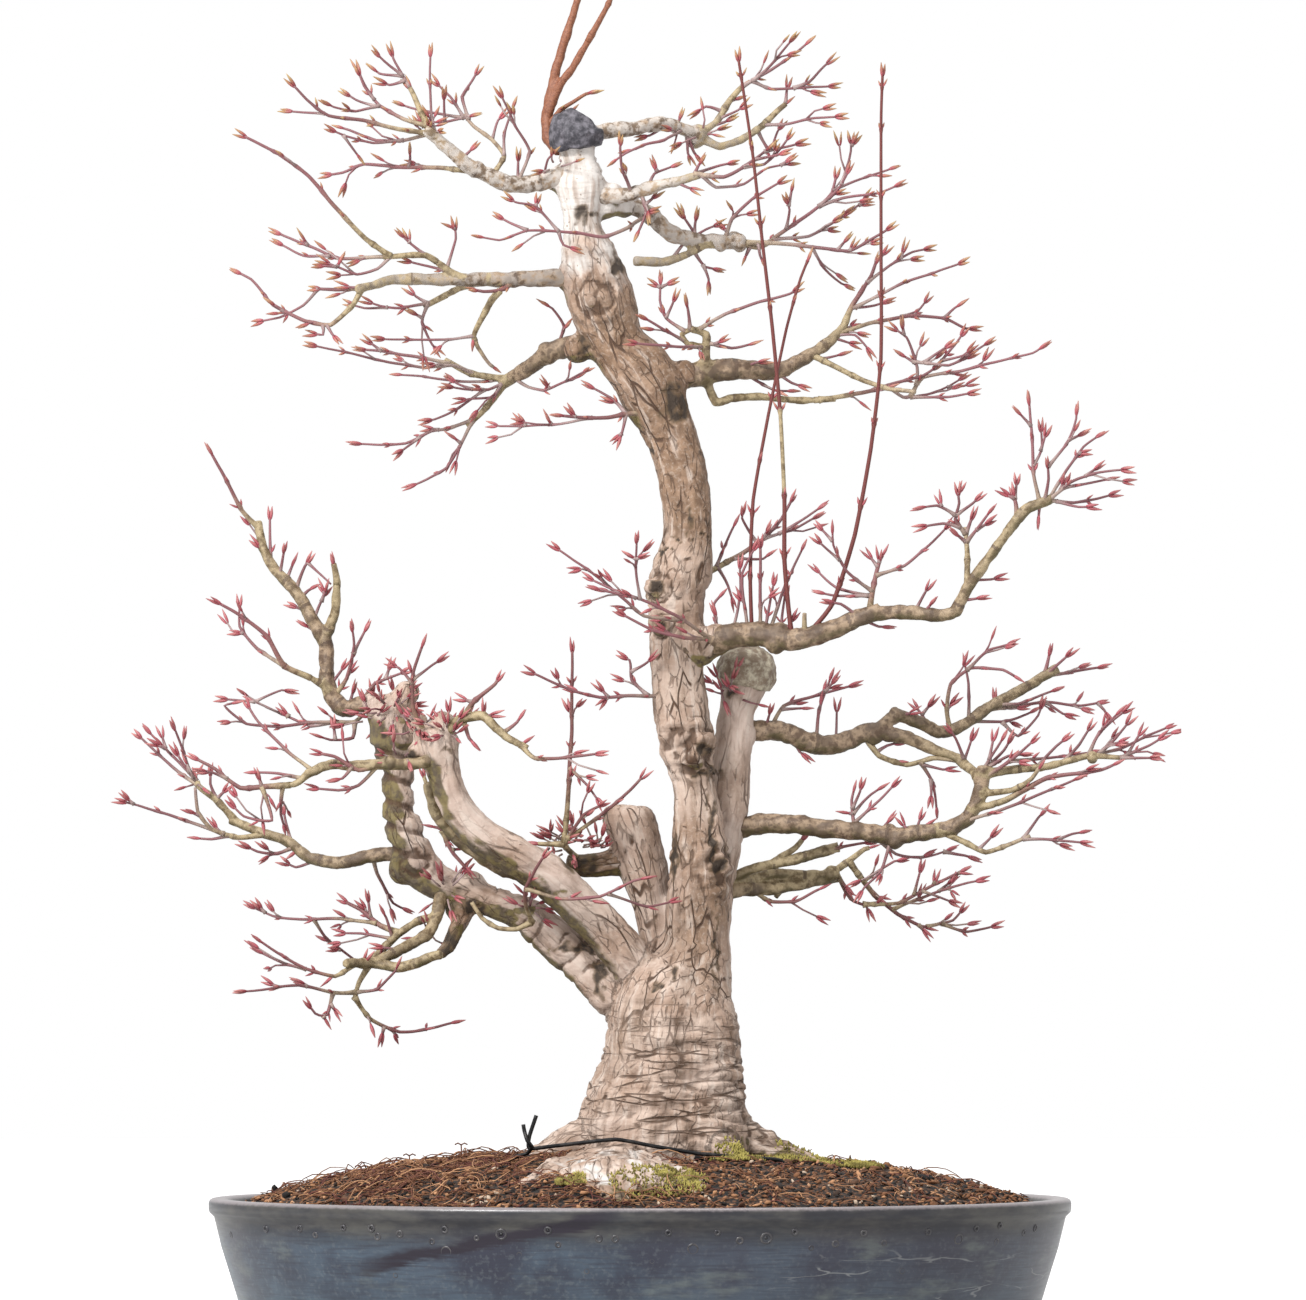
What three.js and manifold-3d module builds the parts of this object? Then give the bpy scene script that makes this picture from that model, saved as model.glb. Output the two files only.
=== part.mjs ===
// A Japanese maple bonsai in winter bud, in its oval glazed pot. Millimetres, +Z up.
// The viewer stands at -Y. z = 0 is the underside of the feet and x = 0 is near the middle of the pot.
import * as THREE from "three";
import { mergeVertices } from "three/addons/utils/BufferGeometryUtils.js";
import Module from "manifold-3d";

const wasm = await Module();
wasm.setup();
const { Manifold } = wasm;

// Driving dimensions of the pot.
const RIM_HALF_WIDTH = 215.7;
const RIM_HALF_DEPTH = 163;
const DEPTH_RATIO = RIM_HALF_DEPTH / RIM_HALF_WIDTH;
const POT_TOP = 81;
const FOOT_HEIGHT = 8;
const FLOOR_TOP = 17;
const INNER_RIM = 206;
const INNER_FLOOR = 181;
const POT_SIDES = 36;
const DRAIN_HOLE_RADIUS = 9;
const DRAIN_HOLE_X = 82;
const WIRE_HOLE_RADIUS = 2.6;
const WIRE_HOLE_X = 76;
const WIRE_RADIUS = 1;
const FOOT_X = 130;
const FOOT_Y = 85;
const FOOT_RADIUS = 20;
const MESH_SIDE = 32;
const MESH_OPENING = 8;
const MESH_THICKNESS = 1.4;
const SOIL_SIDES = 24;

// Driving dimensions of the tree.
const GAP = 0.3;
const BUD_LENGTH = 8.5;
const BUD_RADIUS = 1.25;
const BUD_SPREAD = 0.3;
const FAN = 0.55;
const LIMB_DEPTH = 2.4;
const TWIG_DEPTH = 1.5;
const GOLDEN = 0.618034;
const LIMB_TOLERANCE = 1.9;
const TWIG_TOLERANCE = 2.6;
const PAIRED_FROM = 75;
const SHORTEST = 17;
const STOUT = 2.1;
const SAMPLES = 8;
const SEAM = 0.01;

// A closed three.js geometry as a solid that can be joined and cut.
function solid(geometry) {
  const bare = new THREE.BufferGeometry();
  bare.setAttribute("position", geometry.getAttribute("position"));
  if (geometry.index) bare.setIndex(geometry.index);
  const merged = mergeVertices(bare, 1e-4);
  const corner = merged.index.array;
  const kept = [];
  for (let i = 0; i < corner.length; i += 3) {
    const [a, b, c] = [corner[i], corner[i + 1], corner[i + 2]];
    if (a !== b && b !== c && c !== a) kept.push(a, b, c);
  }
  const vertProperties = new Float32Array(merged.getAttribute("position").array);
  return new Manifold(new wasm.Mesh({ numProp: 3, vertProperties, triVerts: new Uint32Array(kept) }));
}

// The largest body of a solid: what a cut leaves loose is dropped.
function largest(made) {
  const bodies = made.decompose();
  return bodies.reduce((a, b) => (b.volume() > a.volume() ? b : a));
}

// A solid as a named mesh with its own material.
function piece(name, made, colour, roughness, metalness = 0) {
  const data = made.getMesh();
  const place = new Float32Array(data.numVert * 3);
  for (let i = 0; i < data.numVert; i++) {
    place.set(data.vertProperties.subarray(i * data.numProp, i * data.numProp + 3), i * 3);
  }
  const geometry = new THREE.BufferGeometry();
  geometry.setAttribute("position", new THREE.BufferAttribute(place, 3));
  geometry.setIndex(new THREE.BufferAttribute(data.triVerts, 1));
  geometry.computeVertexNormals();
  const material = new THREE.MeshStandardMaterial({ color: colour, roughness, metalness });
  const mesh = new THREE.Mesh(geometry, material);
  mesh.name = name;
  return mesh;
}

// A stem: a cylinder whose rings are carried along a smooth line, each ring with its own radius.
function stem(line, radii, sides, flat = 1, extra = 0) {
  const curve = new THREE.CatmullRomCurve3(line, false, "centripetal");
  const rings = line.length - 1;
  const centres = [];
  const across = [];
  const depth = [];
  let normal = new THREE.Vector3(0, 1, 0);
  for (let k = 0; k <= rings; k++) {
    const tangent = curve.getTangent(k / rings);
    if (k === 0 && Math.abs(tangent.y) > 0.9) normal.set(1, 0, 0);
    normal = normal.clone().addScaledVector(tangent, -normal.dot(tangent)).normalize();
    centres.push(line[k]);
    depth.push(normal);
    across.push(new THREE.Vector3().crossVectors(tangent, normal));
  }
  const geometry = new THREE.CylinderGeometry(1, 1, 1, sides, rings);
  const place = geometry.getAttribute("position");
  for (let i = 0; i < place.count; i++) {
    const k = Math.round((0.5 - place.getY(i)) * rings);
    const radius = radii[k] + extra;
    const point = centres[k]
      .clone()
      .addScaledVector(depth[k], place.getX(i) * radius * flat)
      .addScaledVector(across[k], place.getZ(i) * radius);
    place.setXYZ(i, point.x, point.y, point.z);
  }
  return solid(geometry);
}

// A bud: a slim spindle of three sides that points along a direction.
function bud(base, direction, size = 1) {
  const profile = [
    new THREE.Vector2(0, 0),
    new THREE.Vector2(BUD_RADIUS * size, BUD_LENGTH * size * 0.38),
    new THREE.Vector2(0, BUD_LENGTH * size),
  ];
  const geometry = new THREE.LatheGeometry(profile, 3);
  const turn = new THREE.Quaternion().setFromUnitVectors(new THREE.Vector3(0, 1, 0), direction);
  geometry.applyQuaternion(turn).translate(base.x, base.y, base.z);
  return solid(geometry);
}

// Points given as x, y, z, radius in fours.
function heavy(list, sides, flat = 1) {
  const line = [];
  const radii = [];
  for (let i = 0; i < list.length; i += 4) {
    line.push(new THREE.Vector3(list[i], list[i + 1], list[i + 2]));
    radii.push(list[i + 3]);
  }
  return { line, radii, sides, flat };
}

function ball(x, y, z, radius, extra = 0) {
  return solid(new THREE.SphereGeometry(radius + extra, 6, 3).translate(x, y, z));
}

// The trunk. The first stem leans left in the upper half, and the second rises behind its right side.
// Every group of four numbers is x, y, z and the radius there.
const firstTrunk = heavy(
  [
    12, 0, 68, 46, 12, 0, 94, 45, 12.5, 0, 112, 44, 13.5, 0, 124, 42, 15, 0, 134, 40, 16, 0, 143, 37.4,
    16.5, 0, 153, 34.8, 17, 0, 164, 34, 18.5, 0, 176, 33, 22, 0, 187, 28, 26, 0, 197, 19.5,
    28.5, 0, 208, 16,
    28.5, -1, 228, 15.4, 29.5, -2, 247, 15, 29, -2, 268, 12.8, 27, -2, 287, 10.5, 25, -2, 297, 11.5,
    24, -2, 306, 14, 22, -2, 316, 13.8, 20, -2, 328, 13.6, 18.5, -2, 345, 13.2, 18, -2, 362, 13.6,
    18.5, -2, 382, 14.2, 21.5, -2, 397, 15, 23.5, -2, 410, 12.3, 23.5, -1, 428, 12.5, 20.5, -1, 447, 13,
    13.5, 0, 467, 13.8, 7.5, 0, 481, 16.8, 0, 0, 494, 16.4, -10.5, 0, 507, 14, -17.5, 0, 523, 16.5,
    -22, 0, 540, 16.6, -26, 0, 554, 13.6, -28.7, 0, 566, 9.4, -29.3, 0, 577, 10.4, -30, 0, 588, 13,
    -31, 0, 600, 9.2, -32, 0, 612, 9.5,
  ],
  10,
  0.86,
);
const secondTrunk = heavy(
  [
    33, 10, 176, 12, 36, 15, 196, 9.5, 36, 17, 230, 10, 38.5, 18, 247, 10.6, 43, 19, 272, 10.8,
    45.5, 20, 294, 9.8, 47, 20, 308, 10, 48.5, 20, 322, 9.2, 51, 20, 334, 11, 53, 20, 342, 13,
    53, 20, 349, 12,
  ],
  8,
);
const stump = heavy(
  [
    16, 10, 178, 10, 9, 13, 208, 8.6, 6, 14, 228, 10.2, 2, 14, 245, 12.4, -2.5, 14, 261, 13.4,
    -6, 14, 273, 13.6, -6, 14, 278, 9.6,
  ],
  8,
);
const stumpStub = heavy([-3, 14, 250, 6.4, -15, 14, 248.4, 6.4, -28, 14, 247, 6.2, -37, 14, 248, 4.2], 6);
const limbA = heavy(
  [
    10, 0, 178, 12, -7, -5, 202, 11.4, -19.5, -8, 217, 10.6, -33, -12, 230, 10.4, -47, -15, 243, 10.4,
    -60, -18, 251, 9.8, -72, -20, 258, 9.6, -82, -22, 265, 9, -90, -24, 274, 8.6, -95, -25, 284, 8.2,
    -98, -26, 295, 8.2, -101, -27, 306, 10.2, -102, -27, 315, 8,
  ],
  8,
);
const limbB = heavy(
  [
    2, 4, 169, 12.6, -13, 5, 181.5, 11, -26, 7, 195, 10.6, -40, 9, 207.5, 10.6, -55, 11, 220.5, 9.4,
    -70, 12, 227.5, 8.4, -86, 13, 233, 8.4, -98, 14, 237, 9.2, -107, 15, 243, 10, -114, 16, 253, 10.2,
    -118, 17, 264, 9.8, -121, 17, 275, 8.6, -121, 18, 287, 8.2, -122, 18, 299, 9, -125, 18, 310, 10.6,
    -125, 18, 322, 9, -125, 18, 333, 6.4,
  ],
  8,
);
const deadHook = heavy(
  [-88, 12, 232, 6, -89, 8, 222, 5.6, -92, 3, 214, 4.6, -96, -1, 206, 4.2, -101, -4, 202.5, 3.2],
  5,
);

// Roots leave the flare on all sides. A thick pale one runs forward over the soil and forks.
const roots = [
  heavy([36, -4, 118, 15, 58, -6, 108, 10.4, 80, -8, 98.5, 7.2, 103, -10, 92, 5.4, 126, -12, 86, 3.4], 6),
  heavy([-10, -4, 118, 14, -34, -6, 108, 10.6, -54, -8, 99, 7, -74, -12, 93, 5, -96, -16, 86, 3.4], 6),
  heavy([10, 20, 116, 16, 8, 42, 101, 11, 4, 66, 91, 6, 2, 88, 83, 3.4], 5),
  heavy([30, 14, 116, 16, 54, 34, 100, 9, 78, 54, 90, 5, 98, 70, 83, 3], 5),
  heavy([-8, 14, 116, 16, -34, 34, 100, 9, -58, 52, 90, 5, -78, 66, 83, 3], 5),
  heavy([28, -18, 114, 15, 46, -36, 99, 9, 62, -54, 89, 5, 76, -70, 82, 3], 5),
  heavy(
    [
      4, -14, 104, 20, -6, -32, 97, 15, -12, -56, 94, 14.4, -14, -84, 90.4, 13.6, -14, -112, 83, 12.4,
      -12, -134, 74, 9,
    ],
    8,
  ),
  heavy([-6, -46, 96, 12, 10, -70, 93.4, 9.6, 22, -96, 88.4, 9, 29, -122, 79, 7], 6),
  heavy([-16, -42, 95, 13, -34, -58, 93.6, 11, -46, -80, 90, 9.6, -56, -102, 84, 7], 6),
];

// Swellings around old cuts, and the hollows in their middles.
const knots = [
  [30, -7, 307, 8],
  [38, -5, 247, 8.6],
  [9, -9, 386, 6.6],
  [11, -11, 367, 5.6],
  [-113, 9, 248, 6],
  [-22, -11, 531, 8],
  [-8, -6, 549, 7],
];
const hollows = [
  [32, -16, 306, 3.2],
  [40.5, -13.5, 247, 3.6],
  [8.5, -16, 385.5, 3.4],
  [10, -17, 366.6, 2.6],
  [-41.5, -7.5, 597, 2.8],
];

const heavyWood = [firstTrunk, secondTrunk, stump, stumpStub, limbA, limbB, deadHook, ...roots];

function wood(extra = 0) {
  const stems = heavyWood.map((w) => stem(w.line, w.radii, w.sides, w.flat, extra));
  const bumps = knots.map(([x, y, z, r]) => ball(x, y, z, r, extra));
  return Manifold.union([...stems, ...bumps]);
}

const woodSpace = wood(GAP);

// Points off the straight line between their neighbours by less than a tolerance are left out.
function simplified(path, tolerance) {
  const last = path.length - 2;
  const [ax, az, bx, bz] = [path[0], path[1], path[last], path[last + 1]];
  const span = Math.hypot(bx - ax, bz - az);
  let far = 0;
  let at = -1;
  for (let i = 2; i < last; i += 2) {
    const off = Math.abs((bx - ax) * (path[i + 1] - az) - (bz - az) * (path[i] - ax)) / span;
    if (off > far) {
      far = off;
      at = i;
    }
  }
  if (far < tolerance) return [ax, az, bx, bz];
  const before = simplified(path.slice(0, at + 2), tolerance).slice(0, -2);
  return [...before, ...simplified(path.slice(at), tolerance)];
}

// A spray: one branch with all its twigs and buds, as one body. Paths are given as x, z pairs, as the
// tree is seen from the front. How far each twig swings towards or away from the viewer follows an even
// rule of turns, and every twig starts on the middle line of the nearest stem of its own spray.
class Spray {
  constructor(name, seed, colour) {
    this.name = name;
    this.turn = seed;
    this.colour = colour;
    this.solids = [];
    this.space = [];
    this.samples = [];
  }

  add(line, radii, sides) {
    this.solids.push(stem(line, radii, sides));
    this.space.push(stem(line, radii, sides, 1, GAP));
    this.latest = SAMPLES * (line.length - 1);
    for (let k = 0; k < this.latest; k++) {
      const i = Math.floor(k / SAMPLES);
      this.samples.push(line[i].clone().lerp(line[i + 1], (k % SAMPLES) / SAMPLES));
    }
  }

  // A branch that springs from the trunk: radii and depths run between their first and last value.
  limb(points, from, to, near, far, sides = 6) {
    const path = simplified(points, LIMB_TOLERANCE);
    const line = [];
    const radii = [];
    const last = path.length / 2 - 1;
    for (let k = 0; k <= last; k++) {
      const s = k / last;
      line.push(new THREE.Vector3(path[2 * k], near + LIMB_DEPTH * (far - near) * s, path[2 * k + 1]));
      radii.push(from + (to - from) * s);
    }
    this.add(line, radii, sides);
    return this;
  }

  // A swelling around an old node of a branch.
  knob(x, z, radius) {
    const p = this.nearest(x, z);
    this.solids.push(solid(new THREE.SphereGeometry(radius, 6, 4).translate(p.x, p.y, p.z)));
  }

  nearest(x, z) {
    let best = this.samples[0];
    let least = Infinity;
    for (const p of this.samples) {
      const away = Math.hypot(p.x - x, p.z - z);
      if (away < least) {
        least = away;
        best = p;
      }
    }
    return best;
  }

  // A twig that starts on the nearest stem. It swings in depth evenly along its length, or sooner where
  // the power called early is under 1, as a twig does that passes in front of the trunk. With buds, its
  // end swells into one and tapers to a point, and a long twig has a second one beside it (buds 2).
  // Without (buds 0) it ends plainly in another stem. The shortest spurs are left out here.
  twig(points, from = 0.8, to = 0.6, buds = 2, swing = null, early = 1) {
    this.turn = (this.turn + GOLDEN) % 1;
    const path = simplified(points, TWIG_TOLERANCE);
    const root = this.nearest(path[0], path[1]);
    let length = 0;
    for (let i = 2; i < path.length; i += 2) {
      length += Math.hypot(path[i] - path[i - 2], path[i + 1] - path[i - 1]);
    }
    if (length < SHORTEST) return;
    const reach = swing === null ? (this.turn * 2 - 1) * FAN * length : swing * TWIG_DEPTH;
    const line = [root.clone()];
    let along = 0;
    for (let i = 2; i < path.length; i += 2) {
      along += Math.hypot(path[i] - path[i - 2], path[i + 1] - path[i - 1]);
      line.push(new THREE.Vector3(path[i], root.y + reach * Math.pow(along / length, early), path[i + 1]));
    }
    const radii = line.map((p, k) => from + ((to - from) * k) / (line.length - 1));
    if (from < STOUT) radii[0] = 0;
    const sides = from > 1.7 ? 4 : 3;
    if (buds === 0) {
      this.add(line, radii, sides);
      return;
    }
    const end = line[line.length - 1];
    const direction = end.clone().sub(line[line.length - 2]).normalize();
    line.splice(line.length - 1, 0, end.clone().addScaledVector(direction, -0.62 * BUD_LENGTH));
    radii.splice(radii.length - 1, 1, BUD_RADIUS, 0);
    this.add(line, radii, sides);
    if (buds === 2 && length > PAIRED_FROM) this.side(end, direction);
  }

  // The second bud of a tip.
  side(end, direction) {
    const across = new THREE.Vector3(0, 1, 0).cross(direction).normalize();
    across.applyAxisAngle(direction, this.turn * 2 * Math.PI);
    const base = end.clone().addScaledVector(direction, -BUD_LENGTH * 0.95);
    this.solids.push(bud(base, direction.clone().addScaledVector(across, BUD_SPREAD).normalize(), 0.9));
  }

  // A long young shoot with opposite pairs of buds, each pair turned a quarter from the last.
  whip(points, from, to, swing, pairs) {
    this.twig(points, from, to, 2, swing);
    const span = this.samples.slice(-this.latest);
    for (let k = 1; k <= pairs; k++) {
      const at = Math.floor((k / (pairs + 0.6)) * (span.length - 2));
      const tangent = span[at + 1].clone().sub(span[at]).normalize();
      const across = new THREE.Vector3(0, 1, 0).cross(tangent).normalize();
      across.applyAxisAngle(tangent, (k % 2) * 1.4);
      for (const s of [-1, 1]) {
        const aim = tangent.clone().addScaledVector(across, s * 0.6).normalize();
        this.solids.push(bud(span[at], aim, 0.8));
      }
    }
  }

  // All its stems and buds joined. Edges too short to be seen are drawn together.
  mesh() {
    const joined = Manifold.union(this.solids).subtract(woodSpace).simplify(SEAM);
    return piece(this.name, largest(joined), this.colour, 0.7);
  }
}

const TAN = 0x9a7a63;
const OLIVE = 0x8c7a58;
const GREY = 0x8d7b78;
const PURPLE = 0x6f5057;

// The shoots that stand on the cut top of the tree.
function topShoots() {
  const s = new Spray("top_shoots", 0.1, PURPLE);
  s.limb(
    [-40, 604, -46, 611, -47, 621, -45, 632, -42, 646, -37, 662, -28, 692, -20, 722, -14, 748],
    3.2, 0.8, 0, 6, 5,
  );
  s.twig([-45, 628, -40, 638, -34, 646, -28, 656, -15, 680, -5, 702, 8, 728], 2.4, 0.6, 2, -14);
  s.twig([-44, 618, -40, 625, -34, 629, -27, 633, -17, 635], 1.6, 0.8, 2, -6);
  s.twig([-45, 613, -38, 621, -33, 626, -27, 626], 1.4, 0.9, 1, 8);
  return s;
}

function topLeft() {
  const s = new Spray("branches_top_left", 0.2, GREY);
  s.limb(
    [-30, 594, -42, 591, -55, 588, -66, 588, -78, 593, -86, 597, -93, 603, -101, 610, -107, 615],
    5.4, 3, 0, -8, 6,
  );
  s.knob(-82, 594, 5);
  s.twig([-107, 615, -110, 625, -114, 634, -119, 643], 1.8, 1.3, 2, 4);
  s.twig([-118, 641, -123, 650, -125, 660], 0.9);
  s.twig([-119, 641, -129, 650, -135, 657], 0.9);
  s.twig([-119, 641, -130, 643, -138, 650], 0.9);
  s.twig([-117, 638, -125, 637, -134, 640], 0.9);
  s.twig([-107, 615, -118, 620, -130, 627, -137, 636, -144, 652], 1.4, 0.7);
  s.twig([-132, 629, -138, 637, -143, 651], 0.8);
  s.twig([-129, 626, -142, 624, -153, 626, -162, 631], 0.9);
  s.twig([-131, 627, -142, 630, -153, 637], 0.8);
  s.twig([-107, 613, -120, 614.5, -138, 619, -155, 621, -166, 629, -178, 642], 1.5, 0.7, 2, -14);
  s.twig([-157, 622, -168, 623, -182, 624], 0.8);
  s.twig([-106, 612, -118, 609.5, -132, 609.5, -145, 615, -156, 618], 1.2, 0.7, 2, 16);
  s.twig([-119, 608, -133, 608, -146, 611, -160, 617], 0.9, 0.6, 2, -10);
  s.twig([-147, 612, -141, 602, -136, 597], 0.8);
  s.twig([-79, 593, -100, 596, -120, 596.5, -138, 598, -149, 594, -163, 592], 1.6, 0.7, 2, 14);
  s.twig([-112, 597, -115, 603, -121, 606], 0.8);
  s.twig([-102, 611, -104, 622, -105, 645, -104, 660], 0.9, 0.6, 2, 5);
  s.twig([-74, 590, -68, 602, -74, 610, -83, 617, -88, 623], 1.5, 1.1, 0, 10);
  s.twig([-88, 623, -89, 632, -83, 642, -78, 651], 1, 0.7);
  s.twig([-87, 621, -100, 619, -112, 621], 0.9);
  s.twig([-88, 623, -104, 624, -115, 627, -126, 631], 1, 0.6, 2, 12);
  s.twig([-88, 623, -95, 632, -107, 644], 0.9);
  s.twig([-87, 622, -78, 624], 0.8);
  s.twig([-98, 622, -98, 631, -93, 637], 0.8);
  s.twig([-68, 603, -68, 612, -65, 622, -61, 633], 0.9);
  s.twig([-62, 589, -55, 604, -62, 616, -66, 625, -73, 638], 1.1, 0.6, 2, -12);
  s.twig([-74, 611, -71, 620, -64, 627], 0.8);
  s.twig([-60, 588, -61, 600, -59, 608], 0.9);
  s.twig([-50, 590, -46, 600, -38, 607], 0.8, 0.6, 1, -10);
  s.twig([-90, 600, -84, 605, -79, 612], 0.9);
  return s;
}

function secondLeft() {
  const s = new Spray("branches_left_second", 0.35, GREY);
  s.limb(
    [-28, 541, -45, 541, -65, 540, -85, 540, -105, 540, -122, 540, -132, 537, -141, 534.5],
    4.8, 2.2, 0, -14, 6,
  );
  s.twig([-139, 535, -152, 534.5, -168, 536], 1.4, 0.8);
  s.twig([-139, 535, -143, 527, -154, 517, -167, 519, -183, 527, -194, 540, -207, 546], 1.6, 0.7, 2, 10);
  s.twig([-178, 524, -188, 531], 0.8, 0.6, 1);
  s.twig([-160, 535, -168, 527, -180, 521, -197, 518], 0.9);
  s.twig([-158, 516, -158, 512, -170, 514], 0.8);
  s.twig([-155, 517, -152, 511, -144, 511], 0.8);
  s.twig([-86, 540, -95, 544, -107, 552, -128, 551], 2, 1.5, 0, -8);
  s.twig([-96, 543, -108, 547, -123, 551], 0.9);
  s.twig([-126, 551, -137, 560, -153, 577, -165, 591, -180, 602, -204, 614], 1.6, 0.8, 2, -12);
  s.twig([-126, 551, -150, 550.5, -160, 554.5, -178, 562, -188, 567], 1.2, 0.7, 2, 14);
  s.twig([-167, 557, -172, 567], 0.8);
  s.twig([-153, 552, -168, 552, -186, 561], 0.9);
  s.twig([-126, 551, -131, 545, -141, 542, -151, 546, -164, 551], 1, 0.6);
  s.twig([-149, 545, -166, 546.5], 0.8);
  s.twig([-150, 545, -147, 553], 0.8);
  s.twig([-107, 552, -115, 558, -123, 566], 0.9);
  s.twig([-115, 558, -117, 566], 0.8);
  s.twig([-97, 545, -92, 560, -93, 572], 1);
  s.twig([-93, 565, -101, 569], 0.8);
  s.twig([-75, 540, -90, 536, -100, 531, -108, 527], 2.2, 1.6, 0, 10);
  s.twig([-107, 527, -120, 526, -130, 527, -141, 531], 1);
  s.twig([-106, 528, -112, 532, -119, 539], 0.9);
  s.twig([-108, 526, -109, 519, -104, 508, -97, 500], 1);
  s.twig([-109, 521, -120, 527], 0.8);
  s.twig([-127, 527, -138, 526, -151, 530], 0.8);
  s.twig([-138, 536, -146, 536, -151, 541], 0.8);
  s.twig([-60, 541, -68, 535, -78, 534, -89, 536], 1.5, 0.8);
  s.twig([-69, 536, -74, 530, -80, 519, -83, 512, -81, 506, -75, 498, -67, 493], 2, 1, 1, 14);
  s.twig([-82, 512, -96, 510, -115, 510, -136, 510.5], 0.9);
  s.twig([-83, 511, -84, 504], 0.8);
  return s;
}

function thirdLeft() {
  const s = new Spray("branches_left_third", 0.5, GREY);
  s.limb([-14, 509, -25, 508, -36, 507, -46, 504, -54, 498, -62, 493, -69, 489], 7, 3, 3, 16, 7);
  s.knob(-47, 506, 5.4);
  s.twig([-69, 489, -85, 494, -98, 501], 2, 1.6, 0, 8);
  s.twig([-97, 501, -115, 503, -134, 506, -147, 507], 1.2, 0.7);
  s.twig([-132, 506, -141, 514], 0.8);
  s.twig([-84, 494, -93, 498, -110, 497, -133, 501, -150, 505, -170, 509], 1.1, 0.6, 2, -14);
  s.twig([-68, 490, -90, 490, -110, 493, -128, 494], 1, 0.6, 2, 18);
  s.twig([-67, 489, -76, 486, -88, 486, -102, 488], 1);
  s.twig([-84, 486, -92, 489, -100, 495], 0.8);
  s.twig([-68, 487, -74, 482, -86, 481, -96, 479], 0.9);
  s.twig([-67, 489, -73, 482, -80, 474, -87, 468], 2, 1.5, 0, 6);
  s.twig([-86, 469, -97, 466.5, -105, 465, -118, 459, -130, 458.5, -149, 459], 1.1, 0.6);
  s.twig([-112, 462, -120, 455, -127, 451], 0.8);
  s.twig([-101, 466, -113, 467.5], 0.8);
  s.twig([-86, 469, -90, 459, -97, 447, -107, 441, -121, 435], 1.1, 0.6);
  s.twig([-90, 460, -99, 466], 0.8);
  s.twig([-78, 484, -92, 476, -103, 471, -114, 469], 0.9);
  s.twig([-62, 490, -56, 487, -48, 485, -38, 489, -30, 493, -22, 497], 1, 0.7, 2, -30);
  s.twig([-46, 486, -50, 492], 0.8);
  s.twig([-42, 505, -38, 517, -44, 526, -52, 530], 1.1, 0.7, 2, -8);
  return s;
}

function fourthLeft() {
  const s = new Spray("twigs_left_fourth", 0.65, PURPLE);
  s.limb([8, 474, -7, 473, -16, 471, -30, 471, -47, 472.5], 1.6, 0.8, -4, -12, 4);
  s.twig([-31, 471, -38, 478], 0.8);
  s.twig([-22, 471, -40, 468, -57, 467, -70, 467, -80, 470], 0.9);
  s.twig([-55, 467, -63, 474], 0.8);
  s.twig([-46, 468, -49, 476], 0.8);
  s.twig([-6, 474, -13, 480, -20, 484, -31, 490], 1);
  s.twig([-6, 473, -9, 463, -12, 454], 1);
  s.twig([-9, 462, -15, 458], 0.8);
  return s;
}

function topRight() {
  const s = new Spray("branches_top_right", 0.15, PURPLE);
  s.limb([-26, 613, -16, 615, -4, 616, 10, 619, 20, 617, 31, 612], 4, 3.4, 4, 16, 6);
  s.knob(31, 612, 6);
  s.twig([31, 612, 38, 620, 45, 631, 51, 638, 59, 641], 2.2, 1.4, 1, 6);
  s.twig([57, 641, 65, 646, 78, 655, 90, 665], 1.1);
  s.twig([56, 640, 63, 646, 72, 656, 80, 666], 1);
  s.twig([58, 640, 66, 637, 84, 638, 104, 639], 1);
  s.twig([42, 626, 33, 628, 23, 621], 1);
  s.twig([46, 632, 56, 634], 0.9);
  s.twig([38, 618, 44, 621, 44, 628], 0.9);
  s.twig([42, 619, 49, 626, 56, 631], 0.8);
  s.twig([18, 617, 20, 622, 22, 629], 0.9);
  s.twig([32, 612, 40, 608, 52, 612, 62, 619, 70, 627, 79, 635], 2.4, 1.4, 1, 8);
  s.twig([76, 632, 75, 646], 0.9);
  s.twig([77, 634, 85, 641, 93, 649, 101, 655], 1);
  s.twig([60, 618, 72, 619, 88, 622, 106, 623], 1, 0.6, 2, -12);
  s.twig([57, 616, 65, 606, 69, 616, 75, 624], 1);
  s.twig([24, 614, 27, 605, 34, 596], 1.1);
  s.twig([23, 613, 24, 604, 28, 596], 1);
  s.twig([20, 616, 12, 610, 3, 607.5, -7, 603, -18, 595], 1.1, 0.7, 2, -30, 0.4);
  s.twig([14, 618, 5, 613, -6, 611], 0.9);
  return s;
}

function secondRight() {
  const s = new Spray("branches_right_second", 0.3, PURPLE);
  s.limb([-24, 583, -12, 582, -4, 583, 6, 586, 16, 588.5, 30, 592], 4.6, 2, 0, -6, 6);
  s.twig([4, 586, 7, 593, 14, 596, 22, 599], 1);
  s.twig([8, 593, 5, 602], 0.9);
  s.twig([24, 591, 30, 598, 36, 604], 1);
  s.twig([28, 592, 40, 597, 53, 600], 1);
  s.twig([29, 592, 42, 591, 52, 596, 60, 602, 69, 609], 1.4, 0.7, 2, -8);
  s.twig([57, 600, 66, 601, 76, 604], 0.9);
  s.twig([62, 604, 74, 606, 87, 610], 0.9);
  s.twig([52, 595, 62, 597, 71, 606, 79, 617], 1);
  s.twig([30, 591, 38, 586, 52, 588, 64, 596, 82, 599], 1.1);
  s.twig([71, 598, 81, 604], 0.8);
  s.twig([18, 589, 26, 585, 32, 589], 0.9);
  s.twig([-2, 584, -9, 595, -10, 605, -9, 614], 1.1, 0.7, 2, -12, 0.5);
  s.twig([-1, 584, 3, 575, 0, 566, -4, 556], 1.2);
  s.twig([1, 577, 7, 581, 12, 585], 0.9);
  s.twig([2, 573, 9, 575], 0.8);
  return s;
}

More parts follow.
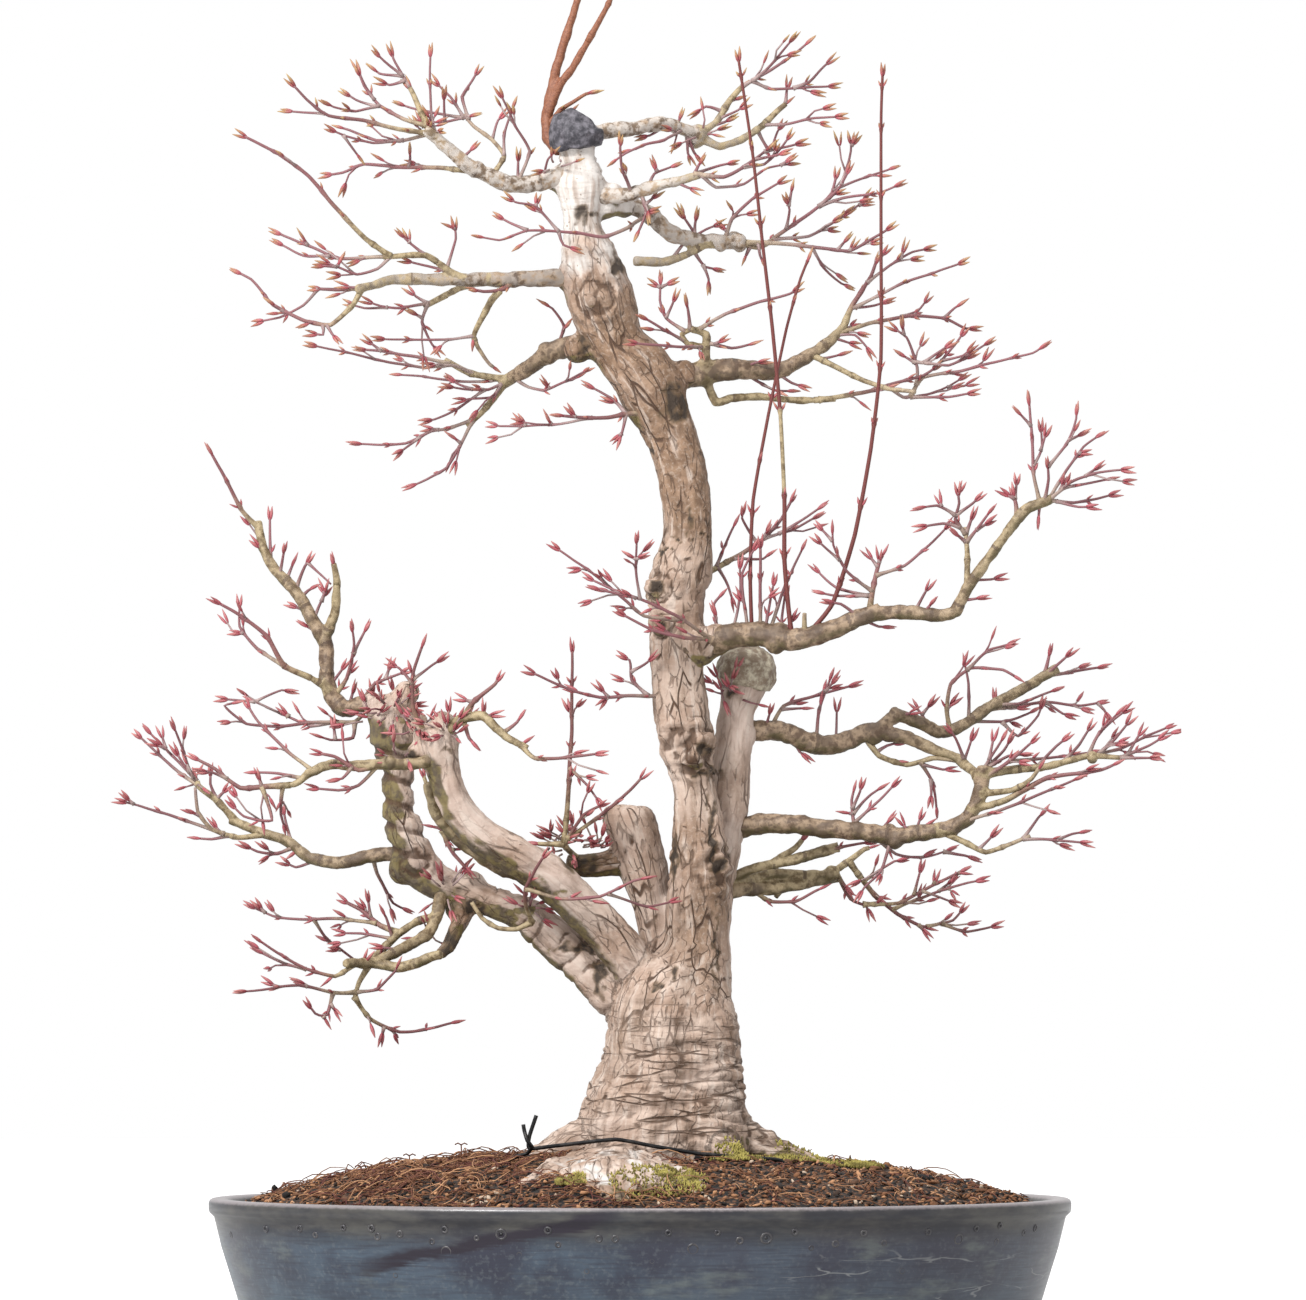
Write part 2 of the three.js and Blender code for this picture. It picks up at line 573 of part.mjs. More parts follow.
function thirdRight() {
  const s = new Spray("branches_right_third", 0.45, PURPLE);
  s.limb([-24, 574, -12, 577, -2, 577, 6, 572, 15, 564, 26, 560.5, 38, 560, 52, 559.5], 5, 3.6, 4, 14, 6);
  s.knob(38, 560, 5);
  s.knob(50, 560, 5);
  s.twig([36, 559, 25, 554, 12, 549.5, -3, 550], 1.8, 2.6, 0, -8);
  s.twig([14, 552, 22, 559, 33, 566, 44, 570], 1.1);
  s.twig([29, 564, 22, 572, 16, 577], 1);
  s.twig([20, 572, 19, 580], 0.8);
  s.twig([28, 565, 28, 571, 34, 577], 0.9);
  s.twig([42, 560, 46, 571, 56, 581, 66, 587, 77, 593], 1.3);
  s.twig([44, 566, 39, 569], 0.8);
  s.twig([50, 559, 60, 557, 70, 564, 86, 575, 96, 584, 100, 601], 1.5, 0.8, 2, 10);
  s.twig([72, 566, 75, 576, 71, 586], 0.9);
  s.twig([75, 578, 78, 594], 0.9);
  s.twig([90, 577, 100, 587, 108, 602], 1);
  s.twig([101, 591, 106, 606, 106, 618], 0.9);
  s.twig([106, 606, 112, 617], 0.8);
  s.twig([52, 558, 70, 559, 88, 557, 105, 555, 120, 563, 131, 570], 1.5, 0.7, 2, -16);
  s.twig([97, 556, 108, 566], 0.8);
  s.twig([104, 555, 111, 564], 0.8);
  s.twig([84, 558, 92, 547, 101, 539, 109, 536], 1);
  s.twig([56, 558, 52, 551, 46, 551], 1, 0.7, 1);
  s.twig([58, 558, 61, 551, 69, 549], 0.9, 0.6, 1);
  s.twig([28, 556, 33, 547, 46, 545], 1);
  s.twig([33, 551, 34.5, 541, 34, 531], 0.9);
  s.twig([68, 562, 85, 563, 100, 572, 110, 579, 118, 589], 1.1, 0.6, 2, 18);
  s.twig([110, 579, 118, 581], 0.8);
  s.twig([90, 577, 102, 582, 120, 584.5, 136, 591], 1);
  s.twig([97, 585, 108, 591, 120, 595, 133, 600], 0.9);
  s.twig([92, 568, 103, 574, 111, 577], 0.8);
  s.twig([4, 572, -6, 566, -18, 561, -32, 563, -56, 564, -70, 559, -86, 562], 1.3, 0.6, 2, -32, 0.35);
  s.twig([-54, 564, -65, 568, -76, 574], 0.9);
  s.twig([-40, 564, -52, 576, -62, 578, -71, 584], 0.9);
  s.twig([-52, 576, -50, 584], 0.8);
  s.twig([-41, 563, -38, 557, -27, 553], 0.8);
  return s;
}

function fourthRight() {
  const s = new Spray("branches_right_fourth", 0.6, GREY);
  s.limb(
    [3, 491, 16, 492, 26, 492.5, 36, 494.5, 50, 495.5, 68, 494.5, 82, 501, 94, 509, 103, 518],
    7.6, 2.2, 2, 14, 6,
  );
  s.knob(31, 494, 6.4);
  s.twig([103, 517, 107, 529, 116, 543, 121, 558], 1.8, 0.8, 2, 4);
  s.twig([32, 494, 33, 504, 33, 513, 24, 516], 3, 1.8, 0, -4);
  s.twig([32, 506, 24, 508, 21, 513, 27, 516], 1.7, 1.5, 0, -5);
  s.twig([25, 515, 24, 525, 22, 535], 1.1);
  s.twig([22, 514, 13, 521, 10, 530, 11, 547], 1.1);
  s.twig([12, 522, 17, 530, 18, 538], 0.8);
  s.twig([10, 536, 4, 539], 0.8);
  s.twig([11, 536, 17, 539, 23, 536], 0.8);
  s.twig([23, 509, 12, 515, -3, 524], 1, 0.7, 2, -12);
  s.twig([30, 504, 20, 506, -9, 508], 1, 0.7, 2, -30, 0.3);
  s.twig([33, 508, 46, 506, 55, 508, 63, 511], 1.1);
  s.twig([37, 508, 47, 513], 0.8);
  s.twig([30, 515, 43, 523, 60, 529, 75, 533, 85, 539], 1.2, 0.7, 2, -8);
  s.twig([50, 495, 58, 499, 67, 500], 0.9);
  s.twig([50, 495, 58, 490, 68, 485, 82, 485], 1.1);
  s.twig([67, 494, 76, 489, 88, 485], 1);
  s.twig([30, 492, 38, 479, 45, 481, 60, 482, 80, 480, 98, 481], 2.4, 1.7, 0, 10);
  s.twig([97, 481, 111, 484, 128, 489, 142, 493, 154, 501], 1.5, 0.7);
  s.twig([84, 501, 96, 498, 112, 490, 124, 486, 138, 484], 1.7, 1.3, 0, -12);
  s.twig([122, 486, 132, 482, 144, 483.5, 156, 488, 167, 495], 1.1);
  s.twig([154, 487, 163, 488, 173, 492], 0.8);
  s.twig([136, 484, 154, 482, 173, 485], 1);
  s.twig([137, 484, 142, 492, 160, 495, 180, 500, 197, 504, 207, 511], 1.2, 0.6, 2, -12);
  s.twig([138, 488, 139, 497, 134, 512, 122, 520], 1.1);
  s.twig([133, 512, 131, 525], 0.8);
  s.twig([138, 501, 127, 506], 0.8);
  s.twig([139, 500, 155, 498, 168, 505, 180, 513], 1);
  s.twig([150, 499, 158, 508, 166, 520], 0.9);
  s.twig([141, 500, 152, 506, 161, 512], 0.9);
  s.twig([152, 499, 162, 503, 170, 511], 0.8);
  s.twig([100, 513, 115, 519, 135, 523, 153, 522, 164, 517, 174, 518], 1.4, 0.8, 2, 14);
  s.twig([151, 522, 158, 527, 167, 533], 0.8);
  s.twig([128, 522, 140, 526, 148, 536], 0.9);
  s.twig([97, 511, 106, 509, 113, 506], 0.8);
  s.twig([101, 512, 108, 513, 113, 508, 119, 499], 0.8);
  s.twig([92, 500, 100, 503, 105, 508], 0.8);
  s.twig([107, 528, 118, 528, 130, 532], 0.9);
  s.twig([108, 526, 120, 533, 132, 539, 150, 545, 167, 551], 1.1);
  s.twig([113, 541, 125, 548, 137, 555, 151, 558], 1);
  s.twig([130, 552, 135, 564], 0.8);
  s.twig([118, 552, 127, 559], 0.8);
  return s;
}

// The long right branch, with three whips that rise from it and twigs that cross the trunk.
function longRight() {
  const s = new Spray("branch_right_long", 0.25, GREY);
  s.limb([20, 354, 33, 358, 46, 362, 60, 363, 76, 360, 92, 363.5, 105, 369, 120, 375], 7.4, 4, -6, -16, 7);
  s.knob(70, 360, 7.6);
  s.knob(79, 357, 5.6);
  s.twig([120, 375.5, 134, 374, 150, 372, 157, 374, 163, 386, 176, 404, 187, 419], 3.8, 2.3, 0, -10);
  s.twig([163, 387, 163, 402, 162, 416], 1.8, 1.3, 0, 5);
  s.twig([186, 418, 192, 425, 205, 430], 2.8, 2.6, 0, -2);
  s.twig([187, 419, 187, 428, 184, 440], 1.5, 0.8);
  s.twig([186, 430, 176, 436], 0.9);
  s.twig([187, 429, 188, 446], 0.9);
  s.twig([198, 428, 196, 442, 195, 462, 193, 485], 1.2, 0.7);
  s.twig([194, 468, 184, 478], 0.8);
  s.twig([197, 444, 200, 456, 199, 472], 0.9);
  s.twig([199, 454, 204, 470], 0.8);
  s.twig([202, 429, 203, 440, 202, 453], 1.1);
  s.twig([202, 445, 212, 457, 217, 470, 217, 480], 1);
  s.twig([213, 458, 226, 465], 0.8);
  s.twig([203, 430, 212, 444, 221, 456, 234, 465], 1.1);
  s.twig([218, 451, 229, 454], 0.8);
  s.twig([203, 430, 214, 438, 227, 443, 247, 445], 1.1);
  s.twig([221, 441, 233, 450], 0.8);
  s.twig([212, 437, 225, 438, 240, 441], 0.9);
  s.twig([208, 434, 213, 445], 0.8);
  s.twig([204, 430, 216, 428, 228, 430.5, 242, 434], 1.1);
  s.twig([207, 429, 218, 426, 231, 426], 0.9);
  s.twig([198, 427, 198, 415], 0.9);
  s.twig([162, 415, 167, 424, 169, 428], 1.1);
  s.twig([163, 408, 170, 418, 178, 429], 1.1);
  s.twig([168, 415, 180, 422], 0.9);
  s.twig([162, 414, 157, 420, 159, 428, 157, 441], 1.2);
  s.twig([158, 432, 162, 441], 0.8);
  s.twig([157, 421, 166, 428, 174, 436], 1);
  s.twig([157, 422, 148, 427, 133, 424], 1);
  s.twig([149, 427, 147, 435], 0.8);
  s.twig([160, 417, 151, 418, 134, 415], 1);
  s.twig([163, 407, 152, 417], 1);
  s.twig([113, 373, 116, 384, 118, 394, 121, 402, 129, 404], 1.8, 0.9);
  s.twig([120, 400, 119, 407], 0.8);
  s.twig([118, 396, 110, 408], 0.9);
  s.twig([118, 390, 132, 397, 146, 409, 158, 422], 1.1);
  s.twig([116, 383, 103, 394, 96, 407, 96, 421], 1.1);
  s.twig([96, 409, 85, 421], 0.8);
  s.twig([99, 401, 83, 414], 0.8);
  s.twig([114, 381, 98, 386, 84, 399], 1.1);
  s.twig([113, 382, 98, 382, 84, 385], 1);
  s.twig([108, 372, 100, 378, 87, 379], 1.1);
  s.twig([112, 371, 119, 366.5, 128, 367], 1);
  s.twig([138, 373, 143, 385, 145, 394], 1);
  s.twig([139, 373, 150, 384], 0.9);
  s.twig([166, 388, 175, 390, 186, 393], 0.9);
  s.twig([160, 380, 177, 382], 0.9);
  s.whip(
    [78, 361, 74, 376, 72, 400, 72, 430, 70, 472, 66, 515, 61, 558, 56, 603, 48, 656],
    1.8, 0.8, -8, 4.5,
  );
  s.whip([82, 361, 96, 378, 107, 412, 115, 455, 120, 500, 120, 560, 120, 620, 121, 648], 1.8, 0.8, -12, 7);
  s.whip([56, 362, 55, 392, 56.5, 430, 64, 472, 73, 515, 80, 540, 87, 557], 1.3, 0.8, -4, 5);
  s.twig([46, 362, 50, 383, 50, 404], 1);
  s.twig([53, 363, 51, 393, 61, 412], 1.1);
  s.twig([60, 363, 60, 390, 60, 414], 1.2, 0.8, 2, -10);
  s.twig([64, 363, 72, 386, 84, 412], 1.2);
  s.twig([62, 363, 68, 395], 1);
  s.twig([70, 361, 73, 390], 1);
  s.twig([70, 362, 81, 377], 0.9);
  s.twig([82, 362, 82, 373], 1.6, 1.3, 0);
  s.twig([39, 361, 37, 378, 46, 387], 1, 0.8, 1);
  s.twig([40, 361, 22, 361, 6, 365, -15, 376], 1.3, 0.7, 2, -22, 0.4);
  s.twig([58, 363, 50, 365.5, 41, 366], 0.9);
  s.twig([34, 360, 18, 372, 0, 380, -28, 387], 1.2, 0.7, 2, -26, 0.4);
  s.twig([-2, 380, -13, 386], 0.8);
  s.twig([-7, 382, -31, 393], 0.9);
  s.twig([18, 372, 2, 372, -10, 382, -26, 395, -47, 409], 1.2, 0.6, 2, -8);
  s.twig([0, 380, -2, 396, -1, 416], 0.9);
  s.twig([-2, 398, -11, 405], 0.8);
  s.twig([-2, 398, 8, 404], 0.8);
  return s;
}

function centreRight() {
  const s = new Spray("branches_centre_right", 0.55, PURPLE);
  s.limb([30, 392, 40, 397, 52, 404, 62, 411, 71, 421, 79, 436], 1.8, 0.8, 4, 16, 5);
  s.twig([61, 410, 67, 422], 0.9);
  s.twig([62, 411, 78, 416, 94, 425], 1);
  s.twig([70, 414, 84, 422, 96, 431], 0.9);
  s.twig([60, 409, 51, 421, 54, 430], 1);
  s.twig([40, 397, 45, 413, 51, 424], 1);
  s.twig([38, 396, 44, 387, 49, 372], 1);
  s.twig([47, 401, 62, 401, 69, 408], 1);
  return s;
}

function secondLowRight() {
  const s = new Spray("branches_right_low", 0.7, GREY);
  s.limb([44, 314, 58, 314.5, 72, 314, 86, 308, 98, 307.5, 112, 313, 122, 315], 5.4, 4.6, 20, 24, 6);
  s.knob(88, 308, 6);
  s.knob(116, 315, 5.6);
  s.twig([121, 315, 134, 311, 148, 305, 161, 300], 4, 2.2, 0, -4);
  s.twig([119, 316, 128, 322, 137, 320, 150, 314, 160, 316, 175, 326, 195, 337, 210, 346], 3.6, 2.6, 0, 14);
  s.knob(128, 322, 4.6);
  s.twig([209, 346, 206, 353, 208, 362], 1.2);
  s.twig([209, 347, 221, 358], 1.1);
  s.twig([207, 344, 222, 345, 239, 347.5], 1.2);
  s.twig([155, 315, 154, 324, 156, 338, 166, 346, 182, 345, 194, 338], 1.4, 0.8, 1, -12);
  s.twig([165, 345, 175, 355, 192, 360], 1);
  s.twig([167, 321, 165, 338, 162, 355], 1.1);
  s.twig([156, 326, 162, 331], 0.8, 0.6, 1);
  s.twig([148, 315, 139, 326, 133, 330], 1.1);
  s.twig([141, 323, 151, 334], 0.9);
  s.twig([130, 316, 142, 325], 1);
  s.twig([179, 328, 178, 337], 0.9);
  s.twig([176, 327, 190, 328, 203, 333, 215, 337], 1.1);
  s.twig([170, 322, 190, 327, 204, 329, 222, 327, 238, 330], 1.2, 0.7, 2, 16);
  s.twig([203, 329, 213, 323, 223, 321], 0.9);
  s.twig([233, 330, 235, 323, 233, 315], 0.8);
  s.twig([168, 321, 182, 319, 195, 323, 204, 328], 1.1);
  s.twig([182, 320, 190, 312, 200, 322, 204, 334], 1);
  s.twig([114, 312, 120, 302, 134, 297.5, 147, 301, 161, 299], 1.7, 1.3, 0, -4);
  s.twig([117, 304, 124, 307, 135, 310], 1);
  s.twig([128, 301, 138, 299], 0.8, 0.6, 1);
  s.twig([140, 299, 147, 288, 150, 268], 1.2);
  s.twig([143, 298, 152, 295, 163, 296], 0.9);
  s.twig([148, 290, 146, 281, 143, 273], 0.9);
  s.twig([66, 316, 72, 327, 88, 332, 113, 339], 1.3, 0.7, 2, 12);
  s.twig([71, 325, 90, 326], 0.9);
  s.twig([60, 316, 67, 331], 0.9);
  s.twig([87, 311, 90, 325, 98, 348], 1.2);
  s.twig([93, 336, 102, 346], 0.8);
  s.twig([98, 309, 99, 333], 0.9);
  s.twig([75, 312, 80, 304, 89, 298], 0.9);
  s.limb(
    [47, 265, 62, 268, 78, 267.6, 94, 265.4, 112, 264, 126, 261.5, 140, 263.5, 158, 266],
    5.4, 4, 19, 13, 6,
  );
  s.knob(126, 261.5, 5.8);
  s.twig([157, 265.5, 164, 271, 170, 283, 172, 297], 4, 3.6, 0, -1);
  s.twig([171, 284, 168, 293, 160, 300], 2.6, 2.6, 0, 13.7);
  s.twig([171, 294, 186, 295, 205, 297, 224, 302, 242, 301], 2.6, 1.4, 0, -5);
  s.twig([225, 302, 240, 305.5, 256, 313, 271, 319], 1.2);
  s.twig([240, 301, 254, 307, 267, 315], 1);
  s.twig([239, 301, 264, 301], 1);
  s.twig([242, 305, 250, 313, 257, 318], 0.9);
  s.twig([229, 303, 238, 311, 249, 325], 1);
  s.twig([234, 309, 248, 311], 0.8);
  s.knob(227, 303.5, 3.6);
  s.twig([224, 304, 230, 314, 248, 329], 1.1);
  s.twig([231, 315, 234, 323], 0.8);
  s.twig([212, 300, 220, 308, 229, 322], 1.1);
  s.twig([199, 296, 208, 307, 219, 315], 1.1);
  s.twig([171, 283, 186, 285, 196, 291, 204, 303], 1.9, 1.1);
  s.twig([167, 275, 183, 280, 203, 291, 230, 295, 243, 301], 2, 0.8, 1, -16);
  s.twig([160, 267, 180, 275, 200, 283, 223, 293], 1.2, 0.7, 2, -24);
  s.twig([152, 265, 162, 259, 173, 254, 185, 258, 195, 262], 1.8, 1.2, 0, -8);
  s.twig([193, 261, 199, 271, 206, 278], 1);
  s.twig([193, 261, 208, 260, 228, 258], 1);
  s.twig([206, 260, 216, 263, 228, 265], 0.9);
  s.twig([171, 255, 176, 262, 176, 270], 0.9);
  s.twig([174, 290, 188, 302, 201, 314], 1.3);
  s.twig([185, 299, 192, 307], 0.8);
  s.twig([173, 297, 184, 302, 200, 303], 1.1);
  s.twig([184, 301, 205, 301, 233, 305], 1.1);
  s.twig([173, 297, 182, 305, 189, 317], 1.1);
  s.twig([172, 298, 185, 317], 1);
  s.twig([169, 302, 178, 318], 0.9);
  s.twig([164, 301, 169, 318], 0.9);
  s.twig([163, 301, 158, 311, 151, 320], 1);
  s.twig([107, 266, 106, 280, 109, 292], 1.2);
  s.twig([107, 274, 110, 284, 112, 294], 0.9);
  s.twig([107, 272, 116, 283, 126, 289], 1);
  s.twig([108, 270, 120, 280, 133, 293], 1);
  s.twig([106, 272, 100, 274], 0.8, 0.6, 1);
  s.twig([122, 266, 130, 276], 0.9);
  s.twig([134, 266, 127, 275], 0.9);
  s.twig([136, 266, 143, 278], 0.9);
  s.twig([136, 267, 151, 271], 0.8);
  s.twig([127, 258, 121, 245, 112, 236, 108, 228], 1.1);
  s.twig([116, 261, 128, 253, 142, 251, 161, 257], 1.1);
  s.twig([152, 253, 163, 252, 174, 248], 1);
  return s;
}

function lowestRight() {
  const s = new Spray("branches_right_lowest", 0.8, OLIVE);
  s.limb([42, 233, 52, 235, 66, 235.4, 82, 237.6, 100, 240.5], 4, 2.4, 20, 32, 6);
  s.limb([42, 239.6, 56, 240.6, 68, 243, 84, 242, 99, 242], 2.8, 2.4, 22, 32, 5);
  s.knob(98, 242, 4.4);
  s.twig([99, 242, 105, 249, 113, 255, 122, 257], 2, 1.2, 1, 5);
  s.twig([105, 248, 110, 242, 118, 232, 130, 222, 142, 216, 153, 215], 1.8, 0.9, 2, 15);
  s.twig([100, 241, 106, 230, 114, 226, 117, 216], 1.4);
  s.twig([102, 241, 109, 229], 1);
  s.twig([113, 227, 130, 228, 148, 237, 169, 247], 1.3, 0.8, 2, 10);
  s.twig([127, 225, 146, 232, 165, 238, 179, 240], 1.1);
  s.twig([145, 233, 164, 226], 0.8);
  s.twig([151, 234, 161, 242], 0.8);
  s.twig([162, 242, 170, 242], 0.8);
  s.twig([151, 215, 158, 219, 166, 229], 1);
  s.twig([152, 215, 165, 213, 186, 218], 1);
  s.twig([140, 217, 149, 208], 0.9);
  s.twig([147, 236, 150, 247], 0.9);
  s.twig([140, 234, 143, 252], 0.9);
  s.twig([117, 230, 125, 233], 0.8, 0.6, 1);
  s.twig([59, 237, 65, 229, 78, 229, 90, 235, 99, 235], 1.3, 0.7, 1);
  s.twig([68, 238, 68, 231], 1.6, 1.4, 0);
  s.twig([43, 243, 58, 246, 76, 249.6, 100, 256.4], 2.4, 3, 0, 4);
  s.twig([63, 247, 78, 256, 87, 267], 2.1, 1.3);
  s.twig([98, 256, 109, 258, 121, 259.5], 1.1);
  s.twig([121, 246, 128, 249, 138, 249], 0.9);
  return s;
}

function uprightLeft() {
  const s = new Spray("branches_left_upright", 0.33, GREY);
  s.limb(
    [-120, 322, -130, 327, -140, 327, -148, 325.5, -154, 331, -157, 341, -157.5, 358, -166, 373],
    5, 3.4, 18, 22, 6,
  );
  s.twig([-165, 372, -173, 385, -184, 396, -190, 408, -192, 420], 3.4, 2.2, 0, 6);
  s.twig([-157, 361, -153, 374, -152, 390, -155, 406], 3, 1.3, 2, -6);
  s.twig([-191, 418, -200, 425, -210, 445, -219, 460], 1.5, 0.8);
  s.twig([-186, 399, -186, 413, -186, 429], 1.1);
  s.twig([-187, 402, -198, 413], 1);
  s.twig([-180, 393, -177, 412], 1);
  s.twig([-176, 390, -171, 406], 1);
  s.twig([-172, 386, -168, 397, -162, 406], 1.2);
  s.twig([-170, 382, -165, 386, -160, 381], 1);
  s.twig([-162, 370, -158, 383, -152, 389], 1);
  s.twig([-159, 380, -155, 393], 0.9);
  s.twig([-154, 384, -163, 392], 0.9);
  s.twig([-164, 404, -155, 388], 0.8, 0.6, 0);
  s.twig([-167, 375, -179, 378], 1);
  s.twig([-159, 363, -175, 372], 0.9);
  s.twig([-155, 333, -165, 341, -178, 347, -187, 362, -201, 373, -217, 382], 2, 0.8);
  s.twig([-178, 348, -192, 356, -201, 367, -201, 385], 1.3);
  s.twig([-199, 363, -208, 364], 0.8);
  s.twig([-154, 331, -147, 341, -143, 357, -145, 372], 1.5);
  s.twig([-143, 355, -134, 372], 1);
  s.twig([-155, 338, -149, 346, -145, 354], 1);
  s.twig([-149, 345, -142, 347.5], 0.8);
  s.twig([-146, 327, -144, 334, -139, 341], 1);
  s.twig([-138, 327, -133, 338, -112, 346], 1.3);
  s.twig([-127, 342, -123, 354], 0.9);
  s.twig([-134, 328, -134, 341], 1);
  s.twig([-137, 327, -143, 319, -160, 319, -180, 317, -197, 318, -208, 327, -197, 329], 1.3, 0.7, 1, -6);
  s.twig([-153, 319, -165, 317, -182, 324, -200, 332], 1, 0.7, 1, 12);
  s.twig([-196, 330, -180, 335, -170, 332], 0.8);
  s.twig([-196, 330, -216, 331], 0.8);
  s.twig([-177, 322, -183, 329], 1.1, 0.9, 2);
  s.twig([-143, 319, -144, 311, -155, 310, -167, 315], 1.2);
  s.twig([-152, 309, -154, 325], 0.9);
  return s;
}

function middleLeft() {
  const s = new Spray("branches_left_middle", 0.9, TAN);
  s.limb(
    [-101, 304, -107, 299, -117, 298, -130, 298, -142, 297, -154, 298, -166, 293],
    3.4, 2.4, -29, -34, 6,
  );
  s.knob(-122, 298, 3.8);
  s.twig([-165, 293, -172, 288, -186, 287, -199, 286, -212, 296, -228, 304], 2, 0.8, 2, 10);
  s.twig([-205, 290, -213, 294, -225, 296], 0.9);
  s.twig([-161, 295, -175, 304, -190, 319, -199, 333], 1.2, 0.7, 2, 12);
  s.twig([-189, 287, -183, 270, -197, 272, -207, 283], 1.2);
  s.twig([-180, 287, -179, 273, -175, 261], 1.2);
  s.twig([-167, 292, -180, 293.5, -199, 294], 1.1);
  s.twig([-190, 287, -192, 299], 0.9);
  s.twig([-128, 299, -140, 295, -152, 302, -167, 305], 1.5, 0.8, 2, -8);
  s.twig([-130, 297, -140, 287.5, -150, 285, -169, 287], 1.2);
  s.twig([-142, 297, -148, 291, -157, 290], 1);
  return s;
}

// The shoots that stand on the knuckle of the left limb nearer the viewer.
function kneeLeft() {
  const s = new Spray("shoots_left_knuckle", 0.12, TAN);
  s.limb([-101, 308, -109, 317, -113, 326, -113, 342, -110, 352, -106, 363], 1.6, 0.8, -28, -34, 4);
  s.twig([-113, 340, -104, 347, -93, 354], 0.9);
  s.twig([-113, 338, -120, 346, -130, 350], 0.9);
  return s;
}

// The arm that leaves the same knuckle to the right.
function armLeft() {
  const s = new Spray("branches_left_arm", 0.44, TAN);
  s.limb([-100, 309, -90, 320, -78, 322, -67, 312, -56, 306], 3.2, 1.8, -27, -35, 5);
  s.twig([-58, 307, -52, 301, -36, 301.5, -14, 304], 1.4, 0.7);
  s.twig([-68, 313, -61, 319, -56, 328], 1.2);
  s.twig([-88, 320, -83, 329, -72, 338, -67, 347], 1.8, 0.8);
  s.twig([-83, 328, -87, 330, -93, 334], 0.9);
  s.twig([-78, 321, -77.5, 329], 0.9);
  s.twig([-77, 321, -67, 323], 0.9);
  s.twig([-60, 308, -53, 312], 0.9, 0.7, 1);
  s.twig([-88, 319, -85, 311, -77, 303], 1.4);
  return s;
}

function innerLeft() {
  const s = new Spray("branches_left_inner", 0.4, OLIVE);
  s.limb([-52, 238, -60, 243, -72, 247, -82, 254, -94, 263, -102, 274, -106, 289], 4.2, 2.8, -4, -8, 6);
  s.twig([-104, 280, -108, 292, -107, 300], 1.4, 1, 2, 3);
  s.twig([-92, 262, -101, 266, -112, 267], 1.3);
  s.twig([-98, 264, -93, 253, -81, 240], 1.4, 0.9, 2, 3);
  s.twig([-94, 257, -86, 256], 0.9, 0.8, 1);
  return s;
}

function lowLeft() {
  const s = new Spray("branches_left_low", 0.6, GREY);
  s.limb(
    [-112, 250, -124, 253, -138, 251, -152, 248, -166, 251, -177, 259, -192, 264, -206, 270],
    4, 2.2, 17, 26, 6,
  );
  s.twig([-205, 269, -213, 280, -222, 287, -224, 298], 2.1, 1.5, 1, 2);
  s.twig([-222, 287, -236, 297, -257, 316], 1.2);
  s.twig([-223, 289, -229, 297, -237, 310], 1);
  s.twig([-224, 295, -230, 306, -236, 322], 1);
  s.twig([-223, 291, -240, 307, -252, 319], 1);
  s.twig([-240, 307, -249, 310], 0.8);
  s.twig([-240, 307, -242, 318], 0.8);
  s.twig([-187, 262, -202, 261, -215, 265, -222, 274, -223, 286], 1.7, 1, 0, -6);
  s.twig([-221, 273, -232, 276], 0.9);
  s.twig([-212, 264, -218, 273], 0.9);
  s.twig([-209, 264, -224, 268, -245, 275, -266, 281], 1.2);
  s.twig([-256, 279, -263, 286], 0.8);
  s.twig([-205, 261, -215, 260, -230, 261.5], 1);
  s.twig([-172, 256, -182, 253, -192, 254, -204, 260], 1.2);
  s.twig([-162, 250, -173, 246, -184, 252], 1);
  s.twig([-211, 277, -216, 288, -215, 302], 1.1);
  s.twig([-213, 281, -203, 290], 0.9);
  s.twig([-175, 257, -178, 269, -180, 281], 1.1);
  s.twig([-172, 255, -178, 250], 0.9, 0.7, 1);
  s.twig([-133, 252, -132, 243, -124, 228, -112, 222], 1.3);
  return s;
}

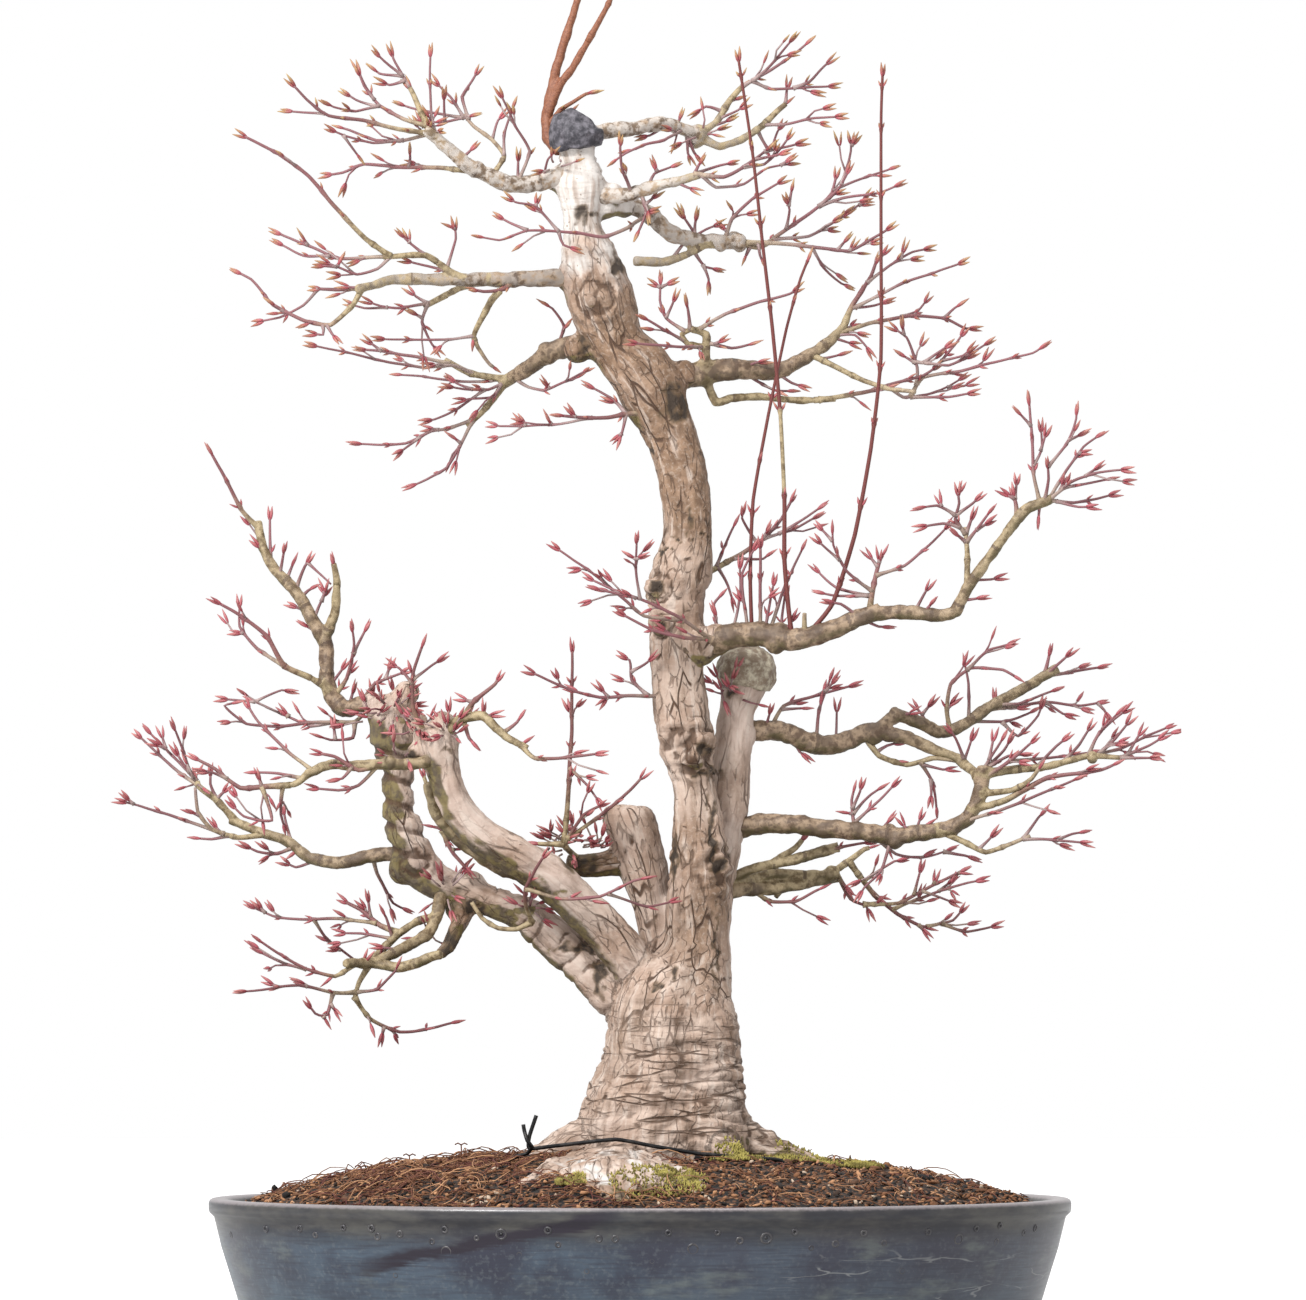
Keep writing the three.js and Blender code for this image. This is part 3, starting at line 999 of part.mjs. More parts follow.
function hangingLeft() {
  const s = new Spray("branches_left_hanging", 0.05, TAN);
  s.limb([-99, 237, -101, 224, -106, 213, -118, 206, -133, 199, -147, 199], 3.4, 2.6, 12, -6, 6);
  s.twig([-133, 199, -122, 196.5, -112, 198.5, -104, 202], 2.8, 2.6, 0, -8);
  s.twig([-102, 223, -112, 219, -122, 212, -135, 199], 2.2, 2, 0, 3);
  s.twig([-120, 213, -130, 217, -140, 225, -154, 232], 1.8, 0.9);
  s.twig([-136, 223, -137.5, 238], 0.9);
  s.twig([-125, 211, -127, 221, -132, 230], 1);
  s.twig([-133, 220, -150, 220.5, -170, 220, -184, 221.5, -201, 229], 1.2, 0.6);
  s.twig([-187, 223, -196, 232], 0.8);
  s.twig([-166, 220, -157, 210, -144, 200], 1, 0.8, 0);
  s.twig([-156, 209, -164, 212], 0.8);
  s.twig([-151, 204, -160, 204.5], 0.8);
  s.twig([-124, 211, -140, 213, -156, 213], 1);
  s.twig([-119, 208, -138, 208], 0.9);
  s.twig([-141, 199, -152, 192.5, -166, 196, -180, 204, -194, 214], 1.4, 0.7);
  s.twig([-167, 197, -178, 199, -196, 208], 0.9);
  s.twig([-139, 199, -133, 207], 0.9);
  s.twig([-136, 204, -129, 204.5], 0.8);
  s.twig([-135, 199, -140, 189, -143, 180], 1.8, 1.2, 0);
  s.twig([-142, 184, -153, 184, -170, 188, -186, 186, -204, 184.5], 1.2, 0.6);
  s.twig([-182, 186, -191, 192], 0.8);
  s.twig([-168, 188, -175, 190], 0.8, 0.6, 1);
  s.twig([-151, 184, -156, 173, -162, 174, -169, 184], 1.1);
  s.twig([-158, 173, -154, 166], 0.9, 0.7, 1);
  s.twig([-153, 178, -147, 169], 0.9);
  s.twig([-143, 180, -135, 171, -120, 164, -104, 166, -87, 170], 1.4, 0.7);
  s.twig([-128, 167, -130, 156], 0.9);
  s.twig([-142, 184, -131, 186, -122, 195, -119, 205], 1, 0.7);
  return s;
}

// Thin twigs in front of the stump and the sawn limbs.
function frontTwigs() {
  const s = new Spray("twigs_front", 0.75, TAN);
  s.limb([-54, 219, -57, 228, -57, 236, -52, 246, -44, 257], 1.4, 0.8, -6, -22, 4);
  s.twig([-56, 236, -40, 231, -20, 232, -3, 240, 10, 243], 1.2, 0.7, 2, -10);
  s.twig([-16, 232, 4, 227, 22, 231], 0.9);
  s.twig([-34, 231, -27, 236], 0.8, 0.6, 1);
  return s;
}

function centreLeft() {
  const s = new Spray("twigs_centre_left", 0.85, PURPLE);
  s.limb([18, 332, 6, 332, -6, 332, -20, 331.5, -36, 335.5, -59, 346], 1.3, 0.7, -2, -20, 4);
  s.twig([2, 332, -4, 340, -5, 350, -15, 353], 1.1);
  s.twig([-4, 344, 5, 350, 3, 357], 0.9);
  s.twig([-14, 332, -22, 325], 0.8);
  s.twig([-16, 332, -23, 340], 0.8);
  return s;
}

function stumpShoots() {
  const s = new Spray("shoots_stump", 0.95, OLIVE);
  s.limb([-32, 251, -38, 258, -37, 268, -35.5, 290, -34, 320, -34, 362], 1.7, 0.8, 14, -2, 4);
  s.twig([-36, 259, -46, 258, -58, 259], 1.7, 1.1);
  s.twig([-35.5, 296, -26, 287, -17, 274], 0.9);
  s.twig([-37, 264, -28, 273, -14, 280], 1.1, 0.8, 2, -14);
  s.twig([-37, 262, -20, 272, -5, 285, 6, 297], 1.3, 0.8, 2, -8);
  s.twig([-37, 262, -29, 266], 1, 0.8);
  s.twig([-37, 264, -43, 271], 1, 0.8);
  return s;
}

// The tie wire lies over the front root. Its legs run down through the soil and the pot floor.
const wireLine = [
  [-51.5, -46, 123.5],
  [-55, -46, 113],
  [-55, -47, 107],
  [-40, -46, 108.6],
  [-12, -46, 111.6],
  [8, -46, 108],
  [30, -46, 104.4],
  [54, -45, 102.4],
  [70, -43, 101],
  [WIRE_HOLE_X, -40, 92],
  [WIRE_HOLE_X, -40, 9],
  [WIRE_HOLE_X - 3, -40, 6.4],
  [3 - WIRE_HOLE_X, -40, 6.4],
  [-WIRE_HOLE_X, -40, 9],
  [-WIRE_HOLE_X, -40, 92],
  [-63, -44, 102.4],
  [-56, -44.4, 104.6],
  [-53.6, -48, 108],
  [-56, -48.4, 111],
  [-57.5, -46, 116],
  [-58, -46, 119],
].map(([x, y, z]) => new THREE.Vector3(x, y, z));

function wire(extra = 0) {
  return stem(wireLine, wireLine.map(() => WIRE_RADIUS), 5, 1, extra);
}

const wireSpace = wire(GAP);

function trunk() {
  const dips = hollows.map(([x, y, z, r]) => ball(x, y, z, r));
  const made = largest(wood().subtract(Manifold.union(dips)).subtract(wireSpace));
  return piece("trunk", made, 0xb39a80, 0.85);
}

// The glazed pot, turned as a round form and pressed to an oval.
function oval(profile, sides) {
  const geometry = new THREE.LatheGeometry(profile.map(([x, z]) => new THREE.Vector2(x, z)), sides);
  return geometry.rotateX(Math.PI / 2).scale(1, DEPTH_RATIO, 1);
}

function upright(radius, low, high, sides, x, y) {
  const geometry = new THREE.CylinderGeometry(radius, radius, high - low, sides).rotateX(Math.PI / 2);
  return solid(geometry.translate(x, y, (low + high) / 2));
}

function pot() {
  const profile = [
    [0, FOOT_HEIGHT],
    [194, FOOT_HEIGHT],
    [209.4, 57],
    [213, 72],
    [RIM_HALF_WIDTH, 74.5],
    [RIM_HALF_WIDTH, POT_TOP],
    [INNER_RIM, POT_TOP],
    [INNER_RIM - 3, 72],
    [INNER_FLOOR, FLOOR_TOP],
    [0, FLOOR_TOP],
  ];
  let body = solid(oval(profile, POT_SIDES));
  for (const x of [-FOOT_X, FOOT_X]) {
    for (const y of [-FOOT_Y, FOOT_Y]) {
      const foot = new THREE.CylinderGeometry(FOOT_RADIUS, FOOT_RADIUS - 2, FOOT_HEIGHT + 1, 12);
      foot.rotateX(Math.PI / 2).scale(1.3, 0.8, 1).translate(x, y, (FOOT_HEIGHT + 1) / 2);
      body = body.add(solid(foot));
    }
    body = body.subtract(upright(DRAIN_HOLE_RADIUS, 0, 30, 12, Math.sign(x) * DRAIN_HOLE_X, 0));
    body = body.subtract(upright(WIRE_HOLE_RADIUS, 0, 30, 8, Math.sign(x) * WIRE_HOLE_X, -40));
  }
  return piece("pot", body, 0x4a5568, 0.32);
}

// Plastic mesh squares over the drain holes.
function drainMesh(name, x) {
  const middle = FLOOR_TOP + GAP + MESH_THICKNESS / 2;
  const pitch = MESH_SIDE / 5;
  let plate = solid(new THREE.BoxGeometry(MESH_SIDE, MESH_SIDE, MESH_THICKNESS).translate(x, 0, middle));
  for (const u of [-pitch, pitch]) {
    for (const v of [-pitch, pitch]) {
      const hole = new THREE.BoxGeometry(MESH_OPENING, MESH_OPENING, 2 * MESH_THICKNESS);
      plate = plate.subtract(solid(hole.translate(x + u, v, middle)));
    }
  }
  return piece(name, plate, 0x2c3a30, 0.6);
}

// The soil is mounded to the trunk and uneven, and stands in the pot with the stems in plain holes.
function soilRise(x, y) {
  return 1.1 * Math.sin(x / 17 + 1) * Math.cos(y / 13) + 0.8 * Math.sin(x / 7.3 + y / 9.1);
}

function soil() {
  const profile = [
    [0, FLOOR_TOP + GAP],
    [INNER_FLOOR - 0.9, FLOOR_TOP + GAP],
    [INNER_RIM - 2.9, 75.5],
    [188, 82.4],
    [160, 90],
    [122, 97],
    [74, 101.6],
    [0, 106],
  ];
  const geometry = oval(profile, SOIL_SIDES);
  const place = geometry.getAttribute("position");
  for (let i = 0; i < place.count; i++) {
    if (place.getZ(i) > 80) place.setZ(i, place.getZ(i) + soilRise(place.getX(i), place.getY(i)));
  }
  let made = solid(geometry).subtract(woodSpace).subtract(wireSpace);
  for (const x of [-DRAIN_HOLE_X, DRAIN_HOLE_X]) {
    const side = MESH_SIDE + 2 * GAP;
    const room = new THREE.BoxGeometry(side, side, 2 * (MESH_THICKNESS + 2 * GAP));
    made = made.subtract(solid(room.translate(x, 0, FLOOR_TOP)));
  }
  return piece("soil", largest(made), 0x4b3a30, 0.95);
}

// Wound putty over the cut top of the tree and over the cut second trunk.
function putty(name, lump, space, colour) {
  const made = stem(lump.line, lump.radii, lump.sides).subtract(woodSpace).subtract(Manifold.union(space));
  return piece(name, largest(made), colour, 0.75);
}

const crownPutty = heavy(
  [-31, 0, 605.5, 12, -32, 0, 612, 13.6, -32, 0, 618, 12, -29, 0, 623, 6],
  7,
);
const stubPutty = heavy(
  [52, 20, 336.5, 13.4, 53, 20, 342, 15, 53, 20, 351, 13.6, 52.5, 20, 357, 6],
  8,
);

const group = new THREE.Group();
group.name = "japanese_maple_bonsai";
group.add(pot(), soil(), trunk());
group.add(drainMesh("drain_mesh_left", -DRAIN_HOLE_X), drainMesh("drain_mesh_right", DRAIN_HOLE_X));
group.add(piece("tie_wire", wire(), 0x1d1d20, 0.5, 0.6));
const sprays = [
  topShoots(),
  topLeft(),
  secondLeft(),
  thirdLeft(),
  fourthLeft(),
  topRight(),
  secondRight(),
  thirdRight(),
  fourthRight(),
  longRight(),
  centreRight(),
  secondLowRight(),
  lowestRight(),
  uprightLeft(),
  middleLeft(),
  kneeLeft(),
  armLeft(),
  innerLeft(),
  lowLeft(),
  hangingLeft(),
  frontTwigs(),
  centreLeft(),
  stumpShoots(),
];
group.add(...sprays.map((s) => s.mesh()));
group.add(putty("crown_putty", crownPutty, [sprays[0], sprays[5]].flatMap((s) => s.space), 0x3d444f));
group.add(putty("stub_putty", stubPutty, [], 0x77777a));
export default group;
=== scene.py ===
# %% [markdown]
# # A Japanese maple bonsai in winter bud
# The tree is rebuilt over a fixed model of its pieces. Each cell makes one piece or one finish,
# and the words before it say what the real thing is and why it is made this way.

# %% load the fixed model
import bmesh
import bpy
import math
import random
from itertools import accumulate
from mathutils import Matrix, Vector, noise
from mathutils.bvhtree import BVHTree
from mathutils.kdtree import KDTree


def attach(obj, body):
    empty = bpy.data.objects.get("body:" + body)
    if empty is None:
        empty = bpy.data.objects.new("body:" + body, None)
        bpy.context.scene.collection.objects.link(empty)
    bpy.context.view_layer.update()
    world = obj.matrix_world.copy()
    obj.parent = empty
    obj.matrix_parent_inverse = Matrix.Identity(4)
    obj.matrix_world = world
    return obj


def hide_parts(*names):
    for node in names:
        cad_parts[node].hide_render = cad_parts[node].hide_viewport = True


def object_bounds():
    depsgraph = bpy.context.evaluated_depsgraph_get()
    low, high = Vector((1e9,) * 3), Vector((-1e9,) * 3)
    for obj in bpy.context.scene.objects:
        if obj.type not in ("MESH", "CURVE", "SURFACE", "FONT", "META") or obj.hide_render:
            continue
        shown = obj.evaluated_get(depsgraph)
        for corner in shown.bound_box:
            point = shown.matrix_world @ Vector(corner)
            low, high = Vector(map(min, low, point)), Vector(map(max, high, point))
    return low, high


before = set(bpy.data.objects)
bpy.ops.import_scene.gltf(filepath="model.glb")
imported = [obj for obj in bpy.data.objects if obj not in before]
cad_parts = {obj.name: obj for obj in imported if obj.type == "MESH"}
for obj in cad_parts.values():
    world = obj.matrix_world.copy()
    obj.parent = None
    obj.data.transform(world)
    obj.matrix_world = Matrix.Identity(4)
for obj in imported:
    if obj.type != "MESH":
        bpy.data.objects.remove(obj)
cad_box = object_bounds()
MM = 0.001
BODY = "root"
noise.seed_set(7)  # without a seed, the vector noise would bend the twigs anew in every run
print("pieces of the model:", len(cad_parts))

# %% [markdown]
# ## Camera and light
# The tree was seen from far away, from a little below its middle, so a long lens keeps its lines upright.
# The light is a bright sky that is darker below the horizon, with three soft panels, as in a white
# studio. The floor turns whiter away from the pot, where the panels no longer reach, so that it runs
# into the sky without an edge.

# %% the camera
CAMERA_DISTANCE = 8.0
CAMERA_HEIGHT = 0.332
AIM = Vector((0.0065, 0, 0.355))
camera_data = bpy.data.cameras.new("front_camera")
camera_data.lens = 441
camera_data.sensor_width = 36
camera_data.clip_end = 50
camera = bpy.data.objects.new("front_camera", camera_data)
bpy.context.collection.objects.link(camera)
camera.location = (AIM.x, -CAMERA_DISTANCE, CAMERA_HEIGHT)
camera.rotation_euler = (AIM - camera.location).to_track_quat("-Z", "Y").to_euler()
bpy.context.scene.camera = camera
print("camera at", [round(v, 3) for v in camera.location])

# %% the light and the floor
world = bpy.data.worlds.new("white_sky")
world.use_nodes = True
sky = world.node_tree
direction = sky.nodes.new("ShaderNodeTexCoord")
height = sky.nodes.new("ShaderNodeSeparateXYZ")
sky.links.new(direction.outputs["Generated"], height.inputs[0])
ramp = sky.nodes.new("ShaderNodeMapRange")
ramp.interpolation_type = "SMOOTHSTEP"
for socket, number in (("From Min", -0.5), ("From Max", -0.1), ("To Min", 0.35), ("To Max", 1.0)):
    ramp.inputs[socket].default_value = number
sky.links.new(height.outputs["Z"], ramp.inputs["Value"])
sky.links.new(ramp.outputs[0], sky.nodes["Background"].inputs["Strength"])
sky.nodes["Background"].inputs["Color"].default_value = (1, 1, 1, 1)
bpy.context.scene.world = world
bpy.context.scene.view_settings.view_transform = "Standard"


def soft_panel(name, place, size, power):
    data = bpy.data.lights.new(name, "AREA")
    data.shape = "SQUARE"
    data.size = size
    data.energy = power
    panel = bpy.data.objects.new(name, data)
    bpy.context.collection.objects.link(panel)
    panel.location = place
    panel.rotation_euler = (AIM - Vector(place)).to_track_quat("-Z", "Y").to_euler()
    print(name, "has", power, "watts")


soft_panel("key_panel", (-1.5, -1.9, 2.2), 1.0, 150)
soft_panel("fill_panel", (1.9, -1.6, 1.2), 1.6, 6)
soft_panel("top_panel", (0.2, 0.2, 2.6), 1.2, 26)

# %% [markdown]
# ## Shader maths
# A finish is easier to read when its sums are written as sums. The class Wire wraps one socket, so
# a + b or 1 - a adds a Math node. The class Finish holds one material, and its method node makes every
# other node. Most finishes are built as paint is: one colour first, then others laid over it where a
# mask says so.


# %% a socket that can be used in sums
class Wire:
    def __init__(self, finish, socket):
        self.finish = finish
        self.socket = socket

    def sum(self, operation, *others):
        made = self.finish.node("ShaderNodeMath", {"operation": operation}, {})
        for slot, value in enumerate((self, *others)):
            self.finish.feed(made.inputs[slot], value)
        return Wire(self.finish, made.outputs[0])

    def __add__(self, other):
        return self.sum("ADD", other)

    def __sub__(self, other):
        return self.sum("SUBTRACT", other)

    def __rsub__(self, other):
        made = self.finish.node("ShaderNodeMath", {"operation": "SUBTRACT"}, {0: other, 1: self})
        return Wire(self.finish, made.outputs[0])

    def __mul__(self, other):
        return self.sum("MULTIPLY", other)

    __radd__ = __add__
    __rmul__ = __mul__

    def least(self, other):
        return self.sum("MINIMUM", other)

    def most(self, other):
        return self.sum("MAXIMUM", other)

    def step(self, low, high):
        """0 below low, 1 above high, smooth between. Turned round where low is over high."""
        first, last = (0, 1) if low < high else (1, 0)
        made = self.finish.node(
            "ShaderNodeMapRange",
            {"interpolation_type": "SMOOTHSTEP"},
            {"Value": self, "From Min": min(low, high), "From Max": max(low, high),
             "To Min": first, "To Max": last},
        )
        return Wire(self.finish, made.outputs[0])


# %% a material with one method for its nodes
class Finish:
    def __init__(self, name, roughness=0.8, **plain):
        self.material = bpy.data.materials.new(name)
        self.material.use_nodes = True
        self.tree = self.material.node_tree
        self.shader = self.tree.nodes["Principled BSDF"]
        self.shader.inputs["Roughness"].default_value = roughness
        for socket, value in plain.items():
            self.shader.inputs[socket.replace("_", " ")].default_value = value
        place = self.node("ShaderNodeTexCoord", {}, {})
        self.place = Wire(self, place.outputs["Object"])
        self.facing = Wire(self, place.outputs["Normal"])

    def feed(self, socket, value):
        if isinstance(value, Wire):
            self.tree.links.new(value.socket, socket)
        elif socket.type == "RGBA" and len(value) == 3:
            socket.default_value = (*value, 1)
        else:
            socket.default_value = value

    def node(self, kind, settings, inputs):
        made = self.tree.nodes.new(kind)
        for key, value in settings.items():
            setattr(made, key, value)
        for key, value in inputs.items():
            self.feed(made.inputs[key], value)
        return made

    def attribute(self, name, out="Fac"):
        """A vertex layer: one number or, with Vector, three, such as the place of a point on its stem."""
        made = self.node("ShaderNodeAttribute", {"attribute_name": name}, {})
        return Wire(self, made.outputs[out])

    def parts(self, vector):
        made = self.node("ShaderNodeSeparateXYZ", {}, {0: vector})
        return [Wire(self, out) for out in made.outputs]

    def stretched(self, scale, vector=None):
        made = self.node("ShaderNodeMapping", {}, {"Vector": vector or self.place, "Scale": scale})
        return Wire(self, made.outputs[0])

    def cloud(self, scale, detail=3, vector=None, roughness=0.5):
        made = self.node(
            "ShaderNodeTexNoise", {},
            {"Vector": vector or self.place, "Scale": scale, "Detail": detail, "Roughness": roughness},
        )
        return Wire(self, made.outputs["Fac"])

    def cells(self, scale, vector=None, feature="DISTANCE_TO_EDGE", out="Distance"):
        made = self.node(
            "ShaderNodeTexVoronoi", {"feature": feature}, {"Vector": vector or self.place, "Scale": scale}
        )
        return Wire(self, made.outputs[out])

    def bent(self, vector, scale, amount):
        """The vector moved about by a soft noise, so that a pattern on it isn't straight."""
        made = self.node("ShaderNodeTexNoise", {}, {"Vector": vector, "Scale": scale, "Detail": 2})
        pull = self.node("ShaderNodeVectorMath", {"operation": "SUBTRACT"},
                         {0: Wire(self, made.outputs["Color"]), 1: (0.5, 0.5, 0.5)})
        far = self.node("ShaderNodeVectorMath", {"operation": "SCALE"},
                        {0: Wire(self, pull.outputs[0]), "Scale": amount})
        both = self.node("ShaderNodeVectorMath", {"operation": "ADD"},
                         {0: vector, 1: Wire(self, far.outputs[0])})
        return Wire(self, both.outputs[0])

    def fissures(self, scale, vector, width, share):
        """A net of thin cracks that come and go: 1 in a crack, 0 off it."""
        strength = self.cloud(scale * 0.9, 3, vector).step(share, share + 0.12)
        return self.cells(scale, vector).step(width, width * 0.2) * strength

    def mix(self, share, first, second):
        made = self.node("ShaderNodeMix", {"data_type": "RGBA"}, {})
        self.feed(made.inputs[0], share)
        self.feed(made.inputs[6], first)
        self.feed(made.inputs[7], second)
        return Wire(self, made.outputs[2])

    def start(self, share, first, second):
        """The first coat of colour, a blend of two."""
        self.coat = self.mix(share, first, second)
        self.feed(self.shader.inputs["Base Color"], self.coat)

    def over(self, share, colour):
        """Lays a colour over the coats so far: none of it where the share is 0, all where it is 1."""
        self.start(share, self.coat, colour)

    def rough(self, value):
        self.feed(self.shader.inputs["Roughness"], value)

    def relief(self, height, depth_mm, strength=1.0):
        bump = self.node("ShaderNodeBump", {},
                         {"Height": height, "Strength": strength, "Distance": depth_mm * MM})
        self.feed(self.shader.inputs["Normal"], Wire(self, bump.outputs[0]))


# The sky and the panels together light a surface more than a plain white sky would, so every colour
# is taken down by the same share.
EXPOSURE = 0.53


def shade(red, green, blue):
    """A colour given as it looks on a screen, from 0 to 255, in the numbers that light adds up in."""
    return tuple(EXPOSURE * (v / 255) ** 2.2 for v in (red, green, blue))


# %% the floor
FLOOR_RADIUS = 4
FAR_WHITE = (0.975, 0.975, 0.973)
floor_finish = Finish("pale_floor", roughness=0.9)
across, along, _ = floor_finish.parts(floor_finish.place)
far = (across * across + along * along).step(0.3, 1.5)
floor_finish.start(floor_finish.cloud(3), shade(250, 250, 249), shade(255, 255, 254))
floor_finish.over(far, FAR_WHITE)


def as_object(mesh, name):
    """A bmesh becomes an object at the origin."""
    data = bpy.data.meshes.new(name)
    mesh.to_mesh(data)
    mesh.free()
    made = bpy.data.objects.new(name, data)
    bpy.context.collection.objects.link(made)
    return made


disc = bmesh.new()
bmesh.ops.create_circle(disc, cap_ends=True, segments=96, radius=FLOOR_RADIUS)
floor = as_object(disc, "floor")
floor.data.materials.append(floor_finish.material)
print("floor:", 2 * FLOOR_RADIUS, "m across")

# %% [markdown]
# ## Two helpers for the pieces
# Every finished mesh becomes an object in the same way: it gets its material, rides on the tree's one
# body and hides the pieces of the model that it stands for, if it is given any. Every stem, twig, fibre
# and wire is a tube: a circle whose edge loop is extruded ring by ring along a line, and closed at both ends.


# %% make a piece
def piece(name, mesh, material, slot, *nodes):
    """One finished piece, with its material and the nodes that it stands for. The slot is not used."""
    made = as_object(mesh, name)
    made.data.materials.append(material)
    made.data.shade_smooth()
    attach(made, BODY)
    if nodes:
        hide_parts(*nodes)
    print(name, "has", sum(len(face.vertices) - 2 for face in made.data.polygons), "triangles")
    return made


# %% a tube along a line
def stood_on(place, way):
    """The matrix that stands a form on a place, with its Z axis along a direction."""
    return Matrix.Translation(place) @ way.to_track_quat("Z", "Y").to_matrix().to_4x4()


def ring_places(points, radii, flat=1.0):
    """One matrix for each ring. The ring's first axis is kept near to the depth of the tree."""
    places = []
    side = Vector((0, 1, 0))
    for k, (point, radius) in enumerate(zip(points, radii)):
        along = (points[min(k + 1, len(points) - 1)] - points[max(k - 1, 0)]).normalized()
        if k == 0 and abs(along.y) > 0.9:
            side = Vector((1, 0, 0))
        side = (side - along * side.dot(along)).normalized()
        across = along.cross(side)
        turn = Matrix((side, across, along)).transposed().to_4x4()
        size = Matrix.Diagonal((radius * flat, radius, radius, 1))
        places.append(Matrix.Translation(point) @ turn @ size)
    return places


def tube(points, radii, sides=6, flat=1.0, notes=None):
    """A closed tube in a mesh of its own. Notes gives values for each ring, kept as vertex layers."""
    mesh = bmesh.new()
    layers = {name: mesh.verts.layers.float.new(name) for name in notes or {}}
    places = ring_places(points, radii, flat)
    verts = bmesh.ops.create_circle(mesh, segments=sides, radius=1, matrix=places[0])["verts"]
    edges = list(mesh.edges)
    for k, place in enumerate(places):
        if k:
            grown = bmesh.ops.extrude_edge_only(mesh, edges=edges)["geom"]
            edges = [part for part in grown if isinstance(part, bmesh.types.BMEdge)]
            verts = [part for part in grown if isinstance(part, bmesh.types.BMVert)]
            bmesh.ops.transform(mesh, verts=verts, matrix=place @ places[k - 1].inverted())
        for name, layer in layers.items():
            for vert in verts:
                vert[layer] = notes[name][k]
    bmesh.ops.holes_fill(mesh, edges=mesh.edges, sides=0)
    bmesh.ops.recalc_face_normals(mesh, faces=mesh.faces)
    return mesh


def take_in(whole, part):
    """Adds one mesh to another and drops it."""
    data = bpy.data.meshes.new("part")
    part.to_mesh(data)
    part.free()
    whole.from_mesh(data)
    bpy.data.meshes.remove(data)


# %% a smooth line through points
def smooth_line(points, gap, ease=1.0):
    """A line of even small steps through points of any number of values, by the Catmull-Rom rule. With
    an ease near 0 it stays near the straight lines between its points."""
    size = len(points[0])
    made = []
    ends = [points[0], *points, points[-1]]
    for k in range(len(points) - 1):
        a, b, c, d = ends[k: k + 4]
        long = math.dist(b[:3], c[:3])
        steps = max(1, round(long / gap))
        for i in range(steps):
            t = i / steps
            leave, arrive = t * (t - 1) ** 2, t * t * (t - 1)
            made.append([
                b[j] + (c[j] - b[j]) * (t - ease * (leave + arrive))
                + 0.5 * ease * (leave * (c[j] - a[j]) + arrive * (d[j] - b[j]))
                for j in range(size)
            ])
    made.append(list(points[-1]))
    return made


def lengths(points):
    """The length of a line up to each of its points."""
    made = [0.0]
    for a, b in zip(points, points[1:]):
        made.append(made[-1] + math.dist(a, b))
    return made


def value_at(stations, values, at):
    """The value on straight lines between stations, and the last value past them."""
    for k in range(1, len(stations)):
        if at <= stations[k]:
            t = (at - stations[k - 1]) / max(1e-6, stations[k] - stations[k - 1])
            return values[k - 1] + (values[k] - values[k - 1]) * t
    return values[-1]


# %% [markdown]
# ## The trunk, the limbs and the roots
# The tree stands as two trunks on one flared foot. The first is a thick stem that leans left in its
# upper half, the second rises behind its right side and is cut off half way up, and a sawn stump stands
# between them and the two left limbs. Old maple wood grows together without seams. So each stem is a
# tube with an oval ring, all tubes are laid into each other, and the Remesh modifier wraps them in one
# skin of small even faces, which is smoothed and then pushed in and out for the bark.


# %% one skin over several closed shapes
def taken_back(holder):
    """The mesh that an object's modifiers make, as a bmesh. The object goes."""
    done = bpy.data.meshes.new_from_object(
        holder.evaluated_get(bpy.context.evaluated_depsgraph_get())
    )
    made = bmesh.new()
    made.from_mesh(done)
    for block in (holder.data, done):
        bpy.data.meshes.remove(block)
    return made


def one_skin(mesh, voxel_mm, smoothing):
    """A voxel remesh and smoothing over whatever closed shapes the mesh holds."""
    holder = as_object(mesh, "rough_form")
    skin = holder.modifiers.new("skin", "REMESH")
    skin.mode = "VOXEL"
    skin.voxel_size = voxel_mm * MM
    soft = holder.modifiers.new("soft", "SMOOTH")
    soft.factor = 0.5
    soft.iterations = smoothing
    return taken_back(holder)


# %% lines of the wood: x, y, z and radius in millimetres, in fours
def fours(*numbers):
    return [numbers[k: k + 4] for k in range(0, len(numbers), 4)]


first_trunk = fours(
    12, 0, 68, 46, 12, 0, 94, 45, 12.5, 0, 112, 44, 13.5, 0, 124, 42, 15, 0, 134, 40, 16, 0, 143, 37.4,
    16.5, 0, 153, 34.8, 17, 0, 164, 34, 18.5, 0, 176, 33, 22, 0, 187, 28, 26, 0, 197, 19.5,
    28.5, 0, 208, 16, 28.5, -1, 228, 15.4, 29.5, -2, 247, 15, 29, -2, 268, 12.8, 27, -2, 287, 10.5,
    25, -2, 297, 11.5, 24, -2, 306, 14, 22, -2, 316, 13.8, 20, -2, 328, 13.6, 18.5, -2, 345, 13.2,
    18, -2, 362, 13.6, 18.5, -2, 382, 14.2, 21.5, -2, 397, 15, 23.5, -2, 410, 12.3, 23.5, -1, 428, 12.5,
    20.5, -1, 447, 13, 13.5, 0, 467, 13.8, 7.5, 0, 481, 16.8, 0, 0, 494, 16.4, -10.5, 0, 507, 14,
    -17.5, 0, 523, 16.5, -22, 0, 540, 16.6, -26, 0, 554, 13.6, -28.7, 0, 566, 9.4, -29.3, 0, 577, 10.4,
    -30, 0, 588, 13, -31, 0, 600, 9.2, -32, 0, 611, 9.5,
)
second_trunk = fours(
    33, 10, 176, 12, 36, 15, 196, 9.5, 36, 17, 230, 10, 38.5, 18, 247, 10.6, 43, 19, 272, 10.8,
    45.5, 20, 294, 9.8, 47, 20, 308, 10, 48.5, 20, 322, 9.2, 51, 20, 334, 11, 53, 20, 342, 13,
    53, 20, 348, 12,
)
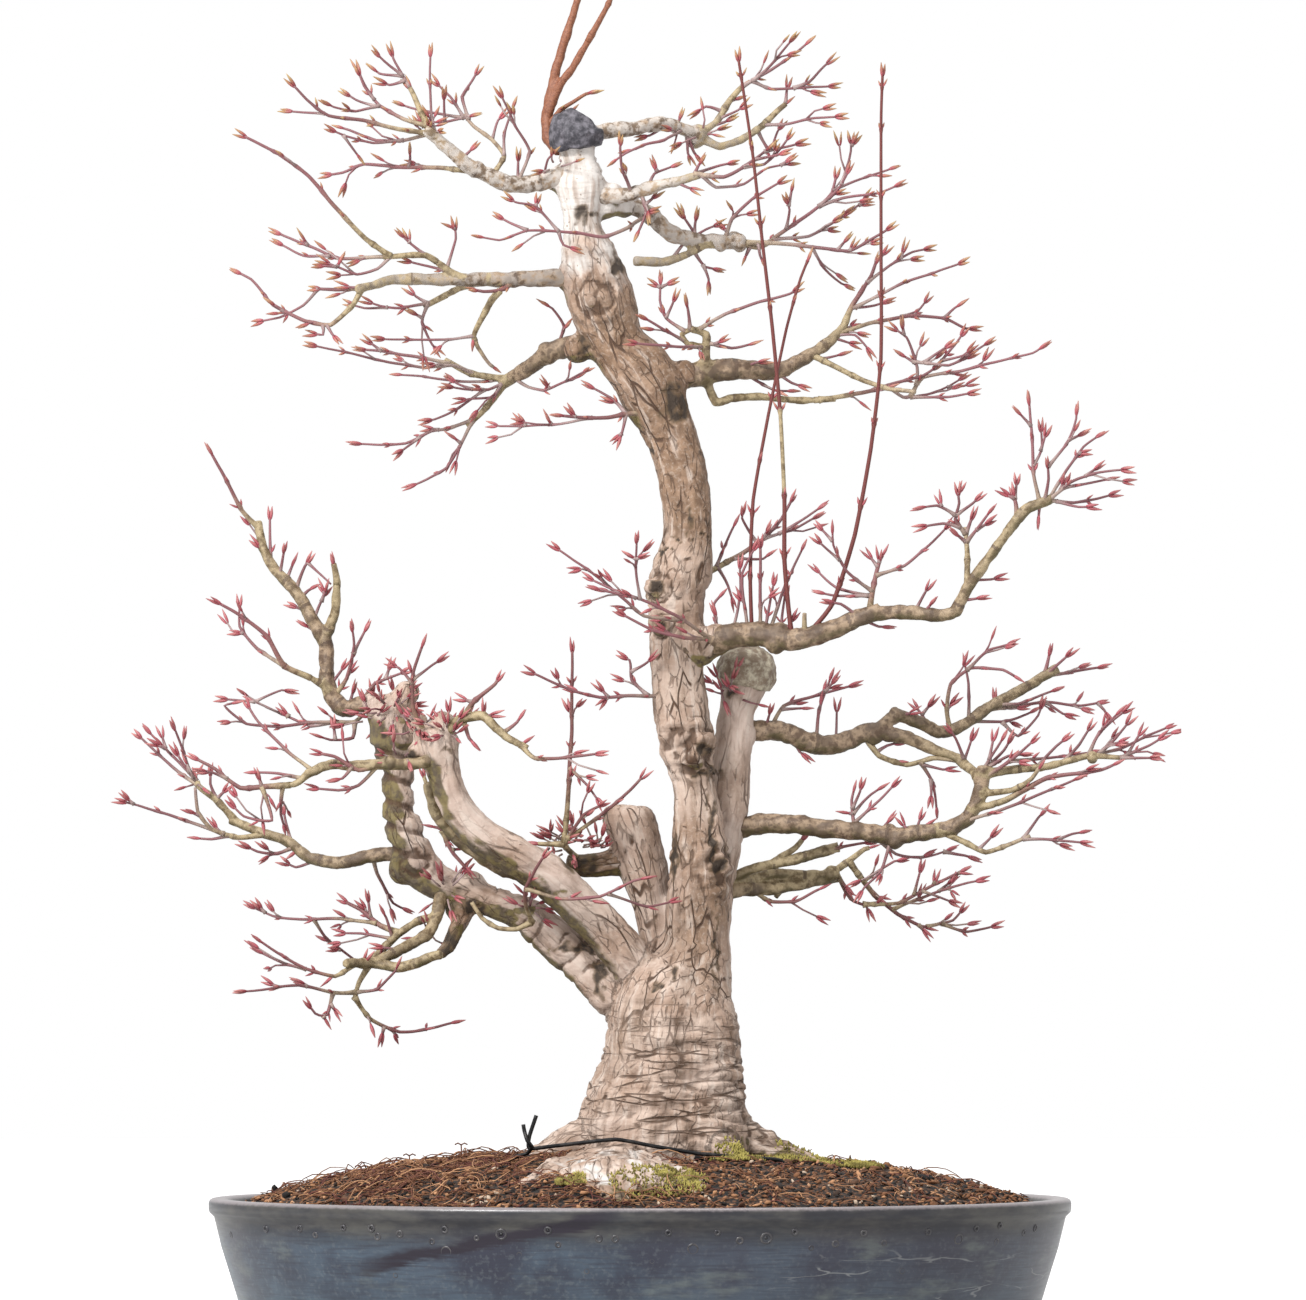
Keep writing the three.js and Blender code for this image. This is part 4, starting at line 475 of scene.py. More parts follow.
stump = fours(
    16, 10, 178, 10, 9, 13, 208, 8.6, 6, 14, 228, 10.2, 2, 14, 245, 12.4, -2.5, 14, 261, 13.4,
    -6, 14, 272, 13.4, -6, 14, 275.5, 12.4, -6, 14, 277, 10,
)
stump_stub = fours(-3, 14, 250, 6.4, -15, 14, 248.4, 6.4, -28, 14, 247, 6.2, -37, 14, 248, 4.2)
front_limb = fours(
    10, 0, 178, 12, -7, -5, 202, 11.4, -19.5, -8, 217, 10.6, -33, -12, 230, 10.4, -47, -15, 243, 10.4,
    -60, -18, 251, 9.8, -72, -20, 258, 9.6, -82, -22, 265, 9, -90, -24, 274, 8.6, -95, -25, 284, 8.2,
    -98, -26, 295, 8.2, -101, -27, 306, 10.2, -102, -27, 315, 8,
)
back_limb = fours(
    2, 4, 169, 12.6, -13, 5, 181.5, 11, -26, 7, 195, 10.6, -40, 9, 207.5, 10.6, -55, 11, 220.5, 9.4,
    -70, 12, 227.5, 8.4, -86, 13, 233, 8.4, -98, 14, 237, 9.2, -107, 15, 243, 10, -114, 16, 253, 10.2,
    -118, 17, 264, 9.8, -121, 17, 275, 8.6, -121, 18, 287, 8.2, -122, 18, 299, 9, -125, 18, 310, 10.6,
    -125, 18, 322, 9, -125, 18, 333, 6.4,
)
dead_hook = fours(
    -88, 12, 232, 6, -89, 8, 222, 5.6, -92, 3, 214, 4.6, -96, -1, 206, 4.2, -101, -4, 202.5, 3.2,
)

# %% the roots
roots = [
    fours(36, -4, 118, 15, 58, -6, 108, 10.4, 80, -8, 98.5, 7.2, 103, -10, 92, 5.4, 126, -12, 86, 3.4),
    fours(-10, -4, 118, 14, -34, -6, 108, 10.6, -54, -8, 99, 7, -74, -12, 93, 5, -96, -16, 86, 3.4),
    fours(10, 20, 116, 16, 8, 42, 101, 11, 4, 66, 91, 6, 2, 88, 83, 3.4),
    fours(30, 14, 116, 16, 54, 34, 100, 9, 78, 54, 90, 5, 98, 70, 83, 3),
    fours(-8, 14, 116, 16, -34, 34, 100, 9, -58, 52, 90, 5, -78, 66, 83, 3),
    fours(28, -18, 114, 15, 46, -36, 99, 9, 62, -54, 89, 5, 76, -70, 82, 3),
    fours(4, -14, 104, 20, -6, -32, 97, 15, -12, -56, 94, 14.4, -14, -84, 90.4, 13.6,
          -14, -112, 83, 12.4, -12, -134, 74, 9),
    fours(-6, -46, 96, 12, 10, -70, 93.4, 9.6, 22, -96, 88.4, 9, 29, -122, 79, 7),
    fours(-16, -42, 95, 13, -34, -58, 93.6, 11, -46, -80, 90, 9.6, -56, -102, 84, 7),
]
# The front root is one broad swelling that several roots run out of.
root_swellings = (
    # x, y, z and the half sizes
    (-8, -84, 82, 46, 43, 22), (-24, -66, 88, 30, 26, 15), (12, -98, 80, 30, 26, 17),
    (-30, -100, 80, 24, 24, 15),
)

# %% the swellings and hollows of old cuts: x, y, z and radius
knots = fours(
    30, -7, 307, 8, 38, -5, 247, 8.6, 9, -9, 386, 6.6, 11, -11, 367, 5.6, -113, 9, 248, 6,
    -22, -9, 531, 8, 34, -9, 243, 7, 33, -6, 252, 6, 27, -9, 302, 7.6, 22, -6, 309, 8,
)
hollows = fours(
    32, -16, 306, 3.2, 40.5, -13.5, 247, 3.6, 8.5, -16, 385.5, 3.4, 10, -17, 366.6, 2.6,
    -41.5, -7.5, 597, 2.8, 18, -16, 484, 2.2,
)
# Old wood swells where a branch leaves it, and where it was cut back again and again.
collars = fours(
    -36, 0, 592, 7.5, -42, 0, 590, 6.4, -36, 0, 541, 7, -20, 2, 508, 9, -31, 4, 506, 8, -18, 4, 577, 7.4,
    -8, 6, 577, 6, 14, 3, 491, 9.5, 22, 4, 493, 8, 30, -7, 357, 10, 38, -8, 360, 8.6, 8, 2, 474, 5,
    -14, 1, 583, 6.4, 26, 4, 392, 6, 46, 20, 266, 8, 52, 20, 313, 7.4, 14, 2, 332, 5, -22, 0, 516, 9,
    2, -3, 499, 10,
)
knuckles = fours(
    -122, 16, 326, 9, -130, 17, 322, 7.4, -117, 15, 333, 7, -134, 18, 328, 6, -113, 14, 318, 7.6,
    -120, 12, 312, 8, -98, -26, 318, 6.6, -107, -27, 312, 6.4, -101, -28, 305, 8.4, -95, -25, 309, 5.4,
    -112, -28, 304, 4.8, -118, 15, 246, 9, -112, 14, 252, 8, -91, 12, 226, 7.6, -84, 13, 238, 7,
)
print("swellings:", len(knots) + len(collars) + len(knuckles), "hollows:", len(hollows))

# %% all stems
TRUNK_FLAT = 0.86
TRUNK_SIDES, LIMB_SIDES = 40, 24
STEMS = (
    # the line, how flat it is in depth, the sides of its ring, how brown its bark is
    (first_trunk, TRUNK_FLAT, TRUNK_SIDES, 0.5),
    (second_trunk, 1, LIMB_SIDES, -0.5),
    (stump, 1, LIMB_SIDES, -0.1),
    (stump_stub, 1, LIMB_SIDES, 1.1),
    (front_limb, 1, LIMB_SIDES, -0.4),
    (back_limb, 1, LIMB_SIDES, -0.3),
    (dead_hook, 1, LIMB_SIDES, 1.3),
    *((root, 1, LIMB_SIDES, 0.15) for root in roots),
)
FIRST_TRUNK, BACK_LIMB = 0, 5


# %% lay the stems into each other and wrap them in one skin
LINE_STEP = 4


def stem_tube(line, sides, flat=1.0):
    smooth = smooth_line(line, LINE_STEP)
    points = [Vector(p[:3]) * MM for p in smooth]
    return tube(points, [p[3] * MM for p in smooth], sides, flat)


def lump(mesh, x, y, z, wide, deep=None, high=None):
    """A ball, or an egg where its half sizes differ."""
    place = Matrix.Translation(Vector((x, y, z)) * MM)
    form = Matrix.Diagonal((wide, deep or wide, high or wide, 1))
    bmesh.ops.create_icosphere(mesh, subdivisions=2, radius=MM, matrix=place @ form)


wood = bmesh.new()
for line, flat, sides, _ in STEMS:
    take_in(wood, stem_tube(line, sides, flat))
for spot in (*knots, *collars, *knuckles, *root_swellings):
    lump(wood, *spot)
wood = one_skin(wood, 1.5, 4)
print("skin of the wood:", len(wood.verts), "points")

# %% where a point lies on its stem
RINGS_COMPARED = 40
rings_of_stems = []
for number, (line, _, _, brown) in enumerate(STEMS):
    smooth = smooth_line(line, LINE_STEP)
    centres = [Vector(p[:3]) for p in smooth]
    places = ring_places(centres, [1] * len(centres))
    for p, centre, place, at in zip(smooth, centres, places, lengths(centres)):
        rings_of_stems.append((centre, place.inverted(), p[3], at, number, brown))
stem_tree = KDTree(len(rings_of_stems))
for k, ring in enumerate(rings_of_stems):
    stem_tree.insert(ring[0], k)
stem_tree.balance()


def on_stem(place):
    """The ring of the stem whose surface is nearest, and the point's place on that stem: two numbers
    across it and one along it."""
    near = [rings_of_stems[k] for _, k, _ in stem_tree.find_n(place, RINGS_COMPARED)]
    ring = min(near, key=lambda r: (place - r[0]).length - r[2])
    local = ring[1] @ place
    return ring, Vector((local.x, local.y, local.z + ring[3]))


print("rings of stems:", len(rings_of_stems))

# %% [markdown]
# ### Bark relief
# Maple bark stays thin. At the foot it is pulled into long flutes that run into the roots, and above
# them the skin is folded into level wrinkles. Higher up, fine cracks run along the trunk and split it
# into small plates. Each of these is a noise that is stretched along the way the feature runs, and the
# sum moves every point of the skin along its normal. The depth of the cracks, folds and grooves is also
# kept in a vertex layer, so that the finish can darken the same places: the cracks are dark brown, and
# the folds and grooves get painted shade. All measures here are in millimetres.


# %% soft steps and lines
def fade(value, low, high):
    """0 below low, 1 above high, smooth between."""
    t = min(1.0, max(0.0, (value - low) / (high - low)))
    return t * t * (3 - 2 * t)


def ridged(x, y, z, sharp=3.4):
    """0 on the lines where a soft noise changes sign, 1 far from them."""
    return min(1.0, abs(noise.noise(Vector((x, y, z)))) * sharp)


# %% the level folds and the long cracks
FOLD_GAP = 4.4
KNOTTY_BANDS = ((236, 256), (294, 318), (376, 392), (592, 604))


def level_folds(place, swing, number):
    """How much the bark is folded here, and where the point lies: 0 in a fold, 1 between two."""
    x, y, z = place
    drift = z + 22 * noise.noise(place / 24)
    folded = fade(drift, 100, 116) * (1 - fade(drift, 148, 192)) * (0.65 + 0.35 * fade(x, -20, 10))
    if number == FIRST_TRUNK:
        for low, high in KNOTTY_BANDS:
            folded = max(folded, 0.6 * fade(z, low - 6, low + 4) * (1 - fade(z, high - 4, high + 6)))
    return folded, ridged(x / 20 + swing, y / 20, z / FOLD_GAP + 1.3 * swing, 3)


def long_cracks_at(place, local, swing, number):
    """How much the bark is cracked here, and where the point lies: 0 in a crack, 1 between two."""
    cracked = fade(noise.noise(place / 24), -0.2, 0.25)
    return cracked, ridged(local.x / 8 + swing, local.y / 8 + 5 * number, local.z / 24, 4.5)


# %% the two rough limbs on the left
def rough_limbs(place, along, number):
    """Ridges across the lower back limb and a spiral on its upright part: what they add to the height,
    and how deep the point lies between them."""
    x, y, z = place
    height, deep = 0.0, 0.0
    if number == BACK_LIMB and -72 < x < -14:
        ridge = math.sin(along * 0.62 + 2.2 * noise.noise(place / 9))
        rough = fade(noise.noise(place / 14), -0.3, 0.2)
        height += 1.1 * rough * (fade(ridge, -1, -0.2) - 1)
        deep = rough * (1 - fade(ridge, -1, -0.45))
    if x < -104 and y > 2 and 246 < z < 308:
        turns = math.sin(z * 0.52 + math.atan2(y - 17, x + 121))
        height += 1.8 * fade(turns, -1, 0.1) - 1.8
        deep = max(deep, 1 - fade(turns, -1, -0.1))
    return height, deep


# %% how far the bark stands out
def bark(place, local, radius, number):
    """The height of the bark and how deep a crack or fold runs there."""
    x, y, z = place
    foot = 1 - fade(z, 150, 235)
    top = fade(z, 515, 545)
    angle = math.atan2(local.y, local.x)
    swing = noise.noise(place / 30) * 0.7
    round_stem = (math.cos(angle) * 1.9, math.sin(angle) * 1.9 + 9 * number, local.z / 110 + swing)
    height = (0.06 + 0.04 * foot) * radius * noise.noise(Vector(round_stem))
    height += 0.8 * noise.noise(place / 17) + 0.4 * noise.noise(place / 8)
    folded, fold = level_folds(place, swing, number)
    height += folded * (1.9 * (fold - 0.7) + 0.9 * noise.noise(Vector((x / 30, y / 30, z / 10))))
    height += 0.5 * top * noise.noise(Vector((x / 14, y / 14, z / 2.6)))
    cracked, groove = long_cracks_at(place, local, swing, number)
    height += 0.9 * (1 - folded) * (1 - 0.8 * top) * (groove - 0.9) * cracked
    height += 0.3 * noise.noise(Vector((local.x / 6, local.y / 6 + 3 * number, local.z / 3)))
    if y < -50 and z < 112:
        height += 1.6 * noise.noise(place / 13) + 0.9 * noise.noise(place / 6)
    more, between = rough_limbs(place, local.z, number)
    # The depth kept for the finish: cracks, which are dark brown, and folds and the grooves of the rough
    # limbs, which are painted shade.
    deep = max(folded * (1 - fold), 0.55 * (1 - groove) * cracked * (1 - top), between)
    return height + more, deep


# %% hold every point inside the model's own box
def keep_inside(mesh):
    low, high = cad_box
    for vert in mesh.verts:
        for i in range(3):
            vert.co[i] = min(high[i], max(low[i], vert.co[i]))


# %% painted shade in crotches, hollows and grooves, and green patches
# Painted shade: the spots darken crotches, hollows, grooves and the bark under knots and limbs, where shade
# falls.
painted_shade_spots = fours(
    # x, z, half width and half height, as seen from the front
    -9, 548, 6, 9, 18, 478, 8, 12, 4, 452, 2, 8, -42, 597, 3, 3, 8.5, 386, 4.6, 5.5, 10, 367, 3.4, 3.4,
    42, 248, 3.4, 4.6, 33, 293, 9, 2.2, 34, 306, 2.6, 4, 17, 252, 2.4, 12, -20, 190, 3.4, 13,
    -34, 206, 14, 3, -30, 249, 12, 5, 36, 262, 1.6, 26, 9, 187, 5, 3, 38, 208, 1.2, 26, -84, 226, 9, 4,
    -96, 208, 9, 9, -30, 572, 4, 5, 46, 334, 5, 4, 16, 193, 3, 5, -127, 313, 5, 2.6, -97, 305, 4, 3,
    -113, 302, 4, 3, 40, 352, 5, 6, 26, 411, 14, 1, 12, 405, 6, 1, -4, 560, 4, 3, 0, 575, 5, 3,
    -28, 507, 6, 3, 24, 420, 1.4, 8, -22, 574, 4, 3,
)
moss_spots = fours(
    -4, 85, 22, 7, 66, 102, 26, 5, 90, 98, 18, 4, -64, 224, 20, 5, -92, 210, 10, 10, -30, 262, 16, 10,
    -46, 234, 16, 4, 22, 92, 8, 6, -30, 250, 14, 8, 50, 108, 8, 4,
)


def in_spots(spots, place):
    drift = noise.noise_vector(place / 5) * 4.5
    x, z = place.x + drift.x, place.z + drift.z
    best = 0.0
    for middle, height, wide, high in spots:
        off = math.hypot((x - middle) / wide, (z - height) / high)
        best = max(best, 1 - fade(off, 0.35, 1.25))
    return best


# Where a point lies in a hollow of an old cut. The skin is dented there and painted dark as shade.
def in_hollow(place):
    return max(1 - fade((place - Vector(h[:3])).length / h[3], 0.7, 1.6) for h in hollows)


# %% green, pale and ringed places
def green_film_and_shade(place, normal, front, spot_breakup):
    """Rain and shade leave a green film below the limbs, on the back limb and in chosen spots. On faces that
    point down, left or right it is also painted shade.
    """
    back_wood = fade(-place.x, 60, 100) * fade(place.y, 0, 8) * (1 - fade(place.z, 306, 336))
    # On the back limb the film is stronger on faces that point down and to the left, partly as painted shade.
    green = back_wood * fade(noise.noise(place / 9) * 0.9 - normal.z * 0.4 - normal.x * 0.5, -0.4, 0.4)
    green = max(green, in_spots(moss_spots, place) * front * spot_breakup)
    # Painted shade: on the left limbs, faces that point down and to the left get the film.
    if place.x < -45 and place.z > 200:
        low_left = fade(-0.7 * normal.x - 0.8 * normal.z, -0.1, 0.55)
        low_left *= fade(noise.noise(place / 12), -0.45, 0.1) * (1 - fade(place.z, 290, 315))
        green = max(green, low_left)
    # Painted shade: the film under the limbs and on faces that point left or right.
    under = fade(-normal.z, 0.2, 0.85) * fade(place.z, 150, 200)
    side = fade(abs(normal.x), 0.75, 1) * (0.5 + 0.8 * noise.noise(place / 22)) * fade(place.z, 190, 260)
    return max(green, under, side * 0.6)


def white_top(place):
    return fade(place.z + 30 * noise.noise(place / 15), 510, 590)


def lichen(place):
    """White crust on the front root."""
    off = math.hypot((place.x + 8) / 44, (place.y + 84) / 62, (place.z - 97) / 16)
    broken = 0.5 + 0.8 * noise.noise(place / 7) - 0.25 * fade(place.x, 0, 30)
    return (1 - fade(off, 0.6, 1.1)) * broken


def knot_rings(place):
    """Rings of bark that swell round the scar of a branch, as a wave from -1 to 1."""
    rings = 0.0
    for x, y, z, size in knots:
        off = (place - Vector((x, y, z))).length / size + 0.3 * noise.noise(place / 6)
        rings += math.cos(off * 8) * (1 - fade(off, 1.4, 2.4)) * fade(off, 0.2, 0.6)
    return rings


# %% push the skin in and out
NUMBERS = ("crack", "dark", "moss", "pale", "brown")
BROWN_HEIGHTS = (100, 170, 205, 260, 330, 395, 420, 445, 475, 505, 545, 600)
BROWN_SHARES = (0.0, 0.2, 0.6, 0.55, 0.5, 0.5, 0.95, 1.0, 1.2, 1.05, 0.6, 0.0)
RING_HEIGHT, HOLLOW_DEPTH, DARK_DEPTH = 0.9, 2.6, 0.8
layers = {name: wood.verts.layers.float.new(name) for name in NUMBERS}
grain_layer = wood.verts.layers.float_vector.new("grain")
wood.normal_update()
away = [vert.normal.copy() for vert in wood.verts]
for vert, normal in zip(wood.verts, away):
    place = vert.co / MM
    (_, _, radius, _, number, brown), local = on_stem(place)
    height, deep = bark(place, local, radius, number)
    front = 1 - fade(normal.y, -0.2, 0.5)
    spot_breakup = 0.75 + 0.6 * noise.noise(place / 3.5)
    # Painted shade: the dark layer darkens hollows and the painted shade spots on front faces, and dents the
    # skin there.
    dip = in_hollow(place)
    dark = max(dip, front * in_spots(painted_shade_spots, place) * spot_breakup)
    rings = knot_rings(place)
    white = white_top(place)
    if number == FIRST_TRUNK:
        brown = value_at(BROWN_HEIGHTS, BROWN_SHARES, place.z)
    brown += 0.7 * noise.noise(place / 26) - 0.5 * white
    green = green_film_and_shade(place, normal, front, spot_breakup)
    # The crack layer also takes the troughs of the knot rings, which are painted shade.
    values = (max(deep, fade(-rings, 0.1, 0.9)), dark, green, max(white, lichen(place)), brown)
    for name, value in zip(NUMBERS, values):
        vert[layers[name]] = value
    vert[grain_layer] = (local + Vector((0, 37 * number, 0))) * MM
    vert.co += normal * (height + RING_HEIGHT * rings - HOLLOW_DEPTH * dip - DARK_DEPTH * dark) * MM
keep_inside(wood)
print("deepest crack kept in the layer:", round(max(v[layers["crack"]] for v in wood.verts), 2))

# %% [markdown]
# ### Bark finish
# The bark is a pale pinkish beige, browner half way up and almost white near the top of the tree.
# Cracks are dark brown, and hollows, crotches, grooves, folds and the troughs of knot rings get painted
# shade. Where rain runs and shade lies there is a thin green film, and under and beside the limbs it is
# also painted shade. The vertex layers say where these are, and finer noises on Object coordinates break
# them up. Streaks and cracks run along each stem, because they read the point's place on its stem.

# %% noises of the bark
bark_finish = Finish("maple_bark", roughness=0.82)
deep, dark, moss, pale, brown = (bark_finish.attribute(name) for name in NUMBERS)
grain = bark_finish.attribute("grain", "Vector")
blotch = bark_finish.cloud(60, 4)
patch = bark_finish.cloud(170, 4, roughness=0.6)
speck = bark_finish.cloud(560, 3, roughness=0.65)
height = bark_finish.parts(bark_finish.place)[2]
drift = height + blotch * 0.05 - 0.025
in_folds = drift.step(0.1, 0.114) * drift.step(0.194, 0.146)
in_top = height.step(0.512, 0.545)
along_stem = bark_finish.bent(bark_finish.stretched((1, 1, 0.16), grain), 50, 0.008)
across_stem = bark_finish.bent(bark_finish.stretched((0.2, 0.2, 1)), 60, 0.006)
streaks = bark_finish.cloud(260, 4, along_stem)
level = bark_finish.cloud(380, 3, across_stem)

# %% the colours of sound bark, from beige to white, and the green film, partly painted shade
bark_finish.start(blotch.step(0.36, 0.64), shade(186, 156, 136), shade(220, 195, 178))
brown_bark = bark_finish.mix(patch.step(0.32, 0.7), shade(108, 78, 52), shade(168, 134, 106))
bark_finish.over((brown * 0.8 + blotch * 0.5 - 0.3).step(0.05, 0.85) * 0.9, brown_bark)
bark_finish.over(brown.step(-0.1, -0.7) * 0.45, shade(226, 206, 195))
bark_finish.over(streaks.step(0.48, 0.72) * 0.5, shade(124, 94, 68))
bark_finish.over(streaks.step(0.46, 0.3) * 0.6, shade(232, 214, 200))
bark_finish.over(speck.step(0.5, 0.7) * 0.3, shade(230, 212, 196))
white_bark = bark_finish.mix(streaks.step(0.4, 0.66), shade(244, 238, 232), shade(196, 180, 168))
bark_finish.over((pale * 1.2 - patch * 0.6).step(0.1, 0.7) * 0.9, white_bark)
# The green film, which also serves as painted shade under and beside the limbs.
film = bark_finish.mix(patch.step(0.4, 0.6), shade(122, 108, 56), shade(74, 62, 36))
bark_finish.over((moss * 1.5 - patch * 0.9).step(0.0, 0.55) * 0.9, film)

# %% cracks, pits, and painted shade in folds, grooves, crotches and hollows
upright = bark_finish.bent(bark_finish.stretched((1, 1, 0.26), grain), 110, 0.004)
broken = bark_finish.bent(bark_finish.stretched((1, 1, 0.4), grain), 120, 0.003)
wrinkles = bark_finish.bent(bark_finish.stretched((0.2, 0.2, 1)), 90, 0.006)
long_cracks = bark_finish.fissures(120, upright, 0.05, 0.45) * (1 - in_top) * (1 - in_folds * 0.6)
short_cracks = bark_finish.fissures(250, broken, 0.075, 0.46)
fold_cracks = bark_finish.fissures(230, wrinkles, 0.1, 0.42) * in_folds
cracks = long_cracks.most((short_cracks * 0.6).most(fold_cracks * 0.9)) * pale.step(1.2, 0.4)
cracks = cracks * (brown.step(-0.6, 0.0) * 0.8 + 0.2)
# Dark brown for the cracks, and painted shade in folds, ring troughs and grooves.
crack_brown_and_shade = bark_finish.mix(speck, shade(104, 72, 46), shade(58, 38, 24))
bark_finish.over((deep * (streaks + 0.5)).step(0.3, 1.0) * (in_folds * -0.3 + 0.85), crack_brown_and_shade)
pits = bark_finish.cells(330, feature="F1").step(0.24, 0.12) * patch.step(0.5, 0.56)
bark_finish.over(pits * pale.step(0.1, 0.5) * 0.8, shade(120, 96, 74))
bark_finish.over(cracks, crack_brown_and_shade)
# Painted shade in crotches, hollows and grooves, where the dark layer says.
bark_finish.over((dark + patch * 0.9 - 0.45).step(0.1, 0.5) * 0.75, shade(104, 82, 56))
bark_finish.over((dark + patch * 0.9 + speck * 0.3 - 0.7).step(0.3, 0.7) * 0.85, shade(52, 40, 30))

# %% the bark's gloss and fine relief
bark_finish.rough(blotch * 0.15 + 0.74)
level_lines = level * (in_folds.most(in_top) * 0.7 + 0.3)
bark_finish.relief(speck * 0.25 - cracks * 0.9 + level_lines + streaks * 0.5 + patch * 0.4, 1.1, 0.85)
trunk = piece("trunk_and_roots", wood, bark_finish.material, "bark", "trunk")

# %% [markdown]
# ## Branches, twigs and buds
# Everything thinner than a finger grows in sprays. A spray is one branch with its twigs: the lines are
# traced as the tree is seen from the front, as x and z in millimetres, and how far each twig swings
# towards or away from the viewer follows an even rule of turns, so the tree is full from the side too.
# Stout stems get one skin, as the trunk does. Thin twigs stay tubes with a swelling at each node, where
# a pair of buds sits, and each tip ends in two buds side by side.
#
# The twigs are written as drawings, one twig on each line. The numbers before the colon are its radius
# at the foot and at the tip, the number of its buds, and perhaps its swing and what else twig takes.
# After the colon come the x and z of its first point, and then the step from each point to the next.

# %% measures of the sprays
GOLDEN = 0.618034  # the share of a turn from one twig to the next
FAN = 0.55  # how far a twig may swing to the front or the back, as a share of its length
LIMB_DEPTH, TWIG_DEPTH = 2.4, 1.5  # the depths chosen below are made this many times deeper
LIMB_TOLERANCE, TWIG_TOLERANCE = 1.9, 2.6  # the fixed model's stems are straight within these
SHORTEST = 17  # the fixed model has no twigs shorter than this
SAMPLES = 8  # places on each straight stretch that a twig can start from
STEM_STEP, STEM_EASE = 2.2, 0.55
BUD_LENGTH = 8.5
BUD_PART = 0.62  # the share of that length which stands past the last bend of a twig
NODE_GAP = 17  # from one pair of buds to the next
STOUT = 1.75  # stems with a greater radius get the knobbly skin
FINE = 0.8  # the finest twigs keep this share of their traced radius
LAYERS = ("thick", "young", "bud", "shade", "olive", "node")
OLIVE, TAN, GREY, PURPLE, LEADER = 1.0, 0.65, 0.3, 0.0, -1.0  # tints of bark, for the layer olive
WHIP_WOOD = 1.6  # what the layer young holds on shoots of one summer


# %% helpers on lines
def simplified(path, tolerance):
    """The path without the points that lie within the tolerance of a straight line."""
    (ax, az), (bx, bz) = path[0], path[-1]
    span = math.hypot(bx - ax, bz - az)
    far, at = 0, None
    for i, (x, z) in enumerate(path[1:-1], 1):
        off = abs((bx - ax) * (z - az) - (bz - az) * (x - ax)) / span
        if off > far:
            far, at = off, i
    if far < tolerance:
        return [path[0], path[-1]]
    return simplified(path[: at + 1], tolerance)[:-1] + simplified(path[at:], tolerance)


